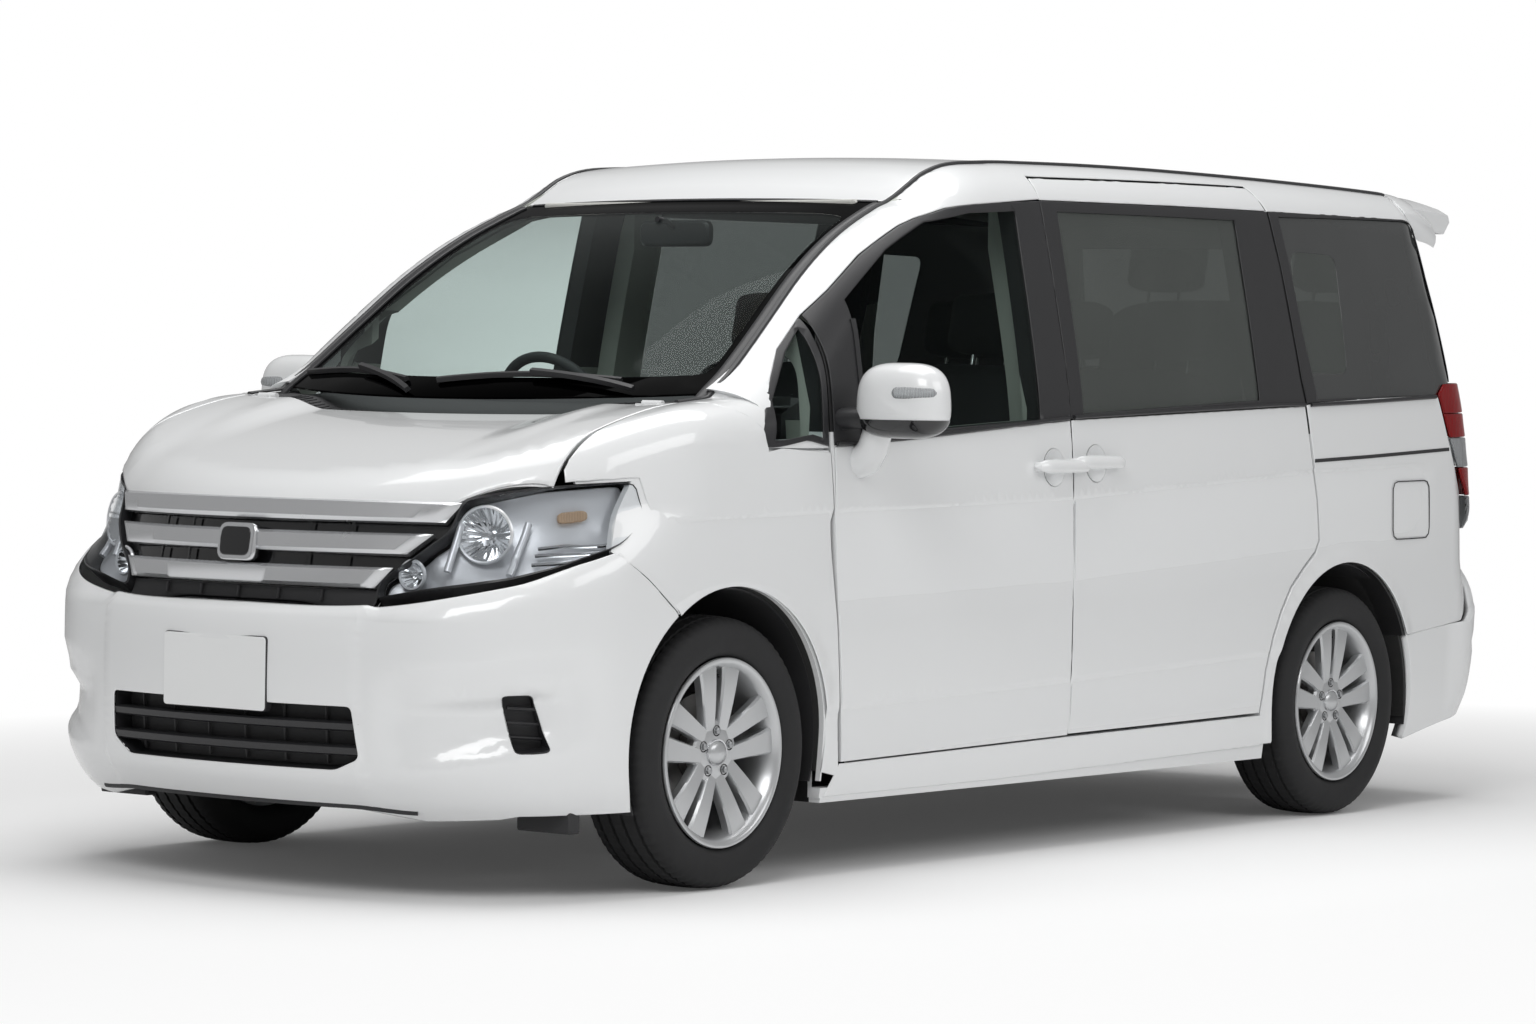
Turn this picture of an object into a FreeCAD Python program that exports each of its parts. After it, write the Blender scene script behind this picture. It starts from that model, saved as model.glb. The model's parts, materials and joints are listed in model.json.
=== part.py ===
"""A compact minivan as a parametric FreeCAD document.

The frame has +X to the car's left, -Y to the front and +Z up. The origin is on the ground, under the
middle of the car. One signed distance, made from a few profiles, describes the outer body, and each
panel is a skin of that body inside its own shut lines.
"""
import FreeCAD
import Part
import Sketcher
import math
import os

Vector = FreeCAD.Vector

SIZES = {
    "overall_length": 4690, "overall_width": 1695, "overall_height": 1830,
    "wheelbase": 2855, "front_overhang": 875, "track": 1475,
    "tyre_radius": 326, "tyre_width": 205, "rim_radius": 222, "rim_width": 178, "rim_wall": 9,
    "hub_radius": 76, "spoke_width": 30, "spoke_depth": 26, "brake_disc_radius": 140,
    "bearing_clearance": 8, "stub_radius": 24, "outer_reach": 120, "stub_end_gap": 2.4, "door_slant": 28,
    "front_arch_radius": 372, "front_arch_height": 351, "rear_arch_radius": 402, "rear_arch_height": 322,
    "shut_gap": 6, "door_gap": 8, "overrun": 40,
    "front_corner_radius": 260, "rear_corner_radius": 120, "hood_edge_radius": 85, "shoulder_radius": 105,
    "side_wall": 70, "pillar_wall": 150, "door_wall": 85, "door_frame_wall": 52, "roof_wall": 34,
    "hood_wall": 34, "fender_wall": 14, "bumper_wall": 26, "tailgate_wall": 70, "glass_wall": 6,
    "glass_inset": 9, "lamp_depth": 105, "tail_lamp_depth": 55, "grille_depth": 32,
    "door_hinge_radius": 74, "hood_hinge_radius": 8, "tailgate_hinge_radius": 5.5,
    "hood_hinge_x": 630, "hood_hinge_y": 43.75, "hood_hinge_z": 1153, "hood_hinge_length": 60,
    "tailgate_hinge_x": 330, "tailgate_hinge_y": 3446, "tailgate_hinge_z": 1824, "tailgate_hinge_length": 56,
    "hinge_arm": 30,
    "front_taper": 70, "rear_taper": 35, "front_bow_low": 201, "front_bow_high": 345, "rear_bow": 144,
    "windscreen_bow_low": 235, "windscreen_bow_high": 60, "roof_crown": 36, "hood_shoulder": 26,
    "floor_height": 262, "floor_wall": 30, "cabin_half_width": 690, "firewall_wall": 20,
    "plate_width": 330, "plate_height": 165, "plate_wall": 16,
    "engine_length": 460, "engine_width": 739.4, "engine_height": 560, "engine_clearance": 240,
    "seat_width": 520, "seat_depth": 500, "seat_cushion": 130, "seat_back_height": 560,
    "seat_back_wall": 110,
    "headrest_width": 270, "headrest_height": 150, "headrest_wall": 90,
    "steering_radius": 185, "steering_rim": 15, "steering_column": 22,
    "mirror_width": 230, "mirror_height": 215, "mirror_depth": 105, "mirror_stalk": 60,
    "axle_beam": 60, "arm_width": 40, "arm_height": 34, "knuckle_width": 70, "knuckle_height": 190,
    "pipe_radius": 26, "muffler_length": 420, "muffler_width": 230, "muffler_height": 130,
    "jack_pad_width": 60, "jack_pad_length": 90, "jack_bore": 10, "jack_bore_depth": 30,
    "seat_clearance": 0.3, "grille_plate": 8, "badge_width": 112,
    "rim_bead": 16, "bead_rise": 20, "tyre_shoulder": 30, "tyre_edge": 13, "hub_back": 30, "hub_face": 60,
    "disc_face": 6, "hub_bevel": 20, "bore_end": 46, "spoke_face": 62, "spoke_slot": 26,
    "kingpin_low_x": 680, "kingpin_low_z": 200, "kingpin_top_x": 575, "kingpin_top_z": 850,
    "strut_radius": 24, "strut_foot_x": 596, "spring_radius": 54, "spring_low": 690, "pin_radius": 8,
    "knuckle_inner_x": 612, "knuckle_outer_x": 650, "ball_reach": 694, "knuckle_low": 235,
    "rail_width": 70, "rail_height": 90, "rail_x": 370, "rail_z": 430, "cross_depth": 120, "cross_z": 165,
    "cross_height": 60, "rear_floor_height": 485, "kick_up": 2400, "wheelhouse_wall": 12,
    "pipe_x": 250, "pipe_high": 425, "muffler_y": 290, "plate_z": 430, "seat_rise": 330, "seat_x": 375,
    "row_one_y": 1400, "row_two_y": 2330, "row_three_y": 3330, "bench_width": 1180, "rear_bench_width": 1040,
    "steer_x": 375, "steer_y": 800, "steer_z": 1105, "steer_column_length": 190,
    "mirror_x": 885, "mirror_y": 430, "mirror_z": 1040,
    "wheelhouse_inner_x": 545, "front_house_inner_x": 450, "tower_top": 872, "arm_end_x": 696,
}

DOC = FreeCAD.newDocument("Minivan")
SHEET = DOC.addObject("Spreadsheet::Sheet", "Sizes")
for row, (word, value) in enumerate(SIZES.items(), start=1):
    SHEET.set(f"A{row}", word)
    SHEET.set(f"B{row}", str(value))
    SHEET.setAlias(f"B{row}", word)
DOC.recompute()


def size(word):
    """Return a driving dimension from the sheet in millimetres."""
    return float(SHEET.get(word))


LENGTH = size("overall_length")
HALF = size("overall_width") / 2
HEIGHT = size("overall_height")
WHEELBASE = size("wheelbase")
NOSE = size("front_overhang")
TAIL = LENGTH - WHEELBASE - NOSE
FRONT_AXLE = NOSE - LENGTH / 2
REAR_AXLE = FRONT_AXLE + WHEELBASE
GAP = size("shut_gap")
OVER = size("overrun")
REACH = size("outer_reach")
AXES = (Vector(1, 0, 0), Vector(0, 1, 0), Vector(0, 0, 1))
PIECES = []

# Profiles: each pair is a place and a value, as shares of the sizes that the comment names
# height of the level, half width of the body
SIDE_SHARES = ((0.08, 0.962), (0.137, 0.985), (0.22, 0.995), (0.38, 1.0), (0.52, 0.995), (0.59, 0.985),
               (0.656, 0.97), (0.765, 0.927), (0.874, 0.878), (0.927, 0.852), (1.0, 0.81))
# height of the level, front overhang, below the top edge of the bumper
BUMPER_SHARES = ((0.095, 0.86), (0.114, 0.915), (0.142, 0.96), (0.164, 0.978), (0.23, 0.99), (0.3, 0.992),
                 (0.347, 0.986), (0.367, 0.97))
# height of the level, front overhang, above the bumper
FACE_SHARES = ((0.36, 0.928), (0.44, 0.909), (0.5, 0.886), (0.55, 0.865), (0.62, 0.84))
# height of the level, rear overhang
REAR_SHARES = ((0.11, 0.925), (0.16, 0.96), (0.22, 0.99), (0.27, 1.0), (0.33, 1.0), (0.38, 0.972),
               (0.42, 0.965), (0.55, 0.955), (0.66, 0.935), (0.77, 0.895), (0.87, 0.845), (0.93, 0.815),
               (1.0, 0.775))
# distance ahead of the front axle over the front overhang, height
HOOD_SHARES = ((-2.0, 0.635), (-0.6, 0.634), (-0.229, 0.6285), (-0.069, 0.6213), (0.069, 0.6148),
               (0.171, 0.6077), (0.343, 0.5918), (0.514, 0.5716), (0.686, 0.5481), (0.8, 0.5311),
               (0.886, 0.518), (1.0, 0.5))
# distance behind the front axle over the wheelbase, height
TOP_SHARES = ((-0.1, 0.526), (-0.034, 0.6306), (0.0158, 0.678), (0.0823, 0.7426), (0.1506, 0.8071),
              (0.2207, 0.8617), (0.2942, 0.9071), (0.3152, 0.9185), (0.336, 0.936), (0.365, 0.962),
              (0.403, 0.981), (0.46, 0.99), (0.53, 0.994), (0.64, 0.998), (0.78, 1.0), (1.0, 0.9995),
              (1.2, 0.996), (1.35, 0.988))
# half width, height that the bumper's top edge climbs over its middle
BUMPER_CLIMB_SHARES = ((0.0, 0.0), (0.47, 0.003), (0.83, 0.035), (0.96, 0.073), (1.0, 0.08))
BUMPER_TOP_SHARE = 0.3667
# station behind the front axle over the wheelbase, level over the height
FRONT_DOOR_SHARES = ((0.161, 0.1536), (0.51, 0.163), (0.508, 0.615), (0.506, 0.928), (0.425, 0.92),
                     (0.36, 0.908), (0.294, 0.88), (0.23, 0.836), (0.178, 0.786), (0.142, 0.751),
                     (0.138, 0.5825), (0.142, 0.492), (0.147, 0.3716), (0.1534, 0.264))
SLIDING_DOOR_SHARES = ((0.51, 0.163), (0.847, 0.1694), (0.854, 0.235), (0.864, 0.284), (0.878, 0.324),
                       (0.896, 0.361), (0.919, 0.3885), (0.943, 0.413), (0.951, 0.4317), (0.947, 0.4934),
                       (0.938, 0.5557), (0.93, 0.6388), (0.925, 0.6787), (0.9195, 0.8027),
                       (0.911, 0.937), (0.898, 0.9732), (0.508, 0.9607))
FRONT_GLASS_SHARES = ((0.187, 0.773), (0.2116, 0.798), (0.26, 0.844), (0.326, 0.886), (0.3905, 0.903),
                      (0.462, 0.91), (0.458, 0.6137), (0.1835, 0.5907))
SLIDING_GLASS_SHARES = ((0.532, 0.9137), (0.845, 0.92), (0.8424, 0.646), (0.529, 0.623))
REAR_GLASS_SHARES = ((0.932, 0.93), (1.216, 0.933), (1.226, 0.889), (1.258, 0.68), (1.2228, 0.676),
                     (1.2074, 0.66), (0.955, 0.648), (0.943, 0.75))
QUARTER_GLASS_SHARES = ((0.058, 0.583), (0.068, 0.637), (0.106, 0.701), (0.132, 0.735), (0.128, 0.586))
BODY_SIDE_SHARES = ((0.135, 0.1066), (0.41, 0.108), (0.867, 0.1208), (1.1, 0.1208), (1.1, 0.274),
                    (1.152, 0.274), (1.2585, 0.29), (1.2855, 0.319), (1.2925, 0.414), (1.2844, 0.441),
                    (1.244, 0.525),
                    (1.2277, 0.5836), (1.2074, 0.66), (1.2228, 0.676), (1.281, 0.68), (1.247, 0.889),
                    (1.238, 0.935), (1.226, 1.05), (-0.04, 1.05), (-0.04, 0.7), (0.0105, 0.6727),
                    (0.05, 0.6306), (0.052, 0.45), (0.135, 0.45))
FENDER_SHARES = ((-0.142, 0.443), (-0.106, 0.407), (-0.0708, 0.365), (0.0, 0.13), (0.159, 0.13),
                 (0.159, 0.1536), (0.151, 0.264), (0.145, 0.3716), (0.14, 0.492), (0.136, 0.571),
                 (0.05, 0.571), (0.048, 0.6286), (0.0085, 0.67), (-0.03, 0.72), (-0.1545, 0.72),
                 (-0.1545, 0.5275), (-0.111, 0.5317))
TAIL_LAMP_SHARES = ((1.2844, 0.441), (1.244, 0.525), (1.2277, 0.5836), (1.2074, 0.66), (1.2228, 0.676),
                    (1.281, 0.68), (1.36, 0.68), (1.36, 0.441))
REAR_BUMPER_SHARES = ((1.1, 0.1), (1.1, 0.274), (1.152, 0.274), (1.2585, 0.29), (1.2855, 0.319),
                      (1.2925, 0.41), (1.3, 0.414), (1.315, 0.32), (1.4, 0.305), (1.4, 0.1))
SIDE_EDGE_SHARES = (0.815, 0.708)
GRILLE_OUT_SHARES = ((0.478, 0.36), (0.478, 0.379), (0.631, 0.507), (0.631, 0.56))
BAR_SHARES = ((0.393, 0.4186), (0.436, 0.4617), (0.4765, 0.5016))
INTAKE_SHARES = ((-0.404, 0.164), (0.404, 0.164), (0.463, 0.245), (-0.463, 0.245))
SLAT_SHARES = ((0.18, 0.192), (0.212, 0.224))
FOG_SHARES = ((0.8, 0.19), (0.905, 0.19), (0.925, 0.262), (0.82, 0.262))
LAMP_SIDE_SHARES = ((-0.5, 0.3), (-0.144, 0.3), (-0.144, 0.443), (-0.1132, 0.53), (-0.1565, 0.5258),
                    (-0.1565, 0.6), (-0.5, 0.6))
BUMPER_SIDE_SHARES = ((-0.5, 0.09), (-0.05, 0.09), (-0.05, 0.3), (-0.0725, 0.362), (-0.108, 0.404),
                      (-0.144, 0.441), (-0.144, 0.6), (-0.5, 0.6))
HOOD_FRONT_SHARES = ((0.0, 0.889), (0.236, 0.866), (0.472, 0.803), (0.631, 0.728), (0.732, 0.646),
                     (0.84, 0.54))
HOOD_HALF_SHARE = 0.822
HOOD_REAR_SHARES = (0.143, 0.05)
GLASS_BASE_SHARES = (-0.034, 0.033)
GLASS_TOP_SHARES = (0.317, 0.324)
ROOF_REAR_SHARE = 1.203
TAILGATE_BOTTOM_SHARE = 0.318
TAILGATE_HALF_SHARE = 0.765
LAMP_TOP_SHARE = 0.68
TAILGATE_GLASS_SHARES = ((0.7, 0.7), (0.66, 0.9), (-0.66, 0.9), (-0.7, 0.7))
SPOILER_SHARES = ((1.207, 0.994), (1.27, 0.985), (1.312, 0.966), (1.318, 0.945), (1.306, 0.925),
                  (1.245, 0.93))
CARRIER_LEVEL_SHARES = (0.385, 0.43)
CARRIER_HALF_SHARE = 0.78
LOWER_LEVEL_SHARE = 0.1
FRONT_FAN_SHARE = -0.035
REAR_FAN_SHARE = 1.08
FAN_REACH = math.radians(77)
HALVINGS = 22
CURVE_DEGREE = 3
SEW_TOLERANCE = 0.01
FAN_COUNT = 7
REAR_TAPER_START_SHARE = 0.6655
HOOD_SHOULDER_SHARES = (0.44, 0.62)
HOOD_FADE_SHARES = (0.1, 0.7)
STEP_WIDTH_SHARES = (0.01, 0.1)
BOW_FADE_SHARES = (0.0, 0.32)
CROWN_FADE_SHARES = (0.3, 0.46)
CROWN_LOW_SHARE = 0.25
BELT_SHARE = 0.59
JACK_STATION_SHARES = (0.2, 0.8)
STEER_LEAN = 25
DASH_SHARES = ((0.19, 0.64), (0.235, 0.62), (0.25, 0.56), (0.235, 0.48), (0.21, 0.44), (0.18, 0.36))
SEAT_LEAN_SHARE = 0.22
SPOKE_PAIRS = 5
FRONT_AXLE_WORDS = "front_overhang - overall_length / 2"
REAR_AXLE_WORDS = FRONT_AXLE_WORDS + " + wheelbase"
# counts of places along and up each grid of rays
SIDE_COUNTS = (28, 19)
NOSE_COUNTS = (33, 24)
TAIL_COUNTS = (29, 26)
HOOD_COUNTS = (27, 16)
FENDER_COUNTS = (18, 16)
SCREEN_COUNTS = (17, 13)
COWL_COUNTS = (17, 6)
ROOF_COUNTS = (17, 19)
WEDGE_COUNTS = (21, 8)
BUMPER_EDGE_COUNT = 33
LAMP_EDGE_COUNT = 9
# stations and levels where the grids begin and end
SIDE_SPAN_SHARES = (-0.035, 1.3)
FENDER_SPAN_SHARES = (-0.155, 0.165)
WEDGE_SPAN_SHARES = (1.1, 1.33)
NOSE_LEVEL_SHARES = (0.108, 0.537)
TAIL_LEVEL_SHARES = (0.14, 0.945)
FENDER_LOW_SHARE = 0.12
RAY_BASE_SHARE = 0.3
SCREEN_BASE_SHARE = 0.4
ROOF_BASE_SHARE = 0.7
WEDGE_BASE_SHARE = 0.8
WEDGE_HALF_SHARE = 0.775
SHOULDER_DROP_SHARE = 2.4
FENDER_DROP_SHARE = 2.2
WIDE_SHARE = 1.02
# body side: front and rear station, low and high level of each member
MEMBER_SHARES = ((0.137, 0.867, 0.09, 0.157), (0.487, 0.529, 0.09, 0.99), (0.145, 0.184, 0.09, 0.61),
                 (0.053, 0.184, 0.545, 0.58), (0.4, 1.19, 0.976, 1.02))
PAD_LEVEL_SHARES = (0.11, 0.12)
# doors
HINGE_INSET_SHARES = (0.3333, 0.93)
HINGE_LEVEL_SHARES = (0.12, 0.64)
DOOR_NOSE_SHARE = 0.755
SLIDING_BELT_SHARE = 0.6
# nose and tail
LAMP_LEVEL_SHARE = 0.56
GRILLE_TOP_SHARE = 0.52
GRILLE_DEPTH_SHARES = (0.7, 0.75)
BADGE_SHARES = (0.42, 0.467)
SLAT_HALF_SHARE = 0.38
TAILGATE_TOP_SHARE = 0.97
SPOILER_HALF_SHARE = 0.77
# under the body
FIREWALL_SHARE = 0.15
FIREWALL_TOP_SHARE = 0.57
FLOOR_REAR_SHARE = 1.29
FLOOR_SIDE_SHARE = 0.6
FRONT_RAIL_SHARE = 0.8
STRUT_SEAT_SHARE = 0.7
SPRING_SHARE = 0.8
TRAILING_ARM_SHARES = (2.3, 0.47)
TOWER_SHARES = (1.85, 1.5)
PIPE_FRONT_SHARE = 0.165
MUFFLER_ROUND_SHARE = 0.35
ENGINE_AHEAD_SHARE = 0.75
# inside
DASH_TOP_SHARE = 0.618
DASH_LOW_SHARE = 0.36
DASH_HALF_SHARE = 0.93
SHELF_REAR_SHARE = 0.17
HUB_SHARE = 3
SPOKE_SHARE = 0.8
SEAT_NOTCH_SHARES = (0.6, 0.2)
SEAT_TOP_SHARES = (0.4, 0.5)
SEAT_BASE_SHARES = (0.4, 0.85, 0.15)
HEADREST_SHARE = 0.35
BENCH_SHARE = 1.5
MIRROR_ROUND_SHARE = 0.28
MIRROR_FOOT_SHARES = (0.2, 0.8)
LENGTHWISE_SHARE = 0.9


def station(share):
    """Return Y for a distance behind the front axle, given over the wheelbase."""
    return FRONT_AXLE + share * WHEELBASE


def level(share):
    """Return Z for a share of the overall height."""
    return share * HEIGHT


def side_points(shares):
    """Return the points of a side outline as pairs of Y and Z."""
    return [(station(along), level(up)) for along, up in shares]


def curve(shares, place):
    """Interpolate a table of pairs smoothly, and hold its end values beyond it."""
    if place <= shares[0][0]:
        return shares[0][1]
    if place >= shares[-1][0]:
        return shares[-1][1]
    index = max(i for i, pair in enumerate(shares[:-1]) if pair[0] <= place)

    def slope(i):
        low = shares[max(i - 1, 0)]
        high = shares[min(i + 1, len(shares) - 1)]
        return (high[1] - low[1]) / (high[0] - low[0])

    (x0, y0), (x1, y1) = shares[index], shares[index + 1]
    span = x1 - x0
    t = (place - x0) / span
    start = (1 + 2 * t) * (1 - t) ** 2 * y0 + t * (1 - t) ** 2 * span * slope(index)
    end = t * t * (3 - 2 * t) * y1 + t * t * (t - 1) * span * slope(index + 1)
    return start + end


def smooth_step(low, high, place):
    """Rise from 0 to 1 between two places."""
    t = min(max((place - low) / (high - low), 0.0), 1.0)
    return t * t * (3 - 2 * t)


def rounded(first, second, radius):
    """Intersect two signed distances with a rounded edge."""
    edge = math.hypot(max(first + radius, 0.0), max(second + radius, 0.0))
    return min(max(first, second), -radius) + edge


def half_width(y, z):
    """Return the half width of the body at a station and level."""
    ahead = max(FRONT_AXLE - y, 0.0) / NOSE
    behind = max(y - station(REAR_TAPER_START_SHARE), 0.0) / (LENGTH / 2 - station(REAR_TAPER_START_SHARE))
    width = HALF * curve(SIDE_SHARES, z / HEIGHT)
    return width - size("front_taper") * ahead ** 2 - size("rear_taper") * behind ** 2


def bumper_top(x):
    """Return the level of the front bumper's top edge."""
    return level(BUMPER_TOP_SHARE + curve(BUMPER_CLIMB_SHARES, min(abs(x) / HALF, 1.0)))


def front_face(x, z):
    """Return Y of the front of the body, and its slope over X."""
    across = min(abs(x) / HALF, 1.0)
    top = bumper_top(x)
    low_level = min(z / top, 1.0) * BUMPER_TOP_SHARE
    low_share = curve(BUMPER_SHARES, low_level)
    high_share = curve(FACE_SHARES, z / HEIGHT)
    width = level(STEP_WIDTH_SHARES[0] + STEP_WIDTH_SHARES[1] * across ** 2)
    blend = smooth_step(top - width / 2, top + width / 2, z)
    high_bow = smooth_step(level(FACE_SHARES[0][0]), level(FACE_SHARES[2][0]), z)
    bow_high = size("front_bow_low") + high_bow * (size("front_bow_high") - size("front_bow_low"))
    bow = size("front_bow_low") * (1 - blend) + bow_high * blend
    share = low_share * (1 - blend) + high_share * blend
    return FRONT_AXLE - share * NOSE + bow * across ** 2, 2 * bow * across / HALF


def rear_face(x, z):
    """Return Y of the rear of the body, and its slope over X."""
    across = min(abs(x) / HALF, 1.0)
    return (REAR_AXLE + curve(REAR_SHARES, z / HEIGHT) * TAIL - size("rear_bow") * across ** 2,
            2 * size("rear_bow") * across / HALF)


def hood_top(x, y):
    """Return Z of the hood's surface, carried on under the windscreen."""
    ahead = (FRONT_AXLE - y) / NOSE
    raised = smooth_step(*HOOD_SHOULDER_SHARES, abs(x) / HALF) * (1 - smooth_step(*HOOD_FADE_SHARES, ahead))
    return level(curve(HOOD_SHARES, ahead)) + size("hood_shoulder") * raised


def upper_top(x, y):
    """Return Z of the windscreen and the roof above a place."""
    along = (y - FRONT_AXLE) / WHEELBASE
    across = min(abs(x) / HALF, 1.0) ** 2
    fade = smooth_step(*BOW_FADE_SHARES, along)
    bow = size("windscreen_bow_low") + fade * (size("windscreen_bow_high") - size("windscreen_bow_low"))
    crown = CROWN_LOW_SHARE + (1 - CROWN_LOW_SHARE) * smooth_step(*CROWN_FADE_SHARES, along)
    height = curve(TOP_SHARES, (y - bow * across - FRONT_AXLE) / WHEELBASE)
    return level(height) - size("roof_crown") * crown * across


def lower_body(point):
    """Return the signed distance of the body below the belt."""
    x, y, z = abs(point.x), point.y, point.z
    side = x - half_width(y, z)
    if y < station(0.5):
        face, slope = front_face(x, z)
        ends = rounded(side, (face - y) / math.hypot(1, slope), size("front_corner_radius"))
    else:
        face, slope = rear_face(x, z)
        ends = rounded(side, (y - face) / math.hypot(1, slope), size("rear_corner_radius"))
    return rounded(ends, z - hood_top(x, y), size("hood_edge_radius"))


def over_roof(x, y, z):
    """Return the signed distance of a place from the windscreen and the roof line."""
    top = upper_top(x, y)
    rise = (upper_top(x, y + GAP) - top) / GAP
    return (z - top) / math.hypot(1, rise)


def upper_body(point):
    """Return the signed distance of the body with its windscreen and roof."""
    x, y, z = abs(point.x), point.y, point.z
    face, slope = rear_face(x, z)
    ends = rounded(x - half_width(y, z), (y - face) / math.hypot(1, slope), size("rear_corner_radius"))
    return rounded(ends, over_roof(x, y, z), size("shoulder_radius"))


def long_body(point):
    """Return the signed distance of the upper body carried on behind the tail, for the spoiler."""
    x, y, z = abs(point.x), point.y, point.z
    return rounded(x - half_width(y, z), over_roof(x, y, z), size("shoulder_radius"))


def whole_body(point):
    """Return the signed distance of the whole body."""
    return min(lower_body(point), upper_body(point))


def hit(body, anchor, direction, depth=0.0):
    """Return the point where a ray out of the body crosses the skin at a depth, by halving."""
    low, high = 0.0, LENGTH / 2
    for _ in range(HALVINGS):
        middle = (low + high) / 2
        if body(anchor + direction * middle) + depth > 0:
            high = middle
        else:
            low = middle
    return anchor + direction * low


def normal(body, point):
    """Return the outward normal of the body's skin near a point."""
    step = GAP / 2
    here = body(point)
    slopes = Vector(*[body(point + axis * step) - here for axis in AXES])
    return slopes.normalize()


def surface(grid):
    """Return one smooth face that follows a grid of points."""
    across = min(CURVE_DEGREE, len(grid) - 1)
    along = min(CURVE_DEGREE, len(grid[0]) - 1)
    repeats = [knot_repeats(len(grid), across), knot_repeats(len(grid[0]), along)]
    places = [[float(i) for i in range(len(line))] for line in repeats]
    spline = Part.BSplineSurface()
    spline.buildFromPolesMultsKnots(grid, *repeats, *places, False, False, across, along)
    return spline.toShape()


def knot_repeats(count, degree):
    """Return how often each even knot of an open spline repeats."""
    return [degree + 1] + [1] * (count - degree - 1) + [degree + 1]


def closed(outer, inner):
    """Return the solid between two grids of points, with a narrow face along each edge."""
    rims = [(outer[0], inner[0]), (outer[-1], inner[-1]),
            ([row[0] for row in outer], [row[0] for row in inner]),
            ([row[-1] for row in outer], [row[-1] for row in inner])]
    faces = [surface(outer), surface(inner)] + [surface([a, b]) for a, b in rims]
    shell = Part.makeShell(faces)
    shell.sewShape(SEW_TOLERANCE)
    return Part.makeSolid(shell)


def skin(body, rays, depth, start=0.0, along_rays=False):
    """Return a solid under the body's skin, from one depth to another, where a grid of rays leaves it."""
    outer = [[hit(body, anchor, direction) for anchor, direction in row] for row in rays]
    if along_rays:
        top = [[hit(body, anchor, direction, start) for anchor, direction in row] for row in rays]
        inner = [[hit(body, anchor, direction, depth) for anchor, direction in row] for row in rays]
    else:
        inward = [[normal(body, point) for point in row] for row in outer]
        top = [[p - n * start for p, n in zip(row, down)] for row, down in zip(outer, inward)]
        inner = [[p - n * depth for p, n in zip(row, down)] for row, down in zip(outer, inward)]
    return closed(top, inner)


def steps(low, high, count):
    """Return evenly spaced places, with both ends."""
    return [low + (high - low) * i / (count - 1) for i in range(count)]


def side_rays(body, front, rear, bottom, edge, drop, columns, rows):
    """Return rays out of one side: level ones up to a drop below the edge, then a fan round to it."""
    grid = []
    for y in steps(front, rear, columns):
        x_edge = edge(y)
        top = hood_top(x_edge, y) if body is lower_body else max(upper_top(x_edge, y), hood_top(x_edge, y))
        z_fan = top - drop
        level_count = rows - FAN_COUNT
        row = [(Vector(x_edge, y, z), Vector(1, 0, 0)) for z in steps(bottom, z_fan, level_count)]
        for angle in steps(0, math.pi / 2, FAN_COUNT + 1)[1:]:
            row.append((Vector(x_edge, y, z_fan), Vector(math.cos(angle), 0, math.sin(angle))))
        grid.append(row)
    return grid


def fan_rays(y_axis, sign, reach, bottom, top, columns, rows):
    """Return level rays out of an upright line behind the nose, or ahead of the tail."""
    grid = []
    for angle in steps(-reach, reach, columns):
        direction = Vector(math.sin(angle), sign * math.cos(angle), 0)
        grid.append([(Vector(0, y_axis, z), direction) for z in steps(bottom, top, rows)])
    return grid


def top_rays(front, rear, half, base, columns, rows):
    """Return upright rays out of the hood or roof, with front and rear edges as functions of X."""
    grid = []
    for x in steps(-half, half, columns):
        grid.append([(Vector(x, y, base), Vector(0, 0, 1)) for y in steps(front(x), rear(x), rows)])
    return grid


def mirrored(shape):
    """Return the other side's copy of a shape."""
    return shape.mirror(Vector(0, 0, 0), Vector(1, 0, 0))


def plate_x(points, low=0.0, high=LENGTH):
    """Return an outline of Y and Z pairs, drawn out along X."""
    face = Part.Face(Part.makePolygon([Vector(low, y, z) for y, z in points + points[:1]]))
    return face.extrude(Vector(high - low, 0, 0))


def plate_y(points, low=-LENGTH, high=LENGTH):
    """Return an outline of X and Z pairs, drawn out along Y."""
    face = Part.Face(Part.makePolygon([Vector(x, low, z) for x, z in points + points[:1]]))
    return face.extrude(Vector(0, high - low, 0))


def plate_z(points, low=0.0, high=LENGTH):
    """Return an outline of X and Y pairs, drawn out along Z."""
    face = Part.Face(Part.makePolygon([Vector(x, y, low) for x, y in points + points[:1]]))
    return face.extrude(Vector(0, 0, high - low))


def grown(points, amount):
    """Return an outline grown outwards, or shrunk where the amount is negative."""
    area = sum(a[0] * b[1] - b[0] * a[1] for a, b in zip(points, points[1:] + points[:1]))
    turn = 1 if area > 0 else -1
    result = []
    for before, here, after in zip(points[-1:] + points[:-1], points, points[1:] + points[:1]):
        one = (here[0] - before[0], here[1] - before[1])
        two = (after[0] - here[0], after[1] - here[1])
        first = (turn * one[1] / math.hypot(*one), -turn * one[0] / math.hypot(*one))
        second = (turn * two[1] / math.hypot(*two), -turn * two[0] / math.hypot(*two))
        share = amount / (1 + first[0] * second[0] + first[1] * second[1])
        result.append((here[0] + share * (first[0] + second[0]), here[1] + share * (first[1] + second[1])))
    return result


def box(x0, x1, y0, y1, z0, z1):
    """Return a box between two corners."""
    return Part.makeBox(x1 - x0, y1 - y0, z1 - z0, Vector(x0, y0, z0))


def rod(start, end, radius):
    """Return a round bar between two points."""
    return Part.makeCylinder(radius, (end - start).Length, start, end - start)


def piece(label, shape):
    """Add a sub-part whose shape comes from the surface functions."""
    item = DOC.addObject("Part::Feature", label)
    item.Label = label
    item.Shape = shape
    item.Placement = FreeCAD.Placement()
    PIECES.append(item)
    return item


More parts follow.
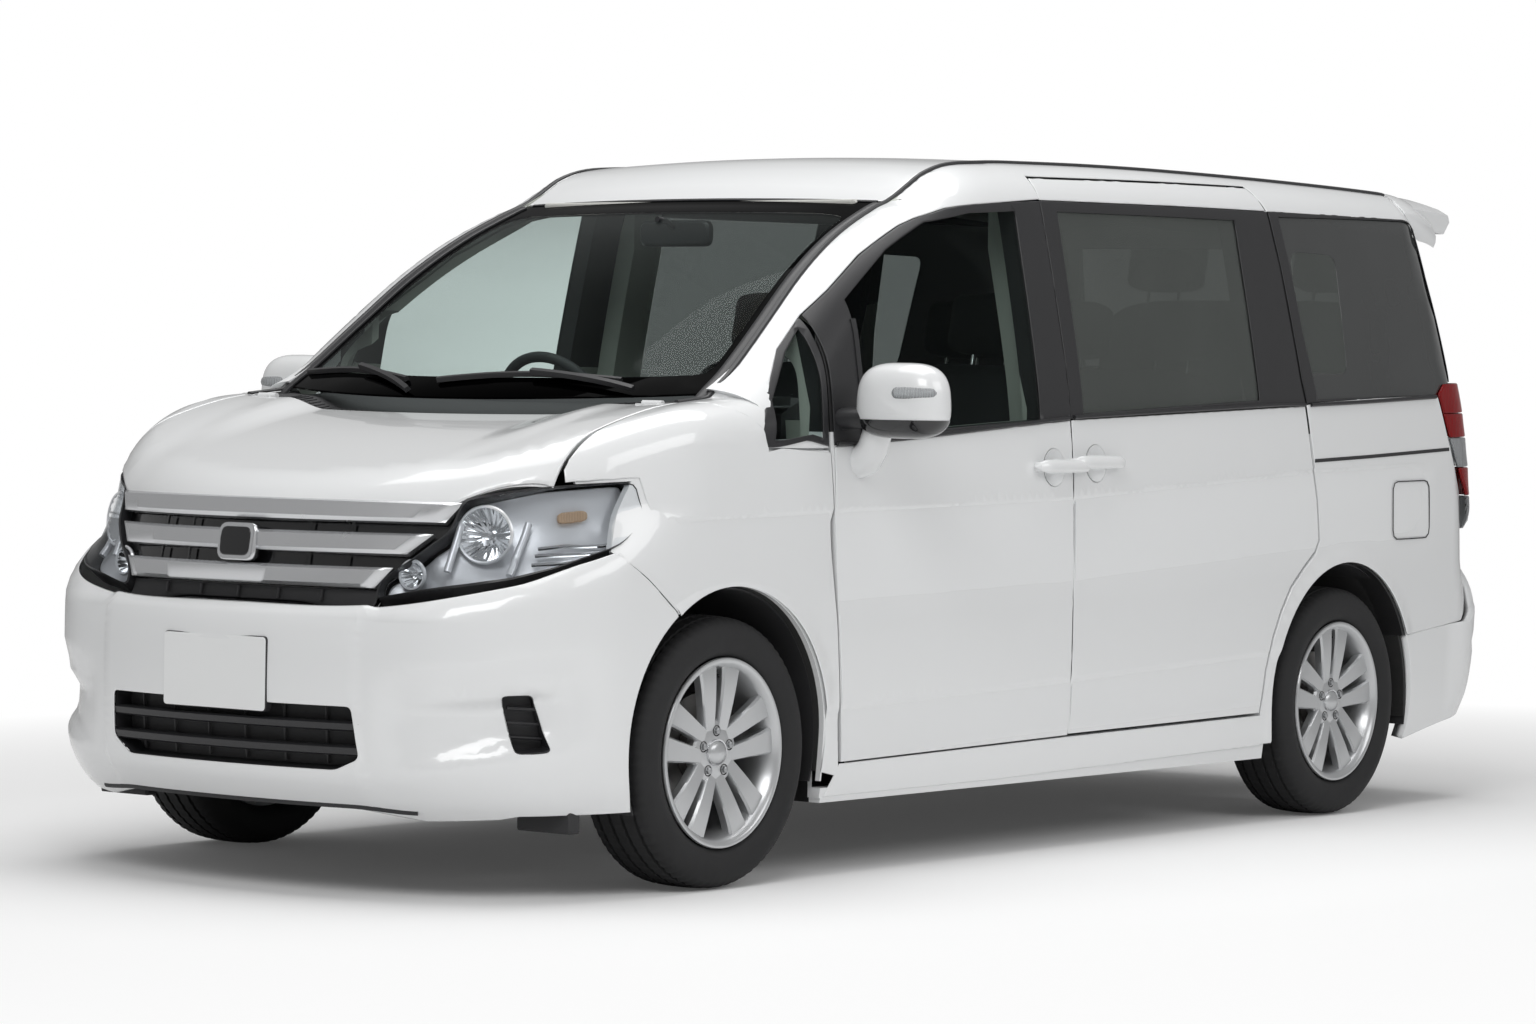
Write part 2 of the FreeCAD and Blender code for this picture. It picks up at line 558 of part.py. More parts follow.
def side_edge(y):
    """Return X of the line where the body side meets the windscreen and the roof."""
    fade = smooth_step(*BOW_FADE_SHARES, (y - FRONT_AXLE) / WHEELBASE)
    return HALF * (SIDE_EDGE_SHARES[0] + fade * (SIDE_EDGE_SHARES[1] - SIDE_EDGE_SHARES[0]))


def front_points(shares):
    """Return the points of a front outline as pairs of X and Z."""
    return [(across * HALF, level(up)) for across, up in shares]


def side_skin(depth, start=0.0):
    """Return a skin of the left side of the whole body."""
    front, rear = (station(share) for share in SIDE_SPAN_SHARES)
    rays = side_rays(whole_body, front, rear, level(LOWER_LEVEL_SHARE), side_edge,
                     size("shoulder_radius") * SHOULDER_DROP_SHARE, *SIDE_COUNTS)
    return skin(whole_body, rays, depth, start, along_rays=True)


def front_skin(depth, start=0.0):
    """Return a skin of the nose, from wheel arch to wheel arch."""
    low, high = (level(share) for share in NOSE_LEVEL_SHARES)
    rays = fan_rays(station(FRONT_FAN_SHARE), -1, FAN_REACH, low, high, *NOSE_COUNTS)
    return skin(lower_body, rays, depth, start, along_rays=True)


def rear_skin(depth, start=0.0):
    """Return a skin of the tail, from wheel arch to wheel arch."""
    low, high = (level(share) for share in TAIL_LEVEL_SHARES)
    rays = fan_rays(station(REAR_FAN_SHARE), 1, FAN_REACH, low, high, *TAIL_COUNTS)
    return skin(whole_body, rays, depth, start, along_rays=True)


def arch(centre_y, radius, height, low, high):
    """Return the cutter of a wheel arch: a round top on upright sides."""
    cutter = Part.makeCylinder(radius, high - low, Vector(low, centre_y, height), Vector(1, 0, 0))
    return cutter.fuse(box(low, high, centre_y - radius, centre_y + radius, -OVER, height))


def front_arch(grow=0.0):
    """Return the cutter of the left front wheel arch."""
    return arch(FRONT_AXLE + GAP, size("front_arch_radius") + grow, size("front_arch_height"), 0, LENGTH)


def rear_arch(grow=0.0):
    """Return the cutter of the left rear wheel arch."""
    return arch(REAR_AXLE + GAP, size("rear_arch_radius") + grow, size("rear_arch_height"), 0, LENGTH)


def hood_front(x):
    """Return Y of the hood's front edge."""
    return FRONT_AXLE - NOSE * curve(HOOD_FRONT_SHARES, abs(x) / HALF)


def hood_rear(x):
    """Return Y of the hood's rear edge."""
    middle, corner = HOOD_REAR_SHARES
    return FRONT_AXLE - NOSE * (middle + (corner - middle) * (x / HALF / HOOD_HALF_SHARE) ** 2)


def glass_base(x):
    """Return Y of the windscreen's lower edge."""
    middle, corner = GLASS_BASE_SHARES
    return station(middle + (corner - middle) * (x / HALF / SIDE_EDGE_SHARES[0]) ** 2)


def glass_top(x):
    """Return Y of the windscreen's upper edge."""
    middle, corner = GLASS_TOP_SHARES
    return station(middle + (corner - middle) * (x / HALF / SIDE_EDGE_SHARES[1]) ** 2)


def hood_skin(depth, start=0.0, grow=0.0):
    """Return a skin of the nose's top inside the hood's outline, grown by an amount."""
    rays = top_rays(lambda x: hood_front(x) - grow, lambda x: hood_rear(x) + grow,
                    HALF * HOOD_HALF_SHARE + grow, level(RAY_BASE_SHARE), *HOOD_COUNTS)
    return skin(lower_body, rays, depth, start)


def fender_skin(depth, start=0.0):
    """Return a skin of the left side beside the hood."""
    edge = HALF * HOOD_HALF_SHARE + GAP
    front, rear = (station(share) for share in FENDER_SPAN_SHARES)
    rays = side_rays(lower_body, front, rear, level(FENDER_LOW_SHARE), lambda y: edge,
                     size("hood_edge_radius") * FENDER_DROP_SHARE, *FENDER_COUNTS)
    return skin(lower_body, rays, depth, start)


HINGE_X = HALF - size("door_hinge_radius") * HINGE_INSET_SHARES[0]
DOOR_START = station(min(along for along, up in FRONT_DOOR_SHARES))
HINGE_Y = DOOR_START + size("door_hinge_radius") * HINGE_INSET_SHARES[1]
THICK_SIDE = side_skin(size("pillar_wall"))
SIDE = side_skin(size("side_wall"))
DOOR_CAVITY = side_skin(size("door_wall") + GAP, -OVER)
DOOR_SKIN = side_skin(size("door_wall"))
FRAME_SKIN = side_skin(size("door_frame_wall"))
GLASS_SKIN = side_skin(size("glass_inset") + size("glass_wall"), size("glass_inset"))
REAR_TAILGATE = rear_skin(size("tailgate_wall"))
HOOD_CAVITY = hood_skin(size("hood_wall") + GAP, -OVER, GAP)
FENDER_CAVITY = fender_skin(size("fender_wall") + size("seat_clearance"), -OVER)
REAR_BUMPER_CAVITY = rear_skin(size("bumper_wall") + size("seat_clearance"), -REACH)
BUMPER_CAVITY = front_skin(size("bumper_wall") + size("seat_clearance"), -REACH)


def hinge_rod(grow=0.0):
    """Return the upright cylinder that the front end of the left door turns inside."""
    radius = size("door_hinge_radius") + grow
    foot, height = (level(share) for share in HINGE_LEVEL_SHARES)
    return Part.makeCylinder(radius, height, Vector(HINGE_X, HINGE_Y, foot), Vector(0, 0, 1))


def fender():
    """Return the left front fender."""
    panel = fender_skin(size("fender_wall")).common(plate_x(side_points(FENDER_SHARES)))
    panel = panel.cut(front_arch())
    panel = panel.cut(plate_x(grown(side_points(FRONT_DOOR_SHARES), GAP)))
    return panel.cut(hinge_rod(GAP))


def body_side():
    """Return the left body side: pillars, roof rail, quarter panel and sill, with open doorways."""
    door = side_points(FRONT_DOOR_SHARES)
    sliding = side_points(SLIDING_DOOR_SHARES)

    def band(y0, y1, z0, z1):
        return THICK_SIDE.common(box(0, HALF + OVER, station(y0), station(y1), level(z0), level(z1)))

    side = SIDE.common(plate_x(side_points(BODY_SIDE_SHARES)))
    side = side.fuse([band(*member) for member in MEMBER_SHARES])
    side = side.cut(DOOR_CAVITY.common(plate_x(grown(door, GAP))))
    side = side.cut(DOOR_CAVITY.common(plate_x(grown(sliding, GAP))))
    side = side.cut(hinge_rod(GAP))
    side = side.cut([rear_arch(), plate_x(side_points(REAR_GLASS_SHARES)),
                     plate_x(side_points(QUARTER_GLASS_SHARES))])
    side = side.cut(front_arch(GAP))
    side = side.cut(FENDER_CAVITY.common(plate_x(grown(side_points(FENDER_SHARES), GAP))))
    carrier = rear_skin(size("tail_lamp_depth") + size("wheelhouse_wall"),
                        size("tail_lamp_depth") + size("seat_clearance"))
    keep = plate_x(grown(side_points(TAIL_LAMP_SHARES), GAP * 2), HALF * TAILGATE_HALF_SHARE + GAP)
    side = side.fuse(carrier.common(keep).cut(plate_x(side_points(REAR_BUMPER_SHARES))))
    pads = [jack_pad(station(share)) for share in JACK_STATION_SHARES]
    side = side.fuse(pads)
    for pad in pads:
        centre = Vector(pad.BoundBox.Center.x, pad.BoundBox.Center.y, pad.BoundBox.ZMin)
        side = side.cut(rod(centre, centre + Vector(0, 0, size("jack_bore_depth")), size("jack_bore")))
    return side.removeSplitter()


def jack_pad(y):
    """Return the block under the left sill that a jack lifts at a station."""
    low, high = (level(share) for share in PAD_LEVEL_SHARES)
    x, half = half_width(y, low) - size("pillar_wall"), size("jack_pad_length") / 2
    return box(x, x + size("jack_pad_width"), y - half, y + half, level(LOWER_LEVEL_SHARE) - GAP, high)


def front_door():
    """Return the left front door with its window frame."""
    outline = side_points(FRONT_DOOR_SHARES)
    belt = level(BELT_SHARE)
    low = DOOR_SKIN.common(plate_x(outline)).common(box(0, HALF + OVER, -LENGTH, LENGTH, 0, belt))
    high = FRAME_SKIN.common(plate_x(outline)).common(box(0, HALF + OVER, -LENGTH, LENGTH, belt, HEIGHT))
    door = low.fuse(high)
    door = door.cut(plate_x(side_points(FRONT_GLASS_SHARES)))
    ahead = box(0, HALF + OVER, -LENGTH, HINGE_Y, 0, level(DOOR_NOSE_SHARE))
    door = door.cut(ahead).fuse(door.common(hinge_rod()).common(ahead))
    rear = station(FRONT_DOOR_SHARES[1][0])
    wide = HALF * WIDE_SHARE
    wedge = [(0, rear - size("door_slant")), (wide, rear), (wide, rear + OVER), (0, rear + OVER)]
    return door.cut(plate_z(wedge, 0.0, HEIGHT)).removeSplitter()


def sliding_door():
    """Return the left sliding door."""
    outline = grown(side_points(SLIDING_DOOR_SHARES), -GAP / 2)
    belt = level(SLIDING_BELT_SHARE)
    low = DOOR_SKIN.common(plate_x(outline)).common(box(0, HALF + OVER, -LENGTH, LENGTH, 0, belt))
    high = FRAME_SKIN.common(plate_x(outline)).common(box(0, HALF + OVER, -LENGTH, LENGTH, belt, HEIGHT))
    front = station(FRONT_DOOR_SHARES[1][0]) + size("door_gap")
    ahead = box(0, HALF + OVER, -LENGTH, front, 0, HEIGHT)
    return low.fuse(high).cut(plate_x(side_points(SLIDING_GLASS_SHARES))).cut(ahead).removeSplitter()


def pane(shares):
    """Return a side window pane that fits its opening."""
    return GLASS_SKIN.common(plate_x(grown(side_points(shares), -size("seat_clearance"))))


def lamp():
    """Return the left headlamp."""
    x0, (x1, z1) = GRILLE_OUT_SHARES[1][0], GRILLE_OUT_SHARES[2]
    wide, high = HALF * WIDE_SHARE, level(LAMP_LEVEL_SHARE)
    bottom = [(x, bumper_top(x) + GAP / 2) for x in steps(HALF * x0, wide, LAMP_EDGE_COUNT)]
    outline = bottom + [(wide, high), (HALF * x1, high), (HALF * x1, level(z1))]
    solid = front_skin(size("lamp_depth")).common(plate_y(outline, -LENGTH, 0))
    solid = solid.common(plate_x(side_points(LAMP_SIDE_SHARES)))
    return solid.cut(HOOD_CAVITY)


def grille():
    """Return the upper grille: a dark back plate with three broad bars across it and a plain badge seat."""
    left = [(x * HALF - GAP, level(z)) for x, z in GRILLE_OUT_SHARES]
    outline = left + [(-x, z) for x, z in reversed(left)]
    back, proud = (size("grille_depth") * share for share in GRILLE_DEPTH_SHARES)
    base = front_skin(size("grille_depth"), back)
    room = box(-HALF, HALF, -LENGTH, 0, level(BUMPER_TOP_SHARE) + GAP, level(GRILLE_TOP_SHARE))
    keep = plate_y(outline, -LENGTH, 0).common(room)
    bars = [box(-HALF, HALF, -LENGTH, 0, level(low), level(high)) for low, high in BAR_SHARES]
    low, high = (level(share) for share in BADGE_SHARES)
    badge = box(-size("badge_width") / 2, size("badge_width") / 2, -LENGTH, 0, low, high)
    front = front_skin(proud).common(bars[0].fuse(bars[1:] + [badge]))
    return base.fuse(front).common(keep).cut(HOOD_CAVITY).removeSplitter()


def lower_grille():
    """Return the dark grille in the front bumper's intake, with two slats, and the fog lamp grilles."""
    behind = size("bumper_wall") + size("seat_clearance")
    keep = [plate_y(grown(front_points(INTAKE_SHARES), GAP * 2), -LENGTH, 0)]
    fog = plate_y(grown(front_points(FOG_SHARES), GAP), -LENGTH, 0)
    keep += [fog, mirrored(fog)]
    plates = front_skin(behind + size("grille_plate"), behind).common(keep[0].fuse(keep[1:]))
    half = HALF * SLAT_HALF_SHARE
    slats = [box(-half, half, -LENGTH, 0, level(low), level(high)) for low, high in SLAT_SHARES]
    slats = front_skin(behind + size("grille_plate") / 2).common(slats[0].fuse(slats[1:]))
    return plates.fuse(slats)


def front_bumper():
    """Return the front bumper with its intake and fog lamp openings."""
    wide = HALF * WIDE_SHARE
    top = [(x, bumper_top(x) - GAP / 2) for x in steps(-wide, wide, BUMPER_EDGE_COUNT)]
    below = top + [(wide, 0.0), (-wide, 0.0)]
    half = plate_x(side_points(BUMPER_SIDE_SHARES))
    panel = front_skin(size("bumper_wall")).common(plate_y(below, -LENGTH, 0))
    panel = panel.common(half.fuse(mirrored(half)))
    fog = plate_y(front_points(FOG_SHARES), -LENGTH, 0)
    arches = front_arch()
    return panel.cut([plate_y(front_points(INTAKE_SHARES), -LENGTH, 0), fog, mirrored(fog),
                      arches, mirrored(arches)])


def rear_bumper():
    """Return the rear bumper, with its corners reaching up to the lamps."""
    half = plate_x(grown(side_points(REAR_BUMPER_SHARES), -GAP / 2))
    middle = box(-HALF * TAILGATE_HALF_SHARE, HALF * TAILGATE_HALF_SHARE, REAR_AXLE, LENGTH,
                 level(TAILGATE_BOTTOM_SHARE) - GAP, HEIGHT)
    panel = rear_skin(size("bumper_wall")).common(half.fuse(mirrored(half)))
    arches = rear_arch()
    return panel.cut([middle, arches, mirrored(arches)])


def tail_lamp():
    """Return the left tail lamp."""
    half = plate_x(grown(side_points(TAIL_LAMP_SHARES), -GAP / 2), HALF * TAILGATE_HALF_SHARE + GAP)
    return rear_skin(size("tail_lamp_depth")).common(half)


def tailgate():
    """Return the tailgate with its spoiler and an open window."""
    side = plate_x(grown(side_points(BODY_SIDE_SHARES), GAP))
    wide, lamp_top = HALF * WIDE_SHARE, level(LAMP_TOP_SHARE)
    upper = box(-wide, wide, REAR_AXLE, LENGTH, lamp_top + GAP, level(TAILGATE_TOP_SHARE))
    lower = box(-HALF * TAILGATE_HALF_SHARE, HALF * TAILGATE_HALF_SHARE, REAR_AXLE, LENGTH,
                level(TAILGATE_BOTTOM_SHARE), lamp_top + GAP * 2)
    door = REAR_TAILGATE.common(upper.fuse(lower)).cut([side, mirrored(side)])
    half = HALF * SPOILER_HALF_SHARE
    spoiler = plate_x(side_points(SPOILER_SHARES), -half, half)
    rail = plate_x(grown(side_points(BODY_SIDE_SHARES), GAP), HALF * SIDE_EDGE_SHARES[1] - GAP)
    door = door.fuse(spoiler.common(top_wedge()).cut([rail, mirrored(rail)]))
    arm = size("hinge_arm")
    y, z = FRONT_AXLE + size("tailgate_hinge_y"), size("tailgate_hinge_z")
    door = door.fuse(hinge_barrels("tailgate_hinge", y, z, arm, arm))
    return door.cut(plate_y(front_points(TAILGATE_GLASS_SHARES), REAR_AXLE, LENGTH)).removeSplitter()


def top_wedge():
    """Return the space under the roof line, used to round the spoiler's upper face."""
    front, rear = (station(share) for share in WEDGE_SPAN_SHARES)
    rays = top_rays(lambda x: front, lambda x: rear, HALF * WEDGE_HALF_SHARE, level(WEDGE_BASE_SHARE),
                    *WEDGE_COUNTS)
    top = [[hit(long_body, anchor, direction) for anchor, direction in row] for row in rays]
    base = [[anchor for anchor, direction in row] for row in rays]
    return closed(top, base)


def hinge_barrels(name, y, z, reach, drop):
    """Return a pair of hinge barrels along X, each with an arm that reaches along Y and goes down."""
    x, length, radius = size(name + "_x"), size(name + "_length"), size(name + "_radius")
    start = Vector(x - length / 2, y, z)
    barrel = rod(start, start + Vector(length, 0, 0), radius)
    arm = box(start.x, start.x + length, min(y, y + reach), max(y, y + reach), z - drop, z)
    pair = barrel.fuse(arm)
    return pair.fuse(mirrored(pair))


def hood():
    """Return the hood, with the barrels of its hinges."""
    barrels = hinge_barrels("hood_hinge", FRONT_AXLE - size("hood_hinge_y"), size("hood_hinge_z"),
                            -size("hinge_arm"), size("hood_hinge_radius"))
    return hood_skin(size("hood_wall")).fuse(barrels).removeSplitter()


def hinge_room():
    """Return the pockets in the cowl that the hood's hinge barrels turn in."""
    x, length, radius = size("hood_hinge_x"), size("hood_hinge_length"), size("hood_hinge_radius")
    y, z, room = FRONT_AXLE - size("hood_hinge_y"), size("hood_hinge_z"), size("bearing_clearance")
    half = box(x - length / 2 - room, x + length / 2 + room, y - REACH, y + radius + room,
               z - radius - room, HEIGHT)
    return half.fuse(mirrored(half))


def windscreen():
    """Return the windscreen."""
    grid = []
    for u in steps(-1, 1, SCREEN_COUNTS[0]):
        row = []
        for v in steps(0, 1, SCREEN_COUNTS[1]):
            low = glass_base(u * HALF * SIDE_EDGE_SHARES[0]) + GAP
            y = low + v * (glass_top(u * HALF * SIDE_EDGE_SHARES[1]) - low)
            anchor = Vector(u * (side_edge(y) - GAP / 2), y, level(SCREEN_BASE_SHARE))
            row.append((anchor, Vector(0, 0, 1)))
        grid.append(row)
    return skin(upper_body, grid, size("glass_wall"))


def cowl():
    """Return the dark cowl between the hood and the windscreen."""
    half = HALF * SIDE_EDGE_SHARES[0] - size("seat_clearance")
    rays = top_rays(lambda x: hood_rear(x) + GAP, lambda x: glass_base(x) + GAP * 2, half,
                    level(RAY_BASE_SHARE), *COWL_COUNTS)
    return skin(lower_body, rays, size("hood_wall"), GAP).cut(hinge_room())


def roof():
    """Return the roof panel between the drip mouldings."""
    half = HALF * SIDE_EDGE_SHARES[1] - size("seat_clearance")
    rays = top_rays(lambda x: glass_top(x) + GAP, lambda x: station(ROOF_REAR_SHARE), half,
                    level(ROOF_BASE_SHARE), *ROOF_COUNTS)
    return skin(upper_body, rays, size("roof_wall"))


def cell(text):
    """Return an expression with each word of the sheet bound to its cell."""
    words = text.replace("(", "( ").replace(")", " )").split()
    return " ".join(f"Sizes.{word}" if word in SIZES else word for word in words)


def bind(item, **expressions):
    """Bind properties of an object to expressions of the sheet's words, with __ for a dot."""
    for name, text in expressions.items():
        item.setExpression(name.replace("__", "."), cell(text))


def block(name, length, width, height, x, y, z):
    """Add a Part::Box bound to the sheet, placed by its low corner."""
    item = DOC.addObject("Part::Box", name)
    bind(item, Length=length, Width=width, Height=height, Placement__Base__x=x, Placement__Base__y=y,
         Placement__Base__z=z)
    return item


def revolved(body, points):
    """Add a sketch of points, given as words for X and radius, and turn it about the X axis."""
    sketch = body.newObject("Sketcher::SketchObject", body.Name + "_profile")
    plane = next(item for item in body.Origin.OriginFeatures if item.Role == "XZ_Plane")
    sketch.AttachmentSupport, sketch.MapMode = (plane, ""), "FlatFace"
    values = [(sheet_value(x), sheet_value(r)) for x, r in points]
    for (x0, r0), (x1, r1) in zip(values, values[1:] + values[:1]):
        sketch.addGeometry(Part.LineSegment(Vector(x0, r0, 0), Vector(x1, r1, 0)), False)
    count = len(points)
    for i in range(count):
        sketch.addConstraint(Sketcher.Constraint("Coincident", i, 2, (i + 1) % count, 1))
    for i, (x, r) in enumerate(points):
        for kind, text, value in (("DistanceX", x, values[i][0]), ("DistanceY", r, values[i][1])):
            if text == "0":
                sketch.addConstraint(Sketcher.Constraint("PointOnObject", i, 1, -1))
                continue
            index = sketch.addConstraint(Sketcher.Constraint(kind, -1, 1, i, 1, value))
            sketch.setExpression(f"Constraints[{index}]", cell(text))
    turn = body.newObject("PartDesign::Revolution", body.Name + "_turned")
    turn.Profile, turn.ReferenceAxis, turn.Angle = sketch, (sketch, ["H_Axis"]), 360
    sketch.Visibility = False
    return turn


def sheet_value(text):
    """Return the present value of an expression in the sheet's words."""
    probe = SHEET.evalExpression(cell(text).replace("Sizes.", ""))
    return float(getattr(probe, "Value", probe))


def wheel(label, side, axle):
    """Add a wheel: a barrel, five pairs of spokes, and a hub with its brake disc and blind bore."""
    body = DOC.addObject("PartDesign::Body", label)
    body.Label = label
    bead = "rim_radius - rim_bead"
    revolved(body, [("- rim_width / 2", "rim_radius"), ("- rim_width / 2 + rim_wall", "rim_radius"),
                    ("- rim_width / 2 + rim_wall * 2", bead), ("rim_width / 2 - rim_wall * 2", bead),
                    ("rim_width / 2 - rim_wall", "rim_radius"), ("rim_width / 2", "rim_radius"),
                    ("rim_width / 2", "rim_radius - rim_wall"),
                    ("rim_width / 2 - rim_wall * 2", bead + " - rim_wall"),
                    ("- rim_width / 2 + rim_wall * 2", bead + " - rim_wall"),
                    ("- rim_width / 2", "rim_radius - rim_wall")])
    sketch = body.newObject("Sketcher::SketchObject", label + "_spokes")
    plane = next(item for item in body.Origin.OriginFeatures if item.Role == "YZ_Plane")
    sketch.AttachmentSupport, sketch.MapMode = (plane, ""), "FlatFace"
    sketch.setExpression("AttachmentOffset.Base.z", cell("spoke_face - spoke_depth"))
    low, high = "hub_radius - rim_wall", "rim_radius - rim_bead - rim_wall / 2"
    for near, far in (("spoke_slot / 2", "spoke_slot / 2 + spoke_width"),
                      ("- spoke_slot / 2 - spoke_width", "- spoke_slot / 2")):
        closed_line(sketch, [(near, low), (far, low), (far, high), (near, high)])
    spokes = body.newObject("PartDesign::Pad", label + "_spoke_pair")
    spokes.Profile = sketch
    bind(spokes, Length="spoke_depth")
    pattern = body.newObject("PartDesign::PolarPattern", label + "_spoke_ring")
    pattern.Originals, pattern.Axis = [spokes], (sketch, ["N_Axis"])
    pattern.Angle, pattern.Occurrences = 360, SPOKE_PAIRS
    body.Tip = pattern
    bore = "stub_radius + seat_clearance"
    revolved(body, [("- hub_back", bore), ("- hub_back", "brake_disc_radius"),
                    ("- disc_face", "brake_disc_radius"), ("- disc_face", "hub_radius"),
                    ("hub_face - hub_bevel", "hub_radius"), ("hub_face", "hub_radius - hub_bevel"),
                    ("hub_face", "0"), ("bore_end", "0"),
                    ("bore_end", bore)])
    place_wheel(body, side, axle)


def tyre(label, side, axle):
    """Add a tyre as one ring that sits on its rim."""
    body = DOC.addObject("PartDesign::Body", label)
    body.Label = label
    bead_x = "rim_width / 2 - rim_wall * 2 - seat_clearance"
    half = [(bead_x, "rim_radius - rim_bead + seat_clearance"), (bead_x, "rim_radius + seat_clearance"),
            ("tyre_width / 2 - tyre_edge", "rim_radius + bead_rise"),
            ("tyre_width / 2", "( rim_radius + tyre_radius ) / 2"),
            ("tyre_width / 2 - tyre_edge", "tyre_radius - tyre_edge"),
            ("tyre_width / 2 - tyre_shoulder", "tyre_radius")]
    other = [("- ( " + x + " )", radius) for x, radius in reversed(half)]
    revolved(body, half + other)
    place_wheel(body, side, axle)


def place_wheel(body, side, axle):
    """Put a wheel or tyre at its place, with its face outwards."""
    turn = 0 if side > 0 else 180
    body.Placement.Rotation = FreeCAD.Rotation(Vector(0, 0, 1), turn)
    bind(body, Placement__Base__x=f"{side} * track / 2", Placement__Base__y=axle,
         Placement__Base__z="tyre_radius")
    PIECES.append(body)


def closed_line(sketch, points):
    """Add a closed line to a sketch, with each corner bound to words of the sheet."""
    first = sketch.GeometryCount
    values = [(sheet_value(x), sheet_value(y)) for x, y in points]
    for (x0, y0), (x1, y1) in zip(values, values[1:] + values[:1]):
        sketch.addGeometry(Part.LineSegment(Vector(x0, y0, 0), Vector(x1, y1, 0)), False)
    for i in range(len(points)):
        after = first + (i + 1) % len(points)
        sketch.addConstraint(Sketcher.Constraint("Coincident", first + i, 2, after, 1))
    for i, (x, y) in enumerate(points):
        for kind, text, value in (("DistanceX", x, values[i][0]), ("DistanceY", y, values[i][1])):
            index = sketch.addConstraint(Sketcher.Constraint(kind, -1, 1, first + i, 1, value))
            sketch.setExpression(f"Constraints[{index}]", cell(text))


def kingpin(z):
    """Return the point of the left steering axis at a level."""
    low = Vector(size("kingpin_low_x"), FRONT_AXLE, size("kingpin_low_z"))
    top = Vector(size("kingpin_top_x"), FRONT_AXLE, size("kingpin_top_z"))
    return low + (top - low) * ((z - low.z) / (top.z - low.z))


def knuckle():
    """Return the left front knuckle with its stub axle, ball pin and strut."""
    y, half = FRONT_AXLE, size("knuckle_width") / 2
    inner, outer, low = size("knuckle_inner_x"), size("knuckle_outer_x"), size("knuckle_low")
    top = low + size("knuckle_height")
    foot = Vector(size("strut_foot_x"), y, top - size("strut_radius"))
    head = kingpin(size("kingpin_top_z"))
    seat = foot + (head - foot) * ((size("spring_low") - foot.z) / (head.z - foot.z))
    reach, hub = half * STRUT_SEAT_SHARE, Vector(outer, y, size("tyre_radius"))
    tip = size("track") / 2 + size("bore_end") - size("stub_end_gap")
    shapes = [box(foot.x, inner, y - reach, y + reach, top - size("strut_radius") * 2, top),
              rod(foot - Vector(0, 0, size("strut_radius")), head, size("strut_radius")),
              rod(seat, seat + (head - seat) * SPRING_SHARE, size("spring_radius")),
              box(outer, size("ball_reach"), y - half / 2, y + half / 2, low, low + size("stub_radius")),
              rod(kingpin(low + size("pin_radius")), kingpin(size("cross_z") + size("pin_radius")),
                  size("pin_radius")),
              rod(hub, Vector(tip, hub.y, hub.z), size("stub_radius"))]
    return box(inner, outer, y - half, y + half, low, top).fuse(shapes).removeSplitter()


def subframe():
    """Return the front subframe with its lower arms and the rails under the nose."""
    y, cross = FRONT_AXLE, size("cross_depth")
    z, arm = size("cross_z"), size("arm_height")
    rail_x, width = size("rail_x"), size("rail_width")
    front, rear = FRONT_AXLE - NOSE * FRONT_RAIL_SHARE, station(FIREWALL_SHARE) - size("seat_clearance")
    low, high = size("rail_z"), size("rail_z") + size("rail_height")
    eye = rod(kingpin(z - arm), kingpin(z + arm * 2), size("pin_radius") + size("seat_clearance"))
    half = box(0, rail_x + width, y - cross / 2, y + cross / 2, z, z + size("cross_height"))
    rails = [box(rail_x, rail_x + width, front, rear, low, high),
             box(0, rail_x + width, front, front + width, low, high),
             box(rail_x, rail_x + width, y - cross / 2, y + cross / 2, z, low)]
    reach = box(rail_x, size("arm_end_x"), y - size("arm_width") / 2, y + size("arm_width") / 2, z, z + arm)
    horn = box(rail_x, rail_x + width, -LENGTH / 2, front, low, high)
    depth = size("bumper_wall") + size("grille_plate") + 2 * size("seat_clearance")
    behind_grille = front_skin(depth, -REACH)
    behind_grille = behind_grille.common(box(0, HALF, -LENGTH, 0, 0, level(INTAKE_SHARES[2][1]) + OVER / 2))
    horn = horn.cut([BUMPER_CAVITY, behind_grille])
    half = half.fuse(rails + [reach, horn, lamp_carrier()]).cut(eye)
    return half.fuse(mirrored(half)).removeSplitter()


def lamp_carrier():
    """Return the left half of the panel that holds the headlamps and the upper grille."""
    back, wall = size("lamp_depth") + size("seat_clearance"), size("wheelhouse_wall")
    low, high = level(CARRIER_LEVEL_SHARES[0]), level(CARRIER_LEVEL_SHARES[1])
    rail_x, width = size("rail_x"), size("rail_width")
    panel = front_skin(back + wall, back).common(box(0, HALF * CARRIER_HALF_SHARE, -LENGTH, 0, low, high))
    post = front_skin(back + wall, size("grille_depth") + size("seat_clearance"))
    post = post.common(box(0, size("badge_width") / 2, -LENGTH, 0, low, high))
    column = box(rail_x, rail_x + width, -LENGTH, 0, size("rail_z"), high)
    upright = front_skin(back + wall, back).common(column)
    return panel.fuse([post, upright])


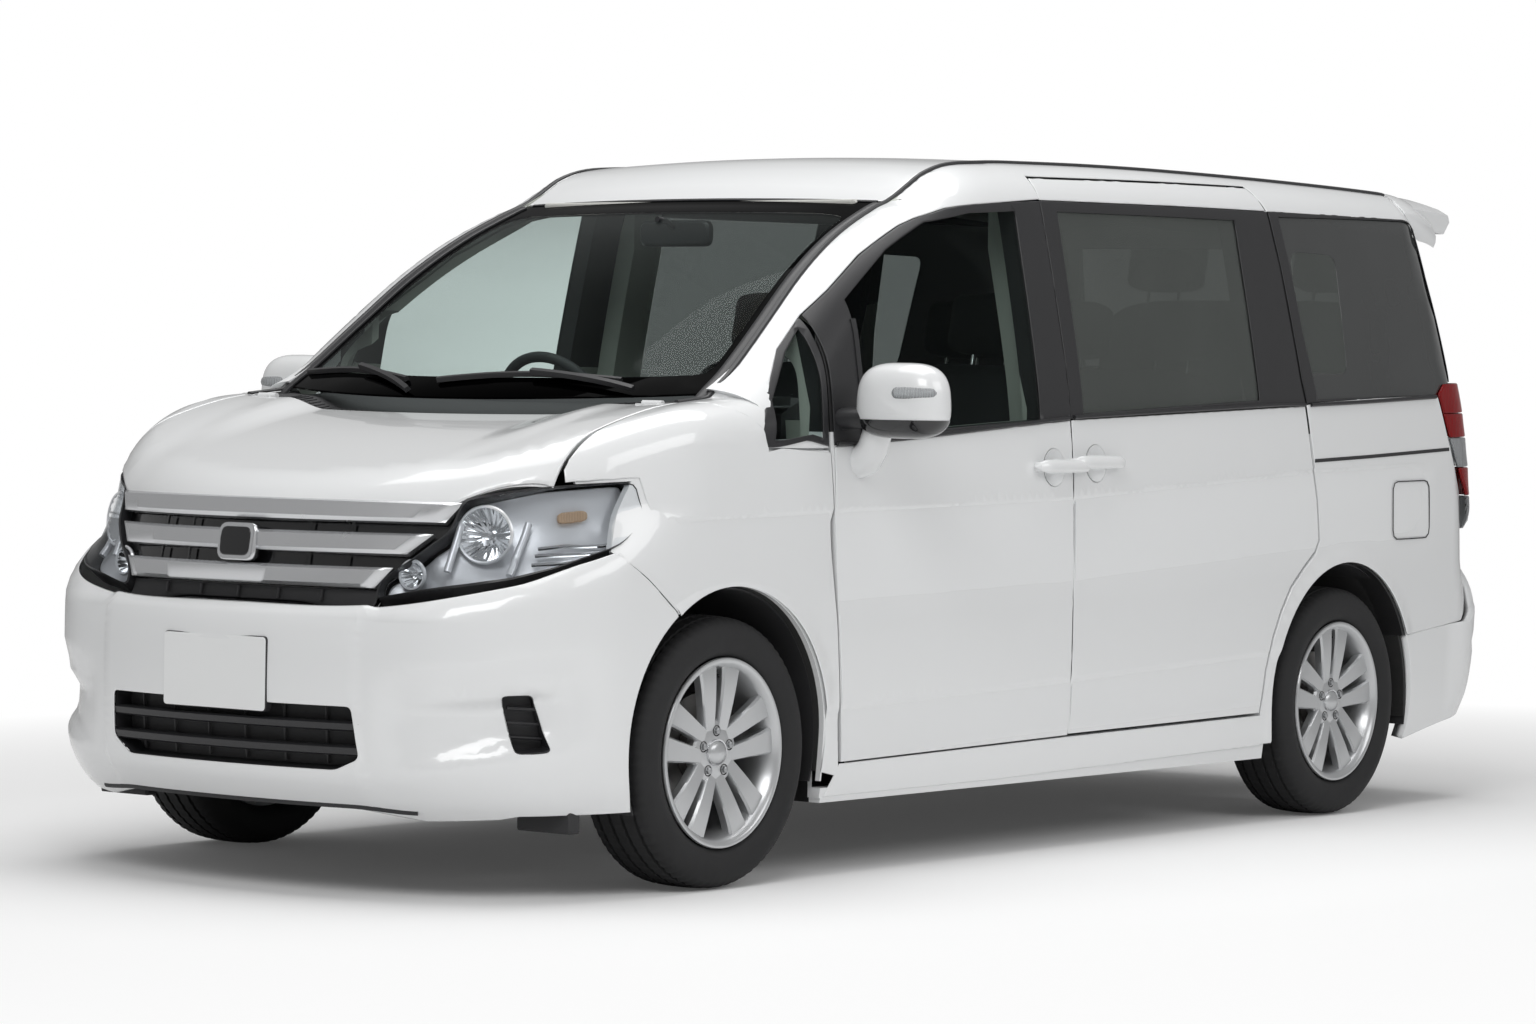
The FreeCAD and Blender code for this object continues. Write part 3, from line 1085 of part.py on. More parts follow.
def rear_axle():
    """Return the rear axle beam with its trailing arms and stub axles."""
    y, z, beam = REAR_AXLE, size("tyre_radius"), size("axle_beam")
    inner = size("knuckle_inner_x")
    half = box(0, inner, y - beam / 2, y + beam / 2, z - beam / 2, z + beam / 2)
    arm_x, arm_y = inner - beam * TRAILING_ARM_SHARES[0], y - NOSE * TRAILING_ARM_SHARES[1]
    arm = box(arm_x, arm_x + beam, arm_y, y, z - beam / 2, z + beam / 2)
    under = size("rear_floor_height") - size("seat_clearance")
    post = box(arm_x, arm_x + beam, arm_y, arm_y + beam, z, under)
    end = box(inner - beam / 2, size("knuckle_outer_x"), y - beam, y + beam, z - beam, z + beam)
    tip = size("track") / 2 + size("bore_end") - size("stub_end_gap")
    stub = rod(Vector(size("knuckle_outer_x"), y, z), Vector(tip, y, z), size("stub_radius"))
    half = half.fuse([arm, post, end, stub])
    return half.fuse(mirrored(half)).removeSplitter()


def floor_pan():
    """Return the floor, firewall and wheelhouses."""
    wall, low, high = size("floor_wall"), size("floor_height"), size("rear_floor_height")
    front, kick, rear = station(FIREWALL_SHARE), FRONT_AXLE + size("kick_up"), station(FLOOR_REAR_SHARE)
    half_x = size("cabin_half_width") + size("side_wall") * FLOOR_SIDE_SHARE
    beam_z, beam = size("tyre_radius"), size("axle_beam")
    slabs = [box(0, half_x, front, kick, low, low + wall), box(0, half_x, kick, rear, high, high + wall),
             box(0, half_x, kick, kick + wall, low, high + wall),
             box(0, half_x, front, front + size("firewall_wall"), low, level(FIREWALL_TOP_SHARE)),
             box(0, size("wheelhouse_inner_x"), rear - wall, rear, high,
                 level(TAILGATE_BOTTOM_SHARE) - GAP * 2)]
    half = slabs[0].fuse(slabs[1:]).cut(rear_arch_room(size("wheelhouse_wall") / 2))
    axle_slot = box(0, HALF, REAR_AXLE - beam, REAR_AXLE + beam, 0, beam_z + beam)
    half = half.fuse([rear_house().cut(axle_slot), front_house()])
    rail_x, width, depth = size("rail_x"), size("rail_width"), size("rail_height")
    rails = box(rail_x - GAP, rail_x + width + GAP, -LENGTH, front, size("rail_z") - GAP,
                size("rail_z") + depth + GAP)
    horn = box(rail_x, rail_x + width, kick, LENGTH / 2, high - depth, high)
    half = half.fuse(horn).cut([LEFT_SIDE, rails, FENDER_CAVITY, BUMPER_CAVITY, REAR_BUMPER_CAVITY])
    return half.fuse(mirrored(half)).removeSplitter()


def rear_arch_room(grow=0.0):
    """Return the space inside the left rear wheelhouse."""
    return arch(REAR_AXLE + GAP, size("rear_arch_radius") + grow, size("rear_arch_height"),
                size("wheelhouse_inner_x") + size("wheelhouse_wall") - grow, HALF)


def rear_house():
    """Return the left rear wheelhouse as a thin drum."""
    sheet = size("wheelhouse_wall")
    drum = arch(REAR_AXLE + GAP, size("rear_arch_radius") + sheet, size("rear_arch_height"),
                size("wheelhouse_inner_x"), HALF - size("side_wall") / 2)
    return drum.cut(rear_arch_room()).common(box(0, HALF, 0, LENGTH, size("floor_height"), HEIGHT))


def front_house():
    """Return the left front wheelhouse: a thin drum, its tower over the strut, and a web to the firewall."""
    sheet, front_x = size("wheelhouse_wall"), size("front_house_inner_x")
    front, height = station(FIREWALL_SHARE), size("front_arch_height")
    room = arch(FRONT_AXLE + GAP, size("front_arch_radius"), height, front_x + sheet, HALF)
    drum = arch(FRONT_AXLE + GAP, size("front_arch_radius") + sheet, height, front_x, HALF)
    drum = drum.common(box(0, HALF, -LENGTH, front, size("floor_height"), HEIGHT))
    web = box(front_x, front_x + sheet, FRONT_AXLE, front + sheet, size("rail_z"), size("tower_top"))
    tower_x = size("kingpin_top_x") + size("spring_radius") * TOWER_SHARES[0]
    reach = size("spring_radius") * TOWER_SHARES[1]
    rise = box(front_x, tower_x, FRONT_AXLE - reach, FRONT_AXLE + reach, height,
               size("tower_top") + sheet)
    hollow = box(front_x + sheet, tower_x - sheet, FRONT_AXLE - reach + sheet, FRONT_AXLE + reach - sheet, 0,
                 size("tower_top"))
    return drum.fuse([web, rise]).cut([room, hollow])


def dashboard():
    """Return the dashboard: one profile across the cabin, and a shelf under the windscreen."""
    front = station(FIREWALL_SHARE) + size("firewall_wall") + size("seat_clearance")
    outline = [(front, level(DASH_TOP_SHARE))] + side_points(DASH_SHARES) + [(front, level(DASH_LOW_SHARE))]
    half = size("cabin_half_width") * DASH_HALF_SHARE
    centre, axis = steering_axis()
    tunnel = rod(centre - axis * (size("steer_column_length") + size("bearing_clearance")), centre,
                 size("steering_column") + size("bearing_clearance"))
    rays = top_rays(lambda x: glass_base(x) + GAP * 4, lambda x: station(SHELF_REAR_SHARE), half,
                    level(RAY_BASE_SHARE), *COWL_COUNTS)
    shelf = skin(lower_body, rays, size("hood_wall"), GAP * 2)
    return plate_x(outline, -half, half).fuse(shelf).cut(tunnel).removeSplitter()


def steering_axis():
    """Return the middle of the steering wheel and the direction of its column."""
    lean = math.radians(STEER_LEAN)
    centre = Vector(-size("steer_x"), FRONT_AXLE + size("steer_y"), size("steer_z"))
    return centre, Vector(0, math.cos(lean), math.sin(lean))


def steering():
    """Return the steering wheel with its column, about the column's axis."""
    centre, axis = steering_axis()
    thick, bar = size("steering_rim"), size("steering_rim") * SPOKE_SHARE
    rim = Part.makeTorus(size("steering_radius"), thick, centre, axis)
    hub = rod(centre - axis * thick, centre + axis * thick, size("steering_column") * HUB_SHARE)
    column = rod(centre - axis * size("steer_column_length"), centre, size("steering_column"))
    across = Vector(1, 0, 0)
    down = axis.cross(across)
    radius = size("steering_radius")
    spokes = [rod(centre - across * radius, centre + across * radius, bar),
              rod(centre, centre + down * (radius if down.z < 0 else -radius), bar)]
    return rim.fuse([hub, column] + spokes)


def seat(x, y, width, floor):
    """Return a seat: a cushion on its base, a leaning back and headrests."""
    depth, cushion, back = size("seat_depth"), size("seat_cushion"), size("seat_back_wall")
    top = floor + size("seat_rise")
    lean = size("seat_back_height") * SEAT_LEAN_SHARE
    high = top + size("seat_back_height")
    notch, sink = SEAT_NOTCH_SHARES
    ahead, behind = SEAT_TOP_SHARES
    half, front, rear = SEAT_BASE_SHARES
    outline = [(y - depth, top - cushion), (y - depth, top), (y - back * notch, top - cushion * sink),
               (y + lean - back * ahead, high), (y + lean + back * behind, high),
               (y + back * behind, top - cushion), (y - depth * sink, top - cushion)]
    parts = [plate_x(outline, x - width / 2, x + width / 2),
             box(x - width * half, x + width * half, y - depth * front, y - depth * rear,
                 floor + size("seat_clearance"), top - cushion)]
    places = 1 if width < size("seat_width") * BENCH_SHARE else 2
    for i in range(places):
        centre = x + (i - (places - 1) / 2) * width / 2
        start = y + lean - back * HEADREST_SHARE
        parts.append(box(centre - size("headrest_width") / 2, centre + size("headrest_width") / 2,
                         start, start + size("headrest_wall"), high - GAP, high + size("headrest_height")))
    return parts[0].fuse(parts[1:]).removeSplitter()


def lengthwise(shape):
    """Return the edges of a shape that run along Y."""
    return [edge for edge in shape.Edges if abs(edge.tangentAt(0).y) > LENGTHWISE_SHARE]


def mirror():
    """Return the left door mirror on its foot."""
    x0, y0, z0 = size("mirror_x"), FRONT_AXLE + size("mirror_y"), size("mirror_z")
    width, height, depth = size("mirror_width"), size("mirror_height"), size("mirror_depth")
    shell = box(x0, x0 + width, y0, y0 + depth, z0, z0 + height)
    shell = shell.makeFillet(depth * MIRROR_ROUND_SHARE, lengthwise(shell))
    near, far = (y0 + depth * share for share in MIRROR_FOOT_SHARES)
    foot = box(HALF - size("door_wall") / 2, x0 + size("mirror_stalk"), near, far,
               z0 - size("mirror_stalk"), z0 + GAP)
    return shell.fuse(foot).cut(DOOR_LEFT).Solids


def exhaust():
    """Return the exhaust: a pipe under the floor and over the axle, and a muffler behind it."""
    radius = size("pipe_radius")
    x, low, high = -size("pipe_x"), size("floor_height") - radius - GAP, size("pipe_high")
    bend = FRONT_AXLE + size("kick_up") + size("floor_wall") + radius + GAP
    front, far = station(PIPE_FRONT_SHARE), REAR_AXLE + size("muffler_y")
    pipe = rod(Vector(x, front, low), Vector(x, bend, low), radius)
    ball = [Part.makeSphere(radius, Vector(x, bend, z)) for z in (low, high)]
    rise = rod(Vector(x, bend, low), Vector(x, bend, high), radius)
    over = rod(Vector(x, bend, high), Vector(x, far, high), radius)
    top = size("rear_floor_height") - size("seat_clearance")
    half, height = size("muffler_width") / 2, size("muffler_height")
    muffler = box(x - half, x + half, far, far + size("muffler_length"), top - height, top)
    muffler = muffler.makeFillet(height * MUFFLER_ROUND_SHARE, lengthwise(muffler))
    return pipe.fuse(ball + [rise, over, muffler]).removeSplitter()


LEFT_SIDE = body_side()
DOOR_LEFT = front_door()
LEFT_LAMP = lamp()
LEFT_FENDER = fender()
LEFT_TAIL = tail_lamp()
FLOOR_TOP = size("floor_height") + size("floor_wall")
REAR_FLOOR_TOP = size("rear_floor_height") + size("floor_wall")

piece("body_side_left", LEFT_SIDE)
piece("body_side_right", mirrored(LEFT_SIDE))
piece("front_door_left", DOOR_LEFT)
piece("front_door_right", mirrored(DOOR_LEFT))
piece("front_door_glass_left", pane(FRONT_GLASS_SHARES))
piece("front_door_glass_right", mirrored(pane(FRONT_GLASS_SHARES)))
piece("sliding_door_left", sliding_door())
piece("sliding_door_right", mirrored(sliding_door()))
FIXED_PANES = [pane(SLIDING_GLASS_SHARES), pane(REAR_GLASS_SHARES), pane(QUARTER_GLASS_SHARES)]
piece("side_glass", Part.makeCompound(FIXED_PANES + [mirrored(glass) for glass in FIXED_PANES]))
piece("front_fenders", Part.makeCompound([LEFT_FENDER, mirrored(LEFT_FENDER)]))
piece("headlamps", Part.makeCompound([LEFT_LAMP, mirrored(LEFT_LAMP)]))
piece("tail_lamps", Part.makeCompound([LEFT_TAIL, mirrored(LEFT_TAIL)]))
piece("hood", hood())
piece("roof_panel", roof())
piece("windscreen", windscreen())
piece("cowl", cowl())
piece("front_bumper", front_bumper())
piece("upper_grille", grille())
piece("lower_grille", lower_grille())
piece("rear_bumper", rear_bumper())
piece("tailgate", tailgate())
TAIL_PANE = rear_skin(size("glass_inset") + size("glass_wall"), size("glass_inset"))
piece("tailgate_glass", TAIL_PANE.common(plate_y(grown(front_points(TAILGATE_GLASS_SHARES),
                                                       -size("seat_clearance")), REAR_AXLE, LENGTH)))
piece("floor_pan", floor_pan())
piece("dashboard", dashboard())
piece("steering_wheel", steering())
ROW_TWO, ROW_THREE = size("row_two_y") + FRONT_AXLE, size("row_three_y") + FRONT_AXLE
FRONT_SEATS = [seat(sign * size("seat_x"), size("row_one_y") + FRONT_AXLE, size("seat_width"), FLOOR_TOP)
               for sign in (-1, 1)]
piece("front_seats", Part.makeCompound(FRONT_SEATS))
piece("rear_seats", Part.makeCompound([seat(0, ROW_TWO, size("bench_width"), FLOOR_TOP),
                                       seat(0, ROW_THREE, size("rear_bench_width"), REAR_FLOOR_TOP)]))
LEFT_MIRROR = max(mirror(), key=lambda solid: solid.Volume)
piece("door_mirror_left", LEFT_MIRROR)
piece("door_mirror_right", mirrored(LEFT_MIRROR))
piece("knuckle_left", knuckle())
piece("knuckle_right", mirrored(knuckle()))
piece("front_subframe", subframe())
piece("rear_axle", rear_axle())
piece("exhaust", exhaust())
for word, sign in (("left", 1), ("right", -1)):
    for name, axle in (("front", FRONT_AXLE_WORDS), ("rear", REAR_AXLE_WORDS)):
        wheel(f"{name}_wheel_{word}", sign, axle)
        tyre(f"{name}_tyre_{word}", sign, axle)
PIECES.append(block("engine_block", "engine_width", "engine_length", "engine_height", "- engine_width / 2",
                    FRONT_AXLE_WORDS + f" - engine_length * {ENGINE_AHEAD_SHARE}", "engine_clearance"))
plate = box(-size("plate_width") / 2, size("plate_width") / 2, -LENGTH / 2, size("plate_wall") - LENGTH / 2,
            size("plate_z"), size("plate_z") + size("plate_height"))
piece("front_plate", plate.cut(front_skin(size("bumper_wall"), -size("seat_clearance"))))
DOC.recompute()


def check(item):
    """Stop on a sub-part that failed or has no sound solid."""
    faults = {"Invalid", "Error"} & set(item.State)
    if faults or item.Shape.isNull() or not item.Shape.isValid() or not item.Shape.Solids:
        raise RuntimeError(f"{item.Label}: {item.State} {item.Shape}")


for item in DOC.Objects:
    if {"Invalid", "Error"} & set(item.State):
        raise RuntimeError(f"{item.Label}: {item.State}")
for item in PIECES:
    check(item)
os.makedirs("parts", exist_ok=True)
for item in PIECES:
    item.Shape.exportStep(f"parts/{item.Label}.step")
    print(f"{item.Label}: {len(item.Shape.Solids)} solids, {item.Shape.Volume / 1e6:.2f} litres")
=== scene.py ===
"""Looks of a compact white minivan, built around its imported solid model.

Places are worked out in millimetres in the model's own frame, with +X to the car's left, -Y to its front and
+Z up, and they become metres when a mesh is made. The outer form is the same signed distance that the solids
were made from, so each outer panel is a thin skin that lies on its solid.
"""
from __future__ import annotations

import json
import logging
from dataclasses import dataclass, field
from typing import Callable, Sequence

import bmesh
import bpy
import numpy as np
from mathutils import Matrix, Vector
from mathutils.geometry import delaunay_2d_cdt

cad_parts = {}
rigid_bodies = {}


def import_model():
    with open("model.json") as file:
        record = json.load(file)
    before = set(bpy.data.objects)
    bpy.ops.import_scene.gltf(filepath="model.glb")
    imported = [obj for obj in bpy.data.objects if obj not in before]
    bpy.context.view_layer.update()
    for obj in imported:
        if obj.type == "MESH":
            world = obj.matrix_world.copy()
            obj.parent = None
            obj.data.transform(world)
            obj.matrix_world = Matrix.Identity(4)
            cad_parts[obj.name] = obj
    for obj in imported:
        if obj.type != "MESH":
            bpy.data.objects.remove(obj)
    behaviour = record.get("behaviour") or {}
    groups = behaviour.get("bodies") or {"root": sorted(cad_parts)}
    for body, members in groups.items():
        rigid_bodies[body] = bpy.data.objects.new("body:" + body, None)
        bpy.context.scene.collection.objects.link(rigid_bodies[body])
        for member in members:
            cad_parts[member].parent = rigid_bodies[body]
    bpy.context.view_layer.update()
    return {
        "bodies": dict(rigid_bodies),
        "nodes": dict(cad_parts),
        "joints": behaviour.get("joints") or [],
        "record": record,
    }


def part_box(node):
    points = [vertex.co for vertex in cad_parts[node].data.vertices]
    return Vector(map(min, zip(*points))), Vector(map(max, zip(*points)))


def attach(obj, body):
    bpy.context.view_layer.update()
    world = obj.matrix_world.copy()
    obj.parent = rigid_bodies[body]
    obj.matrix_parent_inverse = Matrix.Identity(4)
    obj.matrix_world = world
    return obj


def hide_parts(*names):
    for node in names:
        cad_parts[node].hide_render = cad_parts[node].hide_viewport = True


LOG = logging.getLogger("minivan")
Array = np.ndarray
Relief = Callable[[np.ndarray], np.ndarray]
METRE = 0.001
LENGTH, HALF, HEIGHT, WHEELBASE, NOSE = 4690.0, 847.5, 1830.0, 2855.0, 875.0
TAIL = LENGTH - WHEELBASE - NOSE
FRONT = NOSE - LENGTH / 2
REAR = FRONT + WHEELBASE
TRACK, TYRE_RADIUS = 1475.0, 326.0
LIFT, SKIN = 3.0, 4.0
ARCH_FRONT, ARCH_REAR = (13.0, 351.0), (2878.0, 322.0)
GATE_HALF = HALF * 0.765
SIDES = (("left", 1), ("right", -1))


# ---------------------------------------------------------------- outer form
class Form:
    """The outer form of the body as signed distances of points, negative inside."""

    SIDE = ((0.08, 0.962), (0.137, 0.985), (0.22, 0.995), (0.38, 1.0), (0.52, 0.995), (0.59, 0.985),
            (0.656, 0.97), (0.765, 0.927), (0.874, 0.878), (0.927, 0.852), (1.0, 0.81))
    BUMPER = ((0.095, 0.86), (0.114, 0.915), (0.142, 0.96), (0.164, 0.978), (0.23, 0.99), (0.3, 0.992),
              (0.347, 0.986), (0.367, 0.97))
    FACE = ((0.36, 0.928), (0.44, 0.909), (0.5, 0.886), (0.55, 0.865), (0.62, 0.84))
    TAILS = ((0.11, 0.925), (0.16, 0.96), (0.22, 0.99), (0.27, 1.0), (0.33, 1.0), (0.38, 0.972),
             (0.42, 0.965), (0.55, 0.955), (0.66, 0.935), (0.77, 0.895), (0.87, 0.845), (0.93, 0.815),
             (1.0, 0.775))
    HOOD = ((-2.0, 0.635), (-0.6, 0.634), (-0.229, 0.6285), (-0.069, 0.6213), (0.069, 0.6148),
            (0.171, 0.6077), (0.343, 0.5918), (0.514, 0.5716), (0.686, 0.5481), (0.8, 0.5311),
            (0.886, 0.518), (1.0, 0.5))
    TOP = ((-0.1, 0.526), (-0.034, 0.6306), (0.0158, 0.678), (0.0823, 0.7426), (0.1506, 0.8071),
           (0.2207, 0.8617), (0.2942, 0.9071), (0.3152, 0.9185), (0.336, 0.936), (0.365, 0.962),
           (0.403, 0.981), (0.46, 0.99), (0.53, 0.994), (0.64, 0.998), (0.78, 1.0), (1.0, 0.9995),
           (1.2, 0.996), (1.35, 0.988))
    CLIMB = ((0.0, 0.0), (0.47, 0.003), (0.83, 0.035), (0.96, 0.073), (1.0, 0.08))
    HOOD_FRONT = ((0.0, 0.889), (0.236, 0.866), (0.472, 0.803), (0.631, 0.728), (0.732, 0.646), (0.84, 0.54))
    BUMPER_TOP = 0.3667
    HOOD_HALF = 0.822
    EDGE = (0.815, 0.708)

    @staticmethod
    def curve(table: Sequence[Sequence[float]], place: Array) -> Array:
        """Read a table of pairs with cubic Hermite spans, whose slopes join each point's two neighbours.

        Args:
            table: The pairs, in order of their first value.
            place: Where it is read.

        Returns:
            Its values.
        """
        xs, ys = np.array(table, float).T
        slopes = np.empty_like(ys)
        slopes[1:-1] = (ys[2:] - ys[:-2]) / (xs[2:] - xs[:-2])
        slopes[0] = (ys[1] - ys[0]) / (xs[1] - xs[0])
        slopes[-1] = (ys[-1] - ys[-2]) / (xs[-1] - xs[-2])
        place = np.clip(np.asarray(place, float), xs[0], xs[-1])
        i = np.clip(np.searchsorted(xs, place, side="right") - 1, 0, len(xs) - 2)
        span = xs[i + 1] - xs[i]
        t = (place - xs[i]) / span
        start = (1 + 2 * t) * (1 - t) ** 2 * ys[i] + t * (1 - t) ** 2 * span * slopes[i]
        return start + t * t * (3 - 2 * t) * ys[i + 1] + t * t * (t - 1) * span * slopes[i + 1]

    @staticmethod
    def smooth(low: float, high: float, place: Array) -> Array:
        """Rise from 0 to 1 between two places, by 3t^2 - 2t^3."""
        t = np.clip((np.asarray(place, float) - low) / (high - low), 0, 1)
        return t * t * (3 - 2 * t)

    @staticmethod
    def rounded(a: Array, b: Array, radius: float) -> Array:
        """Intersect two signed distances, with a quarter circle along their edge."""
        edge = np.hypot(np.maximum(a + radius, 0), np.maximum(b + radius, 0))
        return np.minimum(np.maximum(a, b), -radius) + edge

    @classmethod
    def half_width(cls, y: Array, z: Array) -> Array:
        """Half width of the body: a profile over height, less a parabola towards each end.

        Args:
            y: Y of the points.
            z: Z of the points.

        Returns:
            Half the width at each.
        """
        taper = station(0.6655)
        ahead = np.maximum(FRONT - y, 0) / NOSE
        behind = np.maximum(y - taper, 0) / (LENGTH / 2 - taper)
        return HALF * cls.curve(cls.SIDE, z / HEIGHT) - 70 * ahead ** 2 - 35 * behind ** 2

    @classmethod
    def bumper_top(cls, x: Array) -> Array:
        """Level of the front bumper's top edge over the width."""
        return HEIGHT * (cls.BUMPER_TOP + cls.curve(cls.CLIMB, np.minimum(np.abs(x) / HALF, 1)))

    @classmethod
    def front_face(cls, x: Array, z: Array) -> tuple[Array, Array]:
        """Y of the nose and its slope over X: a profile over height plus a parabola over the width.

        Args:
            x: X of the points.
            z: Z of the points.

        Returns:
            Y and its slope at each.
        """
        across = np.minimum(np.abs(x) / HALF, 1)
        top = cls.bumper_top(x)
        low = cls.curve(cls.BUMPER, np.minimum(z / top, 1) * cls.BUMPER_TOP)
        high = cls.curve(cls.FACE, z / HEIGHT)
        width = HEIGHT * (0.01 + 0.1 * across ** 2)
        blend = cls.smooth(0, 1, (z - top) / width + 0.5)
        bow = 201 * (1 - blend) + (201 + 144 * cls.smooth(0.36, 0.5, z / HEIGHT)) * blend
        return FRONT - (low * (1 - blend) + high * blend) * NOSE + bow * across ** 2, 2 * bow * across / HALF

    @classmethod
    def rear_face(cls, x: Array, z: Array) -> tuple[Array, Array]:
        """Y of the tail and its slope over X: a profile over height less a parabola over the width."""
        across = np.minimum(np.abs(x) / HALF, 1)
        return REAR + cls.curve(cls.TAILS, z / HEIGHT) * TAIL - 144 * across ** 2, 288 * across / HALF

    @classmethod
    def hood_top(cls, x: Array, y: Array) -> Array:
        """Level of the hood, with its raised shoulders.

        Args:
            x: X of the points.
            y: Y of the points.

        Returns:
            The level at each.
        """
        ahead = (FRONT - y) / NOSE
        raised = cls.smooth(0.44, 0.62, np.abs(x) / HALF) * (1 - cls.smooth(0.1, 0.7, ahead))
        return HEIGHT * cls.curve(cls.HOOD, ahead) + 26 * raised

    @classmethod
    def upper_top(cls, x: Array, y: Array) -> Array:
        """Level of the windscreen and the roof: one profile, bowed back and crowned over the width.

        Args:
            x: X of the points.
            y: Y of the points.

        Returns:
            The level at each.
        """
        along = (y - FRONT) / WHEELBASE
        across = np.minimum(np.abs(x) / HALF, 1) ** 2
        bow = 235 - 175 * cls.smooth(0, 0.32, along)
        crown = 0.25 + 0.75 * cls.smooth(0.3, 0.46, along)
        return HEIGHT * cls.curve(cls.TOP, (y - bow * across - FRONT) / WHEELBASE) - 36 * crown * across

    @classmethod
    def lower(cls, p: Array) -> Array:
        """Signed distance of the body below the belt.

        Args:
            p: Points.

        Returns:
            The distance of each.
        """
        x, y, z = np.abs(p[..., 0]), p[..., 1], p[..., 2]
        side = x - cls.half_width(y, z)
        face, slope = cls.front_face(x, z)
        tail, lean = cls.rear_face(x, z)
        front = cls.rounded(side, (face - y) / np.hypot(1, slope), 260.0)
        rear = cls.rounded(side, (y - tail) / np.hypot(1, lean), 120.0)
        return cls.rounded(np.where(y < station(0.5), front, rear), z - cls.hood_top(x, y), 85.0)

    @classmethod
    def over_roof(cls, x: Array, y: Array, z: Array) -> Array:
        """Signed distance from the windscreen and the roof line."""
        top = cls.upper_top(x, y)
        return (z - top) / np.hypot(1, (cls.upper_top(x, y + 6) - top) / 6)

    @classmethod
    def upper(cls, p: Array) -> Array:
        """Signed distance of the body with its windscreen and roof.

        Args:
            p: Points.

        Returns:
            The distance of each.
        """
        x, y, z = np.abs(p[..., 0]), p[..., 1], p[..., 2]
        face, slope = cls.rear_face(x, z)
        ends = cls.rounded(x - cls.half_width(y, z), (y - face) / np.hypot(1, slope), 120.0)
        return cls.rounded(ends, cls.over_roof(x, y, z), 105.0)

    @classmethod
    def long(cls, p: Array) -> Array:
        """Signed distance of the upper body carried on behind the tail."""
        x, y, z = np.abs(p[..., 0]), p[..., 1], p[..., 2]
        return cls.rounded(x - cls.half_width(y, z), cls.over_roof(x, y, z), 105.0)

    @classmethod
    def whole(cls, p: Array) -> Array:
        """Signed distance of the whole body."""
        return np.minimum(cls.lower(p), cls.upper(p))

    @classmethod
    def side_edge(cls, y: Array) -> Array:
        """X of the line where the body side meets the windscreen and the roof."""
        fade = cls.smooth(0, 0.32, (y - FRONT) / WHEELBASE)
        return HALF * (cls.EDGE[0] + fade * (cls.EDGE[1] - cls.EDGE[0]))

    @classmethod
    def hood_front(cls, x: Array) -> Array:
        """Y of the hood's front edge."""
        return FRONT - NOSE * cls.curve(cls.HOOD_FRONT, np.abs(x) / HALF)

    @classmethod
    def hood_rear(cls, x: Array) -> Array:
        """Y of the hood's rear edge, a parabola."""
        return FRONT - NOSE * (0.143 - 0.093 * (x / HALF / cls.HOOD_HALF) ** 2)

    @classmethod
    def glass_base(cls, x: Array) -> Array:
        """Y of the windscreen's lower edge, a parabola."""
        return station(-0.034 + 0.067 * (x / HALF / cls.EDGE[0]) ** 2)

    @classmethod
    def glass_top(cls, x: Array) -> Array:
        """Y of the windscreen's upper edge, a parabola."""
        return station(0.317 + 0.007 * (x / HALF / cls.EDGE[1]) ** 2)


def station(share: Array) -> Array:
    """Y for a distance behind the front axle, given over the wheelbase."""
    return FRONT + np.asarray(share, float) * WHEELBASE


def rel(points: Sequence[Sequence[float]]) -> Array:
    """Flat points whose first value is millimetres behind the front axle, turned to Y and Z."""
    return np.array(points, float) + [FRONT, 0.0]


def shares(points: Sequence[Sequence[float]]) -> Array:
    """Flat points given as shares of the wheelbase and the height, turned to Y and Z."""
    return np.array([[FRONT + a * WHEELBASE, b * HEIGHT] for a, b in points])


def unit(v: Array) -> Array:
    """Vectors scaled to length 1."""
    return v / np.maximum(np.linalg.norm(v, axis=-1, keepdims=True), 1e-12)


def steps(low: float, high: float, count: int) -> Array:
    """Evenly spaced places, with both ends."""
    return np.linspace(low, high, count)


def turns(count: int) -> Array:
    """Evenly spaced angles of a full turn, from 0."""
    return steps(0, 2 * np.pi, count + 1)[:-1]


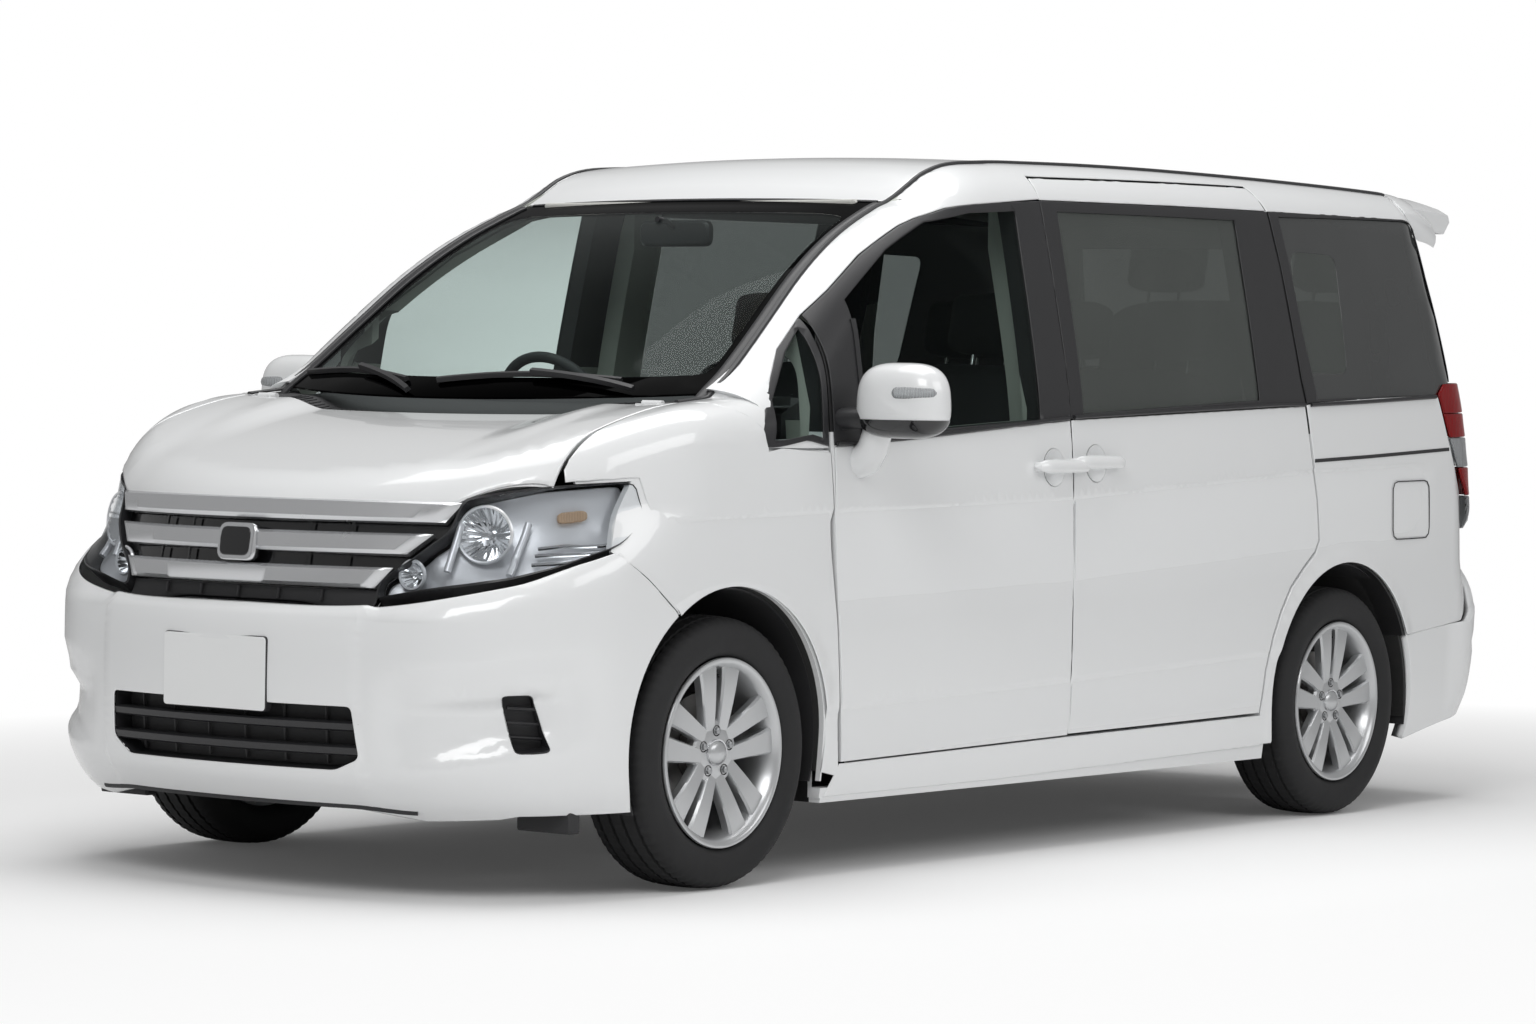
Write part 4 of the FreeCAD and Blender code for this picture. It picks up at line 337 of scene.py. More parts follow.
# ---------------------------------------------------------------- charts
@dataclass(frozen=True)
class Chart:
    """A map from flat coordinates to rays that leave the body, one ray for each flat point."""

    body: Callable[[Array], Array] = Form.whole

    def rays(self, flat: Array) -> tuple[Array, Array]:
        """Anchors and directions of the rays of flat points."""
        raise NotImplementedError

    def strike(self, flat: Array) -> Array:
        """Points where the rays of flat points leave the body."""
        return self.leave(*self.rays(flat))

    def leave(self, anchor: Array, way: Array) -> Array:
        """Points where rays leave the body, by halving 24 times.

        Args:
            anchor: Starts of the rays, inside the body.
            way: Their unit directions.

        Returns:
            A point on the skin for each.
        """
        low, high = np.zeros(len(anchor)), np.full(len(anchor), 1600.0)
        for _ in range(24):
            middle = (low + high) / 2
            out = self.body(anchor + way * middle[:, None]) > 0
            high, low = np.where(out, middle, high), np.where(out, low, middle)
        return anchor + way * low[:, None]

    def outward(self, points: Array) -> Array:
        """Unit gradient of the signed distance at points.

        Args:
            points: Points near the skin.

        Returns:
            A unit vector for each.
        """
        step = 1.5
        slopes = [self.body(points + step * axis) - self.body(points - step * axis) for axis in np.eye(3)]
        return unit(np.stack(slopes, axis=-1))

    def surface(self, flat: Array, lift: float = 0.0, shape: Relief | None = None) -> Array:
        """Points on the skin, moved out along its normal by a lift and by a shape's relief.

        Args:
            flat: Flat points.
            lift: Height over the skin.
            shape: Relief over the skin.

        Returns:
            A point for each.
        """
        points = self.strike(flat)
        relief = lift if shape is None else lift + shape(points)
        if shape is None and lift == 0:
            return points
        return points + self.outward(points) * np.broadcast_to(relief, (len(points),))[:, None]

    def laid(self, flat: Array, lift: float = 0.0,
             shape: Relief | None = None) -> tuple[Array, Array]:
        """Points on the skin and their normals, from the cross product of two small steps on the chart.

        Args:
            flat: Flat points.
            lift: Height over the skin.
            shape: Relief over the skin.

        Returns:
            A point and a unit normal for each.
        """
        here = self.surface(flat, lift, shape)
        step = 1.0
        ahead = self.surface(flat + [step, 0], lift, shape) - self.surface(flat - [step, 0], lift, shape)
        above = self.surface(flat + [0, step], lift, shape) - self.surface(flat - [0, step], lift, shape)
        normals = unit(np.cross(ahead, above))
        facing = np.sign(np.sum(normals * self.outward(here), axis=-1, keepdims=True))
        return here, normals * np.where(facing == 0, 1, facing)


@dataclass(frozen=True)
class SideChart(Chart):
    """The left side: Y, and a girth that is Z up to a fan line, then the arc of a fan up to the roof edge."""

    edge: Callable[[Array], Array] = Form.side_edge
    drop: float = 252.0

    def fan_line(self, y: Array) -> Array:
        """Level where the fan of rays begins.

        Args:
            y: Y of the points.

        Returns:
            The level at each.
        """
        x = self.edge(y)
        top = Form.hood_top(x, y)
        if self.body is not Form.lower:
            top = np.maximum(top, Form.upper_top(x, y))
        return top - self.drop

    def rays(self, flat: Array) -> tuple[Array, Array]:
        """Level rays below the fan line, and a fan round it above.

        Args:
            flat: Flat points.

        Returns:
            The anchors and directions.
        """
        y, girth = flat[:, 0], flat[:, 1]
        line = self.fan_line(y)
        angle = np.clip((girth - line) / self.drop, 0, np.pi / 2)
        anchor = np.stack([self.edge(y), y, np.minimum(girth, line)], axis=-1)
        return anchor, np.stack([np.cos(angle), 0 * angle, np.sin(angle)], axis=-1)

    def top(self, y: Array) -> Array:
        """Girth of the last ray, which points straight up."""
        return self.fan_line(y) + self.drop * np.pi / 2

    def onto(self, spots: Array) -> Array:
        """Flat points for points on the skin, from their angle round the foot of the fan.

        Args:
            spots: Points on the skin.

        Returns:
            The flat points.
        """
        x, y, z = spots.T
        line = self.fan_line(y)
        angle = np.arctan2(z - line, np.maximum(x - self.edge(y), 1e-6))
        return np.stack([y, np.where(z <= line, z, line + self.drop * angle)], axis=-1)

    def lay(self, points: Array) -> Array:
        """Flat points for pairs of Y and Z, from the spot that a level ray along X strikes."""
        y, z = points[:, 0], points[:, 1]
        return self.onto(self.leave(np.stack([0 * y, y, z], axis=-1), np.tile([1.0, 0.0, 0.0], (len(y), 1))))


@dataclass(frozen=True)
class EndChart(Chart):
    """The nose or the tail: an angle round an upright line times a reach, and Z."""

    axis_y: float = float(station(-0.035))
    sign: int = -1
    reach: float = 800.0

    def rays(self, flat: Array) -> tuple[Array, Array]:
        """Level rays out of the upright line.

        Args:
            flat: Flat points.

        Returns:
            The anchors and directions.
        """
        angle = flat[:, 0] / self.reach
        anchor = np.stack([0 * angle, 0 * angle + self.axis_y, flat[:, 1]], axis=-1)
        return anchor, np.stack([np.sin(angle), self.sign * np.cos(angle), 0 * angle], axis=-1)

    def lay(self, points: Array) -> Array:
        """Flat points for pairs of X and Z, from the angle of the spot that a ray along Y strikes.

        Args:
            points: Pairs of X and Z.

        Returns:
            The flat points.
        """
        x, z = points[:, 0], points[:, 1]
        anchor = np.stack([x, 0 * x + self.axis_y, z], axis=-1)
        spot = self.leave(anchor, np.tile([0.0, float(self.sign), 0.0], (len(x), 1)))
        angle = np.arctan2(x, (spot[:, 1] - self.axis_y) * self.sign)
        return np.stack([angle * self.reach, z], axis=-1)

    def lay_side(self, points: Array) -> Array:
        """Flat points on the left for pairs of Y and Z, from the spot that a ray along X strikes.

        Args:
            points: Pairs of Y and Z.

        Returns:
            The flat points.
        """
        y, z = points[:, 0], points[:, 1]
        spot = self.leave(np.stack([0 * y, y, z], axis=-1), np.tile([1.0, 0.0, 0.0], (len(y), 1)))
        angle = np.arctan2(spot[:, 0], (y - self.axis_y) * self.sign)
        return np.stack([angle * self.reach, z], axis=-1)


@dataclass(frozen=True)
class TopChart(Chart):
    """The hood, the windscreen or the roof: X and Y, with upright rays."""

    base: float = 550.0

    def rays(self, flat: Array) -> tuple[Array, Array]:
        """Upright rays from a level inside the body."""
        anchor = np.concatenate([flat, np.full((len(flat), 1), self.base)], axis=1)
        return anchor, np.tile([0.0, 0.0, 1.0], (len(flat), 1))


SIDE = SideChart()
WING = SideChart(Form.lower, lambda y: 0 * y + HALF * Form.HOOD_HALF + 6, 187.0)
NOSE_CHART = EndChart(Form.lower)
TAIL_CHART = EndChart(Form.whole, float(station(1.08)), 1)
HOOD_CHART = TopChart(Form.lower)
GLASS_CHART = TopChart(Form.upper, 730.0)
ROOF_CHART = TopChart(Form.upper, 1280.0)
LONG_CHART = TopChart(Form.long, 1460.0)


# ---------------------------------------------------------------- flat outlines
def arc(centre: Sequence[float], radius: float, start: float, end: float, count: int = 25) -> Array:
    """Flat points of an arc, from one angle in degrees to another."""
    angle = np.radians(steps(start, end, count))
    return np.stack([centre[0] + radius * np.cos(angle), centre[1] + radius * np.sin(angle)], axis=-1)


def divided(points: Array, step: float) -> Array:
    """A closed outline with points no further apart than a step.

    Args:
        points: The outline.
        step: The longest distance between two points.

    Returns:
        The finer outline.
    """
    runs = []
    for a, b in zip(points, np.roll(points, -1, axis=0)):
        count = max(int(np.ceil(np.linalg.norm(b - a) / step)), 1)
        runs.append(a + (b - a) * np.arange(count)[:, None] / count)
    return np.concatenate(runs)


def softened(points: Array, radius: float, count: int = 5) -> Array:
    """A closed outline whose corners are turned into quadratic curves between their tangent points.

    Args:
        points: The outline.
        radius: Distance of a tangent point from its corner.
        count: Points of a curve.

    Returns:
        The softened outline.
    """
    before, after = np.roll(points, 1, axis=0), np.roll(points, -1, axis=0)
    rows = []
    for a, p, b in zip(before, points, after):
        one, two = np.linalg.norm(a - p), np.linalg.norm(b - p)
        start = p + (a - p) / one * min(radius, one * 0.45)
        end = p + (b - p) / two * min(radius, two * 0.45)
        t = steps(0, 1, count)[:, None]
        rows.append((1 - t) ** 2 * start + 2 * t * (1 - t) * p + t * t * end)
    return np.concatenate(rows)


def grown(points: Array, amount: float) -> Array:
    """A closed outline moved out by an amount, or in where it is negative, with its mitres limited.

    Args:
        points: The outline.
        amount: Distance out of it.

    Returns:
        The moved outline.
    """
    turn = np.sign(turning(points))
    one = unit(points - np.roll(points, 1, axis=0))
    two = unit(np.roll(points, -1, axis=0) - points)
    first, second = (np.stack([v[:, 1], -v[:, 0]], axis=-1) * turn for v in (one, two))
    share = amount / np.maximum(1 + np.sum(first * second, axis=-1, keepdims=True), 0.35)
    return points + share * (first + second)


def inside(points: Array, outline: Array) -> Array:
    """Whether each flat point lies in an outline, by counting the edges that a level ray crosses.

    Args:
        points: Flat points.
        outline: The closed outline.

    Returns:
        A truth value for each point.
    """
    a, b = outline, np.roll(outline, -1, axis=0)
    px, py = points[:, :1], points[:, 1:]
    spans = (a[:, 1] > py) != (b[:, 1] > py)
    rise = np.where(b[:, 1] == a[:, 1], 1e-9, b[:, 1] - a[:, 1])
    crossing = a[:, 0] + (py - a[:, 1]) * (b[:, 0] - a[:, 0]) / rise
    return np.sum(spans & (px < crossing), axis=1) % 2 == 1


def from_edges(points: Array, outline: Array) -> Array:
    """Distance of each flat point from an outline's edges.

    Args:
        points: Flat points.
        outline: The closed outline.

    Returns:
        A distance for each point.
    """
    a, b = outline, np.roll(outline, -1, axis=0)
    along = b - a
    size = np.maximum(np.sum(along ** 2, axis=1), 1e-9)
    best = np.full(len(points), np.inf)
    for start in range(0, len(points), 2000):
        p = points[start:start + 2000, None, :]
        t = np.clip(np.sum((p - a) * along, axis=2) / size, 0, 1)
        best[start:start + 2000] = np.linalg.norm(p - a - t[..., None] * along, axis=2).min(axis=1)
    return best


def turning(points: Array) -> float:
    """Twice the signed area of a closed outline, over 0 where it runs anticlockwise."""
    x, y = points.T
    return np.sum(x * np.roll(y, -1) - np.roll(x, -1) * y)


def wound(spots: Array, faces: Array) -> tuple[Array, Array]:
    """Turn flat triangles anticlockwise.

    Args:
        spots: Flat points.
        faces: Triangles of them.

    Returns:
        The triangles, and twice the signed areas that they had.
    """
    a, b, c = (spots[faces[:, i]] for i in range(3))
    area = (b[:, 0] - a[:, 0]) * (c[:, 1] - a[:, 1]) - (b[:, 1] - a[:, 1]) * (c[:, 0] - a[:, 0])
    return np.where((area < 0)[:, None], faces[:, ::-1], faces), area


def symmetric(right: Array) -> Array:
    """A closed outline from its right half, which starts and ends on the middle line."""
    return np.concatenate([right, (right * [-1, 1])[::-1][1:-1]])


def plaque(low: Sequence[float], high: Sequence[float], radius: float) -> Array:
    """A rectangle with softened corners, between two opposite corners."""
    corners = [(low[0], low[1]), (high[0], low[1]), (high[0], high[1]), (low[0], high[1])]
    return softened(np.array(corners, float), radius)


@dataclass
class Flat:
    """A triangulated flat region."""

    points: Array
    faces: Array

    @classmethod
    def fill(cls, outline: Array, holes: Sequence[Array] = (), spacing: float = 30.0, roll: float = 3.0,
             extra: Sequence[Array] = ()) -> "Flat":
        """Triangulate a region between an outline and its holes, with a ring of points just inside each edge.

        Args:
            outline: The outer edge.
            holes: Outlines that stay open.
            spacing: Distance between the grid's points.
            roll: Distance of the ring from its edge.
            extra: Further points, for a finer mesh.

        Returns:
            The region.
        """
        loops = [divided(loop, spacing * 0.6) for loop in (outline, *holes)]
        starts = np.cumsum([0] + [len(loop) for loop in loops])
        rings = [grown(loop, -roll if i == 0 else roll) for i, loop in enumerate(loops)]
        low, high = loops[0].min(axis=0), loops[0].max(axis=0)
        counts = np.maximum(np.ceil((high - low) / spacing).astype(int), 2)
        grid = np.stack(np.meshgrid(steps(low[0], high[0], counts[0]), steps(low[1], high[1], counts[1])),
                        axis=-1).reshape(-1, 2)
        ring = cls.clear(np.concatenate(rings), loops, roll * 0.6)
        field_points = cls.clear(np.concatenate([grid, *extra]), loops, max(spacing * 0.35, roll * 1.6))
        points = np.concatenate([*loops, ring, field_points])
        edges = [(s + i, s + (i + 1) % len(loop)) for s, loop in zip(starts.tolist(), loops)
                 for i in range(len(loop))]
        made = delaunay_2d_cdt([tuple(p) for p in points], edges, [], 0, 1e-4)
        spots, faces = np.array([tuple(v) for v in made[0]]), np.array(made[2])
        order = np.array([o[0] if o else -1 for o in made[3]])
        merged = any(len(o) != 1 for o in made[3])
        same = len(order) == len(points) and order.min() >= 0 and len(set(order.tolist())) == len(order)
        if same and (merged or (order != np.arange(len(order))).any()):
            faces, spots = order[faces], points
        faces, area = wound(spots, faces[cls.within(spots[faces].mean(axis=1), loops)])
        return cls(spots, faces[np.abs(area) > 1e-6])

    @staticmethod
    def within(points: Array, loops: list[Array]) -> Array:
        """Whether each point lies in the first loop and in none of the others.

        Args:
            points: Flat points.
            loops: The outer edge and the holes.

        Returns:
            A truth value for each point.
        """
        keep = inside(points, loops[0])
        for loop in loops[1:]:
            keep &= ~inside(points, loop)
        return keep

    @classmethod
    def clear(cls, points: Array, loops: list[Array], least: float) -> Array:
        """The points within the loops that are further than a least distance from each of them."""
        near = np.min([from_edges(points, loop) for loop in loops], axis=0)
        return points[cls.within(points, loops) & (near > least)]

    def edge_pairs(self) -> Array:
        """The directed edges that belong to one face only.

        Returns:
            Pairs of point numbers.
        """
        pairs = np.concatenate([self.faces[:, [0, 1]], self.faces[:, [1, 2]], self.faces[:, [2, 0]]])
        keys = {(int(a), int(b)) for a, b in pairs}
        return np.array([(a, b) for a, b in keys if (b, a) not in keys])


# ---------------------------------------------------------------- finishes
class Value:
    """A socket whose operators add Math nodes."""

    def __init__(self, shader: "Shader", socket: bpy.types.NodeSocket) -> None:
        """Keep the shader and the socket."""
        self.shader, self.socket = shader, socket

    def _math(self, operation: str, *values: object) -> "Value":
        """Add a Math node."""
        return self.shader.node("ShaderNodeMath", {"operation": operation}, dict(enumerate(values)))

    def __add__(self, other: object) -> "Value":
        """Sum."""
        return self._math("ADD", self, other)

    __radd__ = __add__

    def __sub__(self, other: object) -> "Value":
        """Difference."""
        return self._math("SUBTRACT", self, other)

    def __rsub__(self, other: object) -> "Value":
        """Difference from the other value."""
        return self._math("SUBTRACT", other, self)

    def __mul__(self, other: object) -> "Value":
        """Product."""
        return self._math("MULTIPLY", self, other)

    __rmul__ = __mul__

    def __gt__(self, other: object) -> "Value":
        """1 where greater."""
        return self._math("GREATER_THAN", self, other)

    def __lt__(self, other: object) -> "Value":
        """1 where less."""
        return self._math("LESS_THAN", self, other)

    def wave(self) -> "Value":
        """Sine."""
        return self._math("SINE", self)

    def clamped(self) -> "Value":
        """The value held between 0 and 1."""
        return self.shader.node("ShaderNodeClamp", {}, {0: self})


class Shader:
    """One material's nodes."""

    def __init__(self, name: str) -> None:
        """Start a material with only its output."""
        self.material = bpy.data.materials.new(name)
        self.material.use_nodes = True
        self.tree = self.material.node_tree
        self.tree.nodes.clear()
        self.output = self.tree.nodes.new("ShaderNodeOutputMaterial")

    def node(self, kind: str, settings: dict[str, object], inputs: dict[object, object],
             output: int | str = 0) -> Value:
        """Add a node.

        Args:
            kind: Blender's name of the node type.
            settings: Properties that are set first, and a ramp's stops under "stops".
            inputs: Values or other sockets, by input name or number.
            output: The output that is returned.

        Returns:
            The chosen output socket, wrapped.
        """
        node = self.tree.nodes.new(kind)
        for key, value in settings.items():
            if key == "stops":
                ramp = node.color_ramp
                for i, (place, colour) in enumerate(value):
                    stop = ramp.elements[i] if i < 2 else ramp.elements.new(place)
                    stop.position, stop.color = place, (*colour, 1.0)
            else:
                setattr(node, key, value)
        for key, value in inputs.items():
            if isinstance(value, Value):
                self.tree.links.new(value.socket, node.inputs[key])
            else:
                node.inputs[key].default_value = value
        return Value(self, node.outputs[output])

    def place(self) -> Value:
        """Object coordinates."""
        return self.node("ShaderNodeTexCoord", {}, {}, "Object")

    def axes(self) -> list[Value]:
        """Object X, Y and Z."""
        split = self.node("ShaderNodeSeparateXYZ", {}, {0: self.place()})
        return [Value(self, split.socket.node.outputs[i]) for i in range(3)]

    def noise(self, scale: float, detail: float = 2.0) -> Value:
        """Noise on Object coordinates."""
        return self.node("ShaderNodeTexNoise", {}, {"Vector": self.place(), "Scale": scale, "Detail": detail})

    def bump(self, height: Value, distance: float, strength: float = 1.0) -> Value:
        """A Bump node on a height in metres."""
        return self.node("ShaderNodeBump", {}, {"Height": height, "Distance": distance, "Strength": strength},
                         "Normal")

    def mix(self, factor: object, a: object, b: object) -> Value:
        """Mix two colours."""
        return self.node("ShaderNodeMix", {"data_type": "RGBA"}, {0: factor, 6: a, 7: b}, 2)

    def done(self, surface: Value) -> bpy.types.Material:
        """Join a surface to the output."""
        self.tree.links.new(surface.socket, self.output.inputs["Surface"])
        return self.material


Colour = tuple[float, float, float]


def rgba(colour: Colour) -> tuple[float, float, float, float]:
    """A colour with full alpha."""
    return (*colour, 1.0)


@dataclass(frozen=True)
class Finish:
    """A plain finish: one colour with a little variation, and a fine grain."""

    name: str
    colour: Colour
    roughness: float = 0.5
    metallic: float = 0.0
    coat: float = 0.0
    vary: float = 0.04
    vary_scale: float = 6.0
    grain: float = 0.0
    grain_scale: float = 900.0
    specular: float = 0.5

    def colours(self, s: Shader) -> Value:
        """The base colour, darkened slightly by slow noise."""
        dark = rgba(tuple(c * (1 - self.vary) for c in self.colour))
        return s.mix(s.noise(self.vary_scale), dark, rgba(self.colour))

    def height(self, s: Shader) -> Value:
        """The grain's height."""
        return s.noise(self.grain_scale, 3.0)

    def make(self) -> bpy.types.Material:
        """Build the material.

        Returns:
            The material.
        """
        s = Shader(self.name)
        rough = s.noise(self.vary_scale * 3) * 0.06 + (self.roughness - 0.03)
        inputs = {"Base Color": self.colours(s), "Roughness": rough, "Metallic": self.metallic,
                  "Coat Weight": self.coat, "Coat Roughness": 0.04, "Specular IOR Level": self.specular}
        if self.grain:
            inputs["Normal"] = s.bump(self.height(s), self.grain)
        return s.done(s.node("ShaderNodeBsdfPrincipled", {}, inputs))


@dataclass(frozen=True)
class Cloth(Finish):
    """A woven cloth: two crossed sets of threads on the piece's own coordinates."""

    pitch: float = 0.0022

    def height(self, s: Shader) -> Value:
        """Crossed sine threads.

        Args:
            s: The material being built.

        Returns:
            The height.
        """
        x, y, z = s.axes()
        turn = 2 * np.pi / self.pitch
        return ((x + y * 0.6) * turn).wave() * 0.5 + ((z + y * 0.5) * turn).wave() * 0.5


@dataclass(frozen=True)
class Glass:
    """Clear or tinted glass: a tinted see-through shader under a gloss that grows at the rim."""

    name: str
    tint: Colour
    roughness: float = 0.02
    gloss: float = 1.0
    body: Colour = (0.02, 0.02, 0.02)
    haze: float = 0.025

    def make(self) -> bpy.types.Material:
        """Build the material.

        Returns:
            The material.
        """
        s = Shader(self.name)
        fine = s.noise(4.0)
        clear = s.node("ShaderNodeBsdfTransparent", {}, {"Color": rgba(self.tint)})
        shine = s.node("ShaderNodeBsdfPrincipled", {}, {
            "Base Color": s.mix(fine, rgba(self.body), rgba(tuple(c * 0.8 for c in self.body))),
            "Roughness": fine * 0.01 + self.roughness, "Specular IOR Level": 0.6})
        rim = s.node("ShaderNodeLayerWeight", {}, {"Blend": 0.5}, "Facing")
        rim = s.node("ShaderNodeMath", {"operation": "POWER"}, {0: rim, 1: 5.0})
        factor = (rim * (0.8 * self.gloss) + self.haze).clamped()
        return s.done(s.node("ShaderNodeMixShader", {}, {0: factor, 1: clear, 2: shine}))


@dataclass(frozen=True)
class Lens(Glass):
    """A moulded lamp lens: tinted, with upright flutes in its thickness."""

    pitch: float = 0.009
    solid: float = 0.3

    def make(self) -> bpy.types.Material:
        """Build the material.

        Returns:
            The material.
        """
        s = Shader(self.name)
        x, y = s.axes()[:2]
        flutes = ((x + y) * (2 * np.pi / self.pitch)).wave() * 0.5 + 0.5
        clear = s.node("ShaderNodeBsdfTransparent", {}, {"Color": rgba(self.tint)})
        shine = s.node("ShaderNodeBsdfPrincipled", {}, {
            "Base Color": s.mix(flutes, rgba(self.body), rgba(tuple(c * 0.82 for c in self.body))),
            "Roughness": flutes * 0.04 + self.roughness, "Normal": s.bump(flutes, 0.0006)})
        rim = s.node("ShaderNodeLayerWeight", {}, {"Blend": 0.3}, "Fresnel")
        factor = (rim + self.solid).clamped()
        return s.done(s.node("ShaderNodeMixShader", {}, {0: factor, 1: clear, 2: shine}))


FINISHES = [
    Finish("body_paint", (0.80, 0.81, 0.815), 0.3, coat=1.0, vary=0.012, grain=0.00005, grain_scale=700.0),
    Finish("satin_black", (0.022, 0.022, 0.024), 0.38, vary=0.15, grain=0.00006),
    Finish("gloss_black", (0.008, 0.008, 0.009), 0.12, coat=0.6, vary=0.1),
    Finish("textured_black", (0.028, 0.028, 0.03), 0.62, vary=0.2, grain=0.0003, grain_scale=1400.0),
    Finish("satin_chrome", (0.72, 0.73, 0.745), 0.26, metallic=0.85, vary=0.05, grain=0.00003),
    Finish("bright_chrome", (0.86, 0.87, 0.88), 0.09, metallic=1.0, vary=0.03),
    Finish("lamp_housing", (0.78, 0.79, 0.81), 0.3, metallic=0.35, vary=0.06),
    Finish("rim_silver", (0.58, 0.59, 0.6), 0.33, metallic=0.75, coat=0.5, vary=0.04, grain=0.00004),
    Finish("cast_iron", (0.13, 0.12, 0.115), 0.6, metallic=0.6, vary=0.3, vary_scale=30.0, grain=0.0003),
    Finish("brake_steel", (0.42, 0.41, 0.4), 0.35, metallic=1.0, vary=0.2, vary_scale=20.0, grain=0.00008),
    Finish("tyre_rubber", (0.022, 0.022, 0.023), 0.72, vary=0.25, vary_scale=14.0, grain=0.0003,
           grain_scale=500.0, specular=0.35),
    Finish("dash_plastic", (0.045, 0.045, 0.048), 0.62, vary=0.15, grain=0.0004, grain_scale=800.0),
    Finish("light_trim", (0.42, 0.44, 0.40), 0.68, vary=0.08, grain=0.0003, grain_scale=700.0),
    Finish("headlining", (0.55, 0.55, 0.52), 0.9, vary=0.06, grain=0.0005, grain_scale=1500.0),
    Finish("underbody_coat", (0.03, 0.03, 0.03), 0.8, vary=0.3, vary_scale=20.0, grain=0.0006),
    Finish("zinc_steel", (0.45, 0.46, 0.47), 0.4, metallic=0.9, vary=0.15, vary_scale=30.0, grain=0.0001),
    Finish("exhaust_steel", (0.33, 0.3, 0.27), 0.45, metallic=0.9, vary=0.3, vary_scale=12.0, grain=0.0002),
    Finish("plate_white", (0.82, 0.83, 0.83), 0.35, vary=0.02, grain=0.0001),
    Finish("mirror_silver", (0.9, 0.9, 0.9), 0.03, metallic=1.0, vary=0.01),
    Cloth("seat_cloth", (0.055, 0.056, 0.06), 0.92, vary=0.3, vary_scale=200.0, grain=0.0006),
    Cloth("seat_bolster", (0.032, 0.032, 0.035), 0.9, vary=0.3, vary_scale=150.0, grain=0.0005, pitch=0.0016),
    Glass("clear_glass", (0.86, 0.9, 0.89), body=(0.03, 0.035, 0.035)),
    Glass("tinted_glass", (0.55, 0.565, 0.56), body=(0.17, 0.185, 0.175), haze=0.38),
    Glass("edge_black_glass", (0.004, 0.004, 0.004), body=(0.004, 0.004, 0.005)),
    Glass("frit_glass", (0.3, 0.31, 0.31), body=(0.062, 0.065, 0.065), haze=0.85),
    Glass("lamp_cover", (0.94, 0.95, 0.96), gloss=0.8, body=(0.05, 0.05, 0.05)),
    Lens("red_lens", (0.45, 0.01, 0.01), 0.08, body=(0.42, 0.012, 0.014), solid=0.45),
    Lens("clear_lens", (0.85, 0.87, 0.88), 0.08, body=(0.55, 0.56, 0.57), solid=0.35),
    Lens("amber_lens", (0.92, 0.78, 0.62), 0.1, body=(0.86, 0.68, 0.5), solid=0.4),
]


class Paintbox:
    """Makes each finish once."""

    def __init__(self) -> None:
        """Index the finishes."""
        self.known = {finish.name: finish for finish in FINISHES}
        self.made: dict[str, bpy.types.Material] = {}

    def get(self, name: str) -> bpy.types.Material:
        """The material of a finish.

        Args:
            name: The finish.

        Returns:
            The material.
        """
        if name not in self.made:
            self.made[name] = self.known[name].make()
        return self.made[name]


# ---------------------------------------------------------------- meshes
@dataclass
class Part:
    """Points in millimetres, faces of one size, and normals or None."""

    points: Array
    faces: Array
    normals: Array | None = None
    smooth: bool = True

    def mirrored(self) -> "Part":
        """The part on the other side of the car.

        Returns:
            The mirror image.
        """
        flip = np.array([-1.0, 1.0, 1.0])
        normals = None if self.normals is None else self.normals * flip
        return Part(self.points * flip, self.faces[:, ::-1], normals, self.smooth)

    def moved(self, matrix: Array, offset: Sequence[float] = (0, 0, 0)) -> "Part":
        """The part turned by a rotation matrix and shifted."""
        normals = None if self.normals is None else self.normals @ np.asarray(matrix).T
        return Part(self.points @ np.asarray(matrix).T + offset, self.faces, normals, self.smooth)


def grid_faces(rows: int, columns: int, wrap: bool = False, close: bool = False) -> Array:
    """Quads of a grid of points, wrapped over its columns and closed over its rows if asked.

    Args:
        rows: Rows of the grid.
        columns: Points of a row.
        wrap: Whether each row is a loop.
        close: Whether the last row joins the first.

    Returns:
        The quads.
    """
    r = np.arange(rows if close else rows - 1)[:, None]
    c = np.arange(columns if wrap else columns - 1)[None, :]
    a, b = r * columns, ((r + 1) % rows) * columns
    d = (c + 1) % columns
    return np.stack([a + c, a + d, b + d, b + c], axis=-1).reshape(-1, 4)


